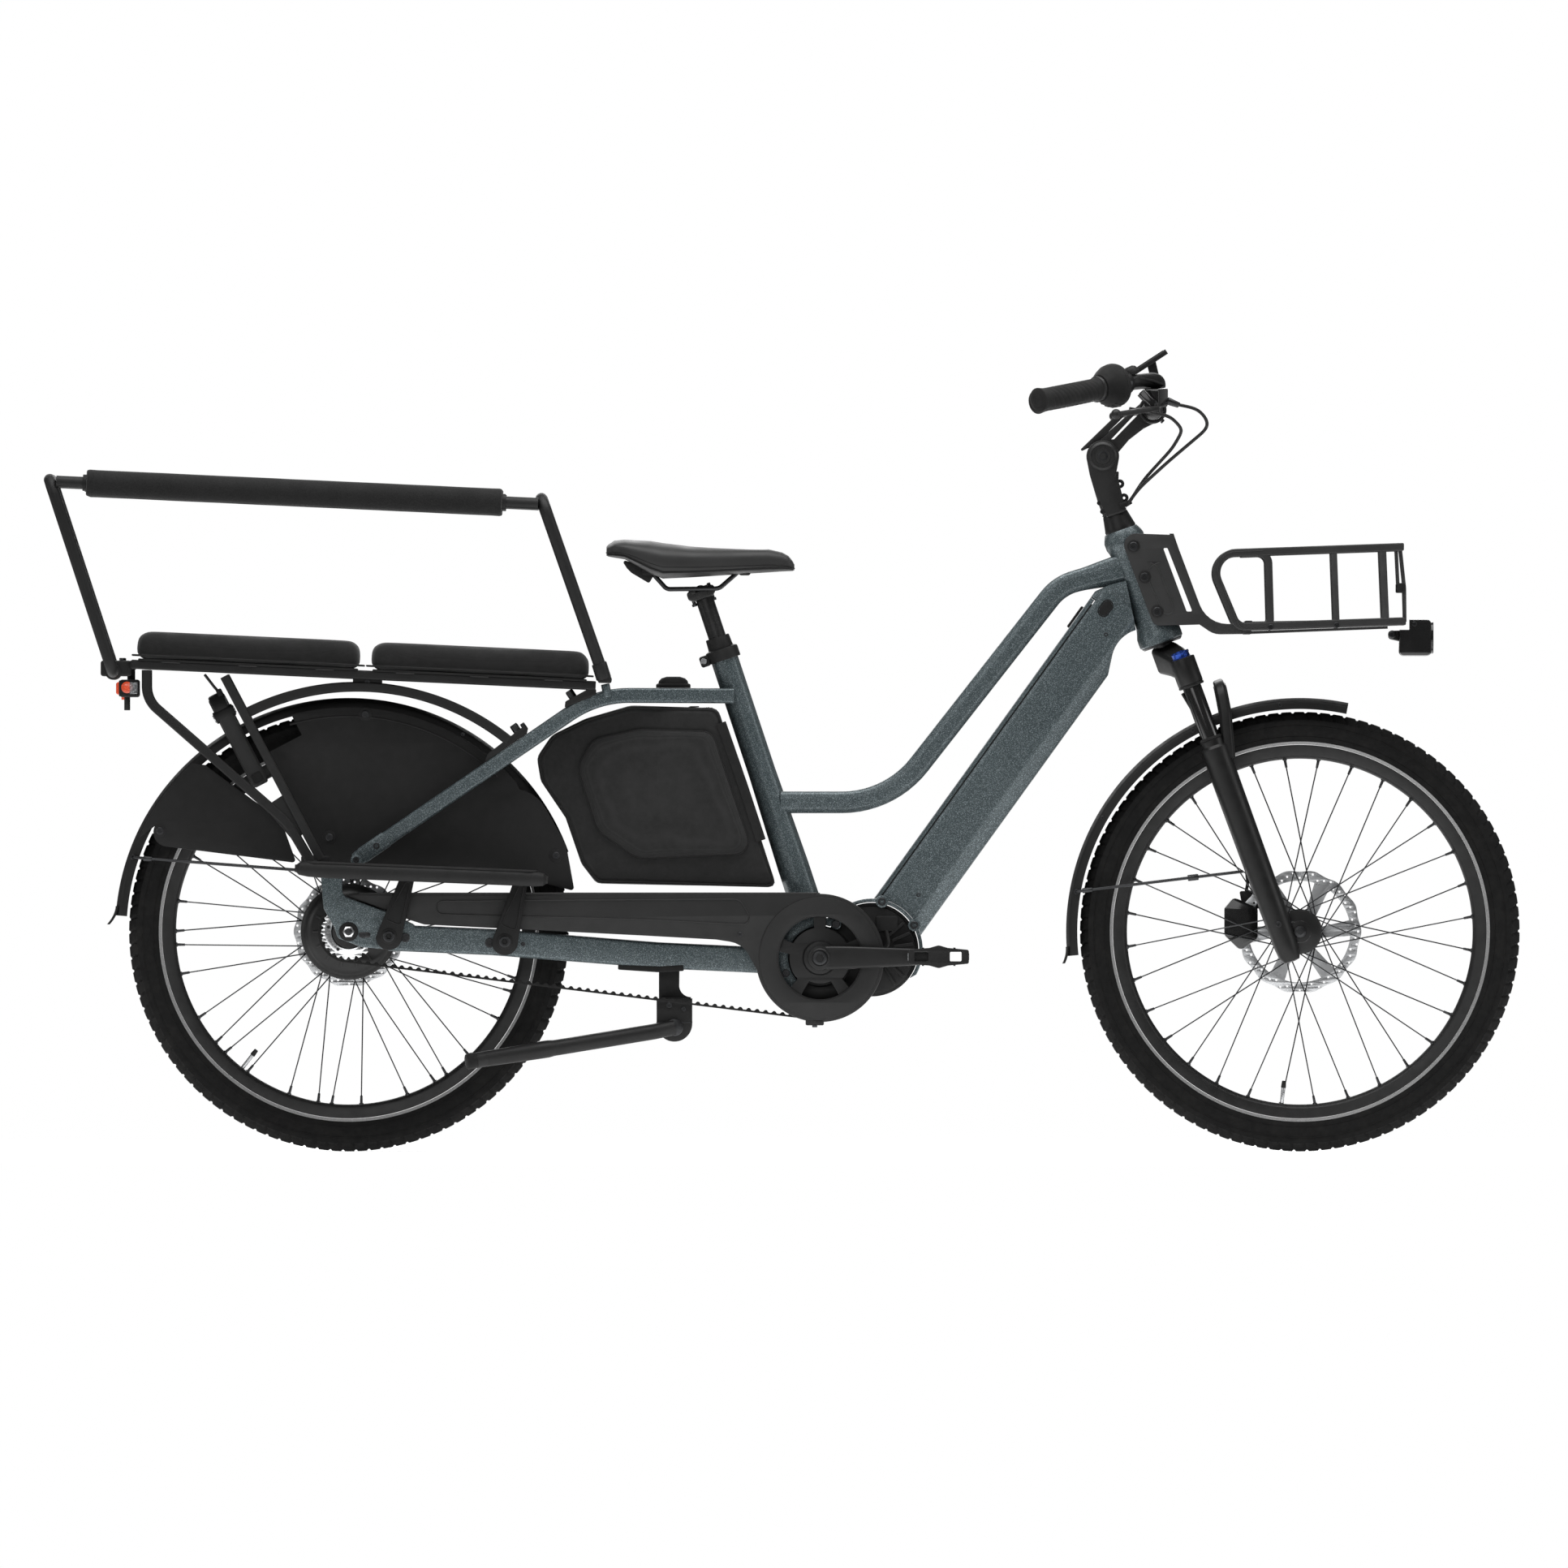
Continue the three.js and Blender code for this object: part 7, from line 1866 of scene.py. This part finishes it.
def make_stem_upper():
    outline = [*arc(stem_x, stem_z, 22, 130, 320, 40), (514, 1068), (530, 1087), (552, 1104),
               *arc(bar_x, bar_z, 20, -75, 125, 40)]
    arm = plate(outline, -11.8, 11.8, soft=2.2)
    clamp = plate(arc(bar_x, bar_z, 21.4, count=64), -24, 24, [arc(bar_x, bar_z, 16.2, count=56)], 1.8)
    top_plate = plate(rounded([(449, 1066, 2), (506, 1121, 14), (550, 1150, 4), (478, 1079, 14)]), -11.8,
                      11.8, soft=1.2)
    slit = plate([(503, 1088), (507, 1088), (546, 1128), (541, 1128)], -30, 30, soft=0.1)
    bore = rod(*side_line(bar_x, bar_z, -40, 40), 16.1, sides=56)
    arm = carve(arm, slit, bore)
    face_bolts = []
    for y in (-17, 17):
        face_bolts.append(socket_bolt((578, y, 1147.6), (580.4, y, 1150.4), 3.4))
        face_bolts.append(socket_bolt((580, y, 1116.8), (582.6, y, 1114.4), 3.4))
    display = sweep([(523.6, 0, 1180.7), (555, 0, 1201), (587.4, 0, 1222.2)], box_section(4, 29, 3), cap=1.8)
    direction = (Vector((587, 0, 1222)) - Vector((524, 0, 1181))).normalized()
    normal = Vector((-direction.z, 0, direction.x))
    glass = sweep([Vector((527, 0, 1183)) + normal * 4.0, Vector((584, 0, 1220)) + normal * 4.0],
                  box_section(0.7, 26.4, 0.5), cap=0.4)
    keys = []
    for k in range(3):
        centre = Vector((530.5, -13 + 13 * k, 1185.2)) + normal * 4.6
        keys.append(sweep([centre - direction * 2.6, centre + direction * 2.6], box_section(0.8, 4.6, 0.7),
                          cap=0.5))
    post = sweep(bent([(560, 0, 1148), (571, 0, 1176, 14), (564, 0, 1206)], 10), box_section(7, 9, 3))
    parts = [(merge(arm, clamp, top_plate), stem_grey), (merge(display, post), plastic), (glass, screen_look),
             (merge(*keys), lock_plastic), (merge(*face_bolts), dark_steel)]
    piece("stem_arm_and_display", parts, "bars", "stem_upper")


grip_start, grip_end = Vector((520, 178, 1172)), Vector((388, 305, 1146))
grip_axis = (grip_end - grip_start).normalized()
grip_length = (grip_end - grip_start).length


def on_grip(along, turn=0.0, radius=0.0):
    """A point `along` mm down the left grip, `radius` mm out at `turn` degrees from the top."""
    up = Vector((0, 0, 1))
    up = (up - grip_axis * up.dot(grip_axis)).normalized()
    side = grip_axis.cross(up)
    angle = math.radians(turn)
    return grip_start + grip_axis * along + (up * math.cos(angle) + side * math.sin(angle)) * radius


def make_handlebar():
    path = bent([(566, 0, 1133), (566, 42, 1133, 40), (577, 108, 1179, 40), (*on_grip(-25), 20),
                 on_grip(grip_length - 4)], 7)
    sizes = []
    for p in path:
        near = max(0.0, min(1.0, (70 - p.y) / 40))
        wide = 11.1 + 4.7 * near * near * (3 - 2 * near)
        sizes.append((wide, wide))
    half = sweep(path, round_section(1, 28), side=(1, 0, 0), sizes=sizes)
    centre = rod(*side_line(bar_x, bar_z, -30, 30), 15.9, sides=48)
    tank_start, tank_end = Vector((578, 112, 1152)), Vector((563, 163, 1149.6))
    tank = sweep([tank_start.lerp(tank_end, share) for share in (0, 0.12, 0.5, 0.88, 1)],
                 box_section(14.6, 12.8, 3), side=(1, 0, 0),
                 sizes=[(0.94, 0.92), (1, 1), (1, 1), (1, 1), (0.94, 0.92)], cap=1.5)
    lid = sweep([tank_start.lerp(tank_end, 0.06) + Vector((-3, 0, 15)),
                 tank_start.lerp(tank_end, 0.5) + Vector((-12, 0, 22)),
                 tank_start.lerp(tank_end, 0.94) + Vector((-26, 0, 27))], box_section(2.2, 11.6, 1.4),
                side=(1, 0, 0.2), cap=1)
    screws = [socket_bolt(tank_start.lerp(tank_end, s) + lift, tank_start.lerp(tank_end, s) + lift * 1.08,
                          2.2) for s, lift in ((0.2, Vector((-6, 0, 19))), (0.78, Vector((-20, 0, 26))))]
    clamp_ring = rod(on_grip(-10), on_grip(6), 16.8, sides=44, soft=1.6)
    clamp_bolt = rod(on_grip(-2, 90, 14), on_grip(-2, 90, 19), 3.6, sides=20)
    perch = sweep([(548, 168, 1160), (560, 169, 1147), (569, 170, 1140)], box_section(6, 7, 3),
                  side=(0, 1, 0), cap=2)
    nut = rod((588, 110, 1147), (606.5, 106, 1140), 5.2, 3.6, sides=24, soft=0.8)
    end_plug = rod(on_grip(grip_length - 8), on_grip(grip_length - 0.5), 10.8, sides=32, soft=1.4)
    left = [(merge(half, clamp_ring), fork_black), (merge(tank, perch), gloss), (lid, plastic),
            (merge(*screws, clamp_bolt, nut), dark_steel), (end_plug, plastic)]
    parts = [(both(shape), look) for shape, look in left] + [(centre, fork_black)]
    bell_place = on_grip(-24)
    bell_base = Vector((bell_place.x, -bell_place.y, bell_place.z))
    dome = lathe([(0, 0), (12, 0), (12.6, 1), (12, 5), (9.8, 9), (5.6, 11.4), (0, 12)],
                 aimed(bell_base + Vector((-4, 0, 12)), bell_base + Vector((-12, 0, 30))), 44)
    parts.append((dome, plastic))
    piece("handlebar_tube_and_brakes", parts, "bars", "handlebar")


def grip_shape():
    """An ergonomic grip: a palm wing behind, diagonal grooves and a flared end."""
    start = 54.0
    loops = []
    count, around = 96, 48
    for k in range(count + 1):
        share = k / count
        along = start + (grip_length - 0.8 - start) * share
        base = 16.2
        base += 2.6 * max(0, 1 - share / 0.07) ** 2
        base += 3.2 * max(0, (share - 0.86) / 0.14) ** 1.5 if share < 0.985 else 1.2
        tip = 0.0 if share < 0.97 else ((share - 0.97) / 0.03) ** 2 * 4.5
        loop = []
        for n in range(around):
            turn = 360 * n / around
            wing = max(0.0, math.cos(math.radians(turn - 120))) ** 3
            swell = 2.2 * wing * math.sin(math.pi * min(1, share * 1.02)) ** 0.7
            groove = 0.0
            if 0.1 < share < 0.84:
                phase = (along * 0.11 + turn * 0.0165) % 1
                groove = -0.9 * max(0.0, 1 - abs(phase - 0.5) * 6.5)
            loop.append(on_grip(along, turn, base - tip + swell + groove))
        loops.append(loop)
    return rings(loops)


def make_grips():
    lock = lathe([(12, 0), (18.4, 0), (19, 1), (19, 5), (18, 6), (12, 6)], aimed(on_grip(51), on_grip(60)),
                 44)
    left = [(grip_shape(), grip_look), (lock, alloy_black)]
    for side, parts in (("left", left), ("right", mirrored_parts(left))):
        made = piece(f"rubber_grip_{side}", parts, "bars", f"grip_{side}", 50)


def make_shifter():
    profile = [(12.5, 12), (30.4, 12), (32, 13), (33, 16), (33.4, 23), (32.2, 30), (28.4, 38), (23.6, 45.5),
               (20.4, 50), (12.5, 50)]
    frame_left = aimed(on_grip(0), on_grip(100))
    body = lathe(profile, frame_left, 88)
    ribs = []
    for k in range(9):
        turn = 150 + 15 * k
        ribs.append(sweep([on_grip(17, turn, 33), on_grip(27, turn, 32.8), on_grip(36, turn, 29.6)],
                          round_section(1.1, 8), cap=0.6))
    base = lathe([(12.2, 9), (25, 9), (26, 10), (26, 11.6), (12.2, 11.6)], frame_left, 56)
    ring = lathe([(32.4, 0), (33.6, 0.6), (33.6, 1.8), (32.4, 2.4)], aimed(on_grip(19), on_grip(30)), 88)
    parts = [(mirrored(merge(body, *ribs)), grip_look), (mirrored(merge(base, ring)), plastic)]
    piece("twist_grip", parts, "twist_shifter", "twist_shifter")


def make_levers():
    path = bent([(570, 172, 1135), (556, 196, 1132, 20), (512, 256, 1125)], 6)
    sizes = []
    for k in range(len(path)):
        share = k / (len(path) - 1)
        sizes.append((1 + 0.25 * math.sin(math.pi * share), 1.25 - 0.35 * share))
    blade = sweep(path, box_section(3.4, 6.2, 2.4), side=(1, 0, 0), sizes=sizes, cap=2)
    ball = [(max(0.0, 7.9 * math.cos(a)), 7.9 * math.sin(a))
            for a in (math.pi * (k / 12 - 0.5) for k in range(13))]
    knob = lathe(ball, Matrix.Translation((509, 260, 1125)), 32)
    pivot = rod((570, 172, 1128), (570, 172, 1142), 5.4, sides=28, soft=1)
    pin = socket_bolt((570, 172, 1141.6), (570, 172, 1143.4), 3.8)
    left = [(merge(blade, knob, pivot), stem_grey), (pin, dark_steel)]
    for side, parts in (("left", left), ("right", mirrored_parts(left))):
        piece(f"lever_blade_{side}", parts, f"brake_lever_{side}", f"brake_lever_{side}")


def make_hose(node, corners, name):
    """A control cable from its lever or shifter to the stem, one smooth curve of its real length."""
    line = smoothed(evenly(bent(corners, 6), 60))
    hose = sweep(line, round_section(2.6, 12), side=(0, 0.3, 1))
    made = piece(name, [(hose, hose_look)], None, node, 60)
    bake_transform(made)


def smoothed(line):
    """Rounds a line of points off without moving its two ends."""
    for _ in range(8):
        line = [line[0]] + [(a + b * 2 + c) / 4 for a, b, c in zip(line, line[1:], line[2:])] + [line[-1]]
    return line


def make_hoses():
    make_hose("hose_right", [(606, -106, 1140), (636, -104, 1134, 22), (655, -90, 1109, 15),
                             (590, -54, 1054, 150), (545, -26, 1013, 60), (527, -21, 988)], "brake_hose")
    make_hose("hose_left", [(530, -172, 1134), (592, -148, 1123, 22), (612, -112, 1102, 16),
                            (596, -70, 1074, 50), (552, -16, 1026, 60), (532, -6, 994)], "gear_cable")


# ---------------------------------------------------------------- seatpost and saddle
def make_seatpost():
    post = rod((0, 0, -240), (0, 0, 106), post_radius, sides=56, soft=0.6)
    marks = [lathe([(post_radius - 0.4, h), (post_radius + 0.08, h), (post_radius + 0.08, h + 0.7),
                    (post_radius - 0.4, h + 0.7)], sides=56) for h in range(40, 92, 10)]
    head = plate(rounded([(-24, 104, 6), (-16, 100, 4), (14, 100, 4), (20, 106, 6), (20, 117, 5),
                          (-24, 117, 5)]), -16.5, 16.5, soft=3)
    cradle = rod(*side_line(-2, 111, -18, 18), 10.6, sides=44, soft=1.8)
    clamps = [plate(oblong(-18, 14, 111, 119, 4), s * 15 - 3, s * 15 + 3, soft=1.4) for s in (-1, 1)]
    bolts = [rod((-17, 0, 96), (-17, 0, 121), 2.8, sides=18), rod((13, 0, 96), (13, 0, 121), 2.8, sides=18),
             socket_bolt((-17, 0, 97), (-17, 0, 92.6), 4.4), socket_bolt((13, 0, 97), (13, 0, 92.6), 4.4)]
    parts = [(moved(merge(post, head, cradle, *clamps), seat_frame), alloy_black),
             (moved(merge(*marks), seat_frame), lock_plastic), (moved(merge(*bolts), seat_frame), dark_steel)]
    piece("seat_post", parts, "seatpost", "seatpost")


saddle_stations = [(-268, 54, 917, 7), (-265, 62, 918, 9.6), (-256, 76, 920, 13.4), (-240, 86, 919.5, 15.5),
                   (-222, 90, 914, 20), (-200, 92, 907, 26), (-182, 89, 902, 28), (-140, 76, 900.5, 24.5),
                   (-110, 61, 900.5, 22.6), (-80, 48, 901, 21), (-50, 36, 901.6, 19.6), (-20, 26, 902, 18),
                   (0, 22, 900.4, 15), (10, 19.5, 898, 12), (16, 15, 894.4, 8), (19, 10, 892.4, 4.6)]


def make_saddle():
    around = 44
    loops, seam_low, seam_mid = [], [], []
    for x, half, middle, tall in saddle_stations:
        loop = []
        for n in range(around):
            turn = 2 * math.pi * n / around
            side, lift = math.cos(turn), math.sin(turn)
            y = half * math.copysign(abs(side) ** 0.72, side)
            if lift >= 0:
                z = middle + tall * abs(lift) ** 0.78
                z -= 2.6 * math.exp(-(y / 13) ** 2) * (1 if -235 < x < -20 else 0)
            else:
                z = middle - tall * 0.96 * abs(lift) ** 0.5
            loop.append(Vector((x, y, z)))
        loops.append(loop)
        seam_low.append((x, half * 0.985, middle - tall * 0.34))
        seam_mid.append((x, half * 0.80, middle + tall * 0.64))
    smooth = []
    for a, b in zip(loops, loops[1:]):
        smooth.append(a)
        smooth.append([p.lerp(q, 0.5) for p, q in zip(a, b)])
    smooth.append(loops[-1])
    pad = rings(smooth)
    lower = sweep(seam_low, round_section(1.0, 8), side=(0, 0, 1))
    upper = sweep(seam_mid[1:-2], round_section(0.9, 8), side=(0, 0, 1))
    rail = tube([(-202, -24, 888), (-176, -22, 859, 12), (-96, -22, 860, 16), (-64, -14, 888)], 3.5, 20)
    socket = block(-215, -196, -32, -17, 880, 892, 4)
    nose_socket = block(-66, -48, -19, 19, 880, 889, 4)
    clip = plate(rounded([(-246, 905, 3), (-237, 891, 3), (-230, 884, 3), (-203, 868, 3), (-197, 878, 3),
                          (-205, 892, 2)]), -30, 30, soft=1.6)
    shell_line = [(x, h * 0.93, m - t * 0.62) for x, h, m, t in saddle_stations[1:-1]]
    shell = sweep(shell_line, box_section(2.2, 1.6, 1.2), side=(0, 0, 1))
    pad_piece = piece("saddle_pad", [(pad, saddle_look), (both(merge(lower, upper)), piping_look),
                                     (merge(both(merge(socket, shell)), nose_socket, clip), plastic),
                                     (both(rail), dark_steel)], "seatpost", "saddle", 45)


make_head_tube()
make_seat_tube()
make_top_tube()
make_down_tube()
make_battery_cover()
make_motor()
make_motor_bracket()
make_rear_stays()
make_chainstays()
make_seat_clamp()
make_rack()
make_cushion("cushion_rear_pad", x0=-355, x1=0)
make_cushion("cushion_front_pad", x0=3, x1=350)
make_safety_rail()
make_rear_guard()
make_skirts()
make_frame_lock()
make_tail_light()
make_footboards()
make_bag()
make_kickstand()
make_belt_cover()
make_belt()
make_sprocket()
make_crank()
for pedal_side, pedal_sign in (("right", -1), ("left", 1)):
    make_pedal(pedal_side, pedal_sign)
make_front_wheel()
make_rear_wheel()
make_rotor("front", front_axle, radius=94.6, y=35, hub_radius=21.4)
make_rotor("rear", rear_axle, radius=85, y=58, hub_radius=21.4)
make_carrier()
make_basket()
make_headlight()
make_fork_crown()
make_fork_lowers()
make_front_guard()
make_stem_lower()
make_stem_upper()
make_handlebar()
make_grips()
make_shifter()
make_levers()
make_hoses()
make_seatpost()
make_saddle()
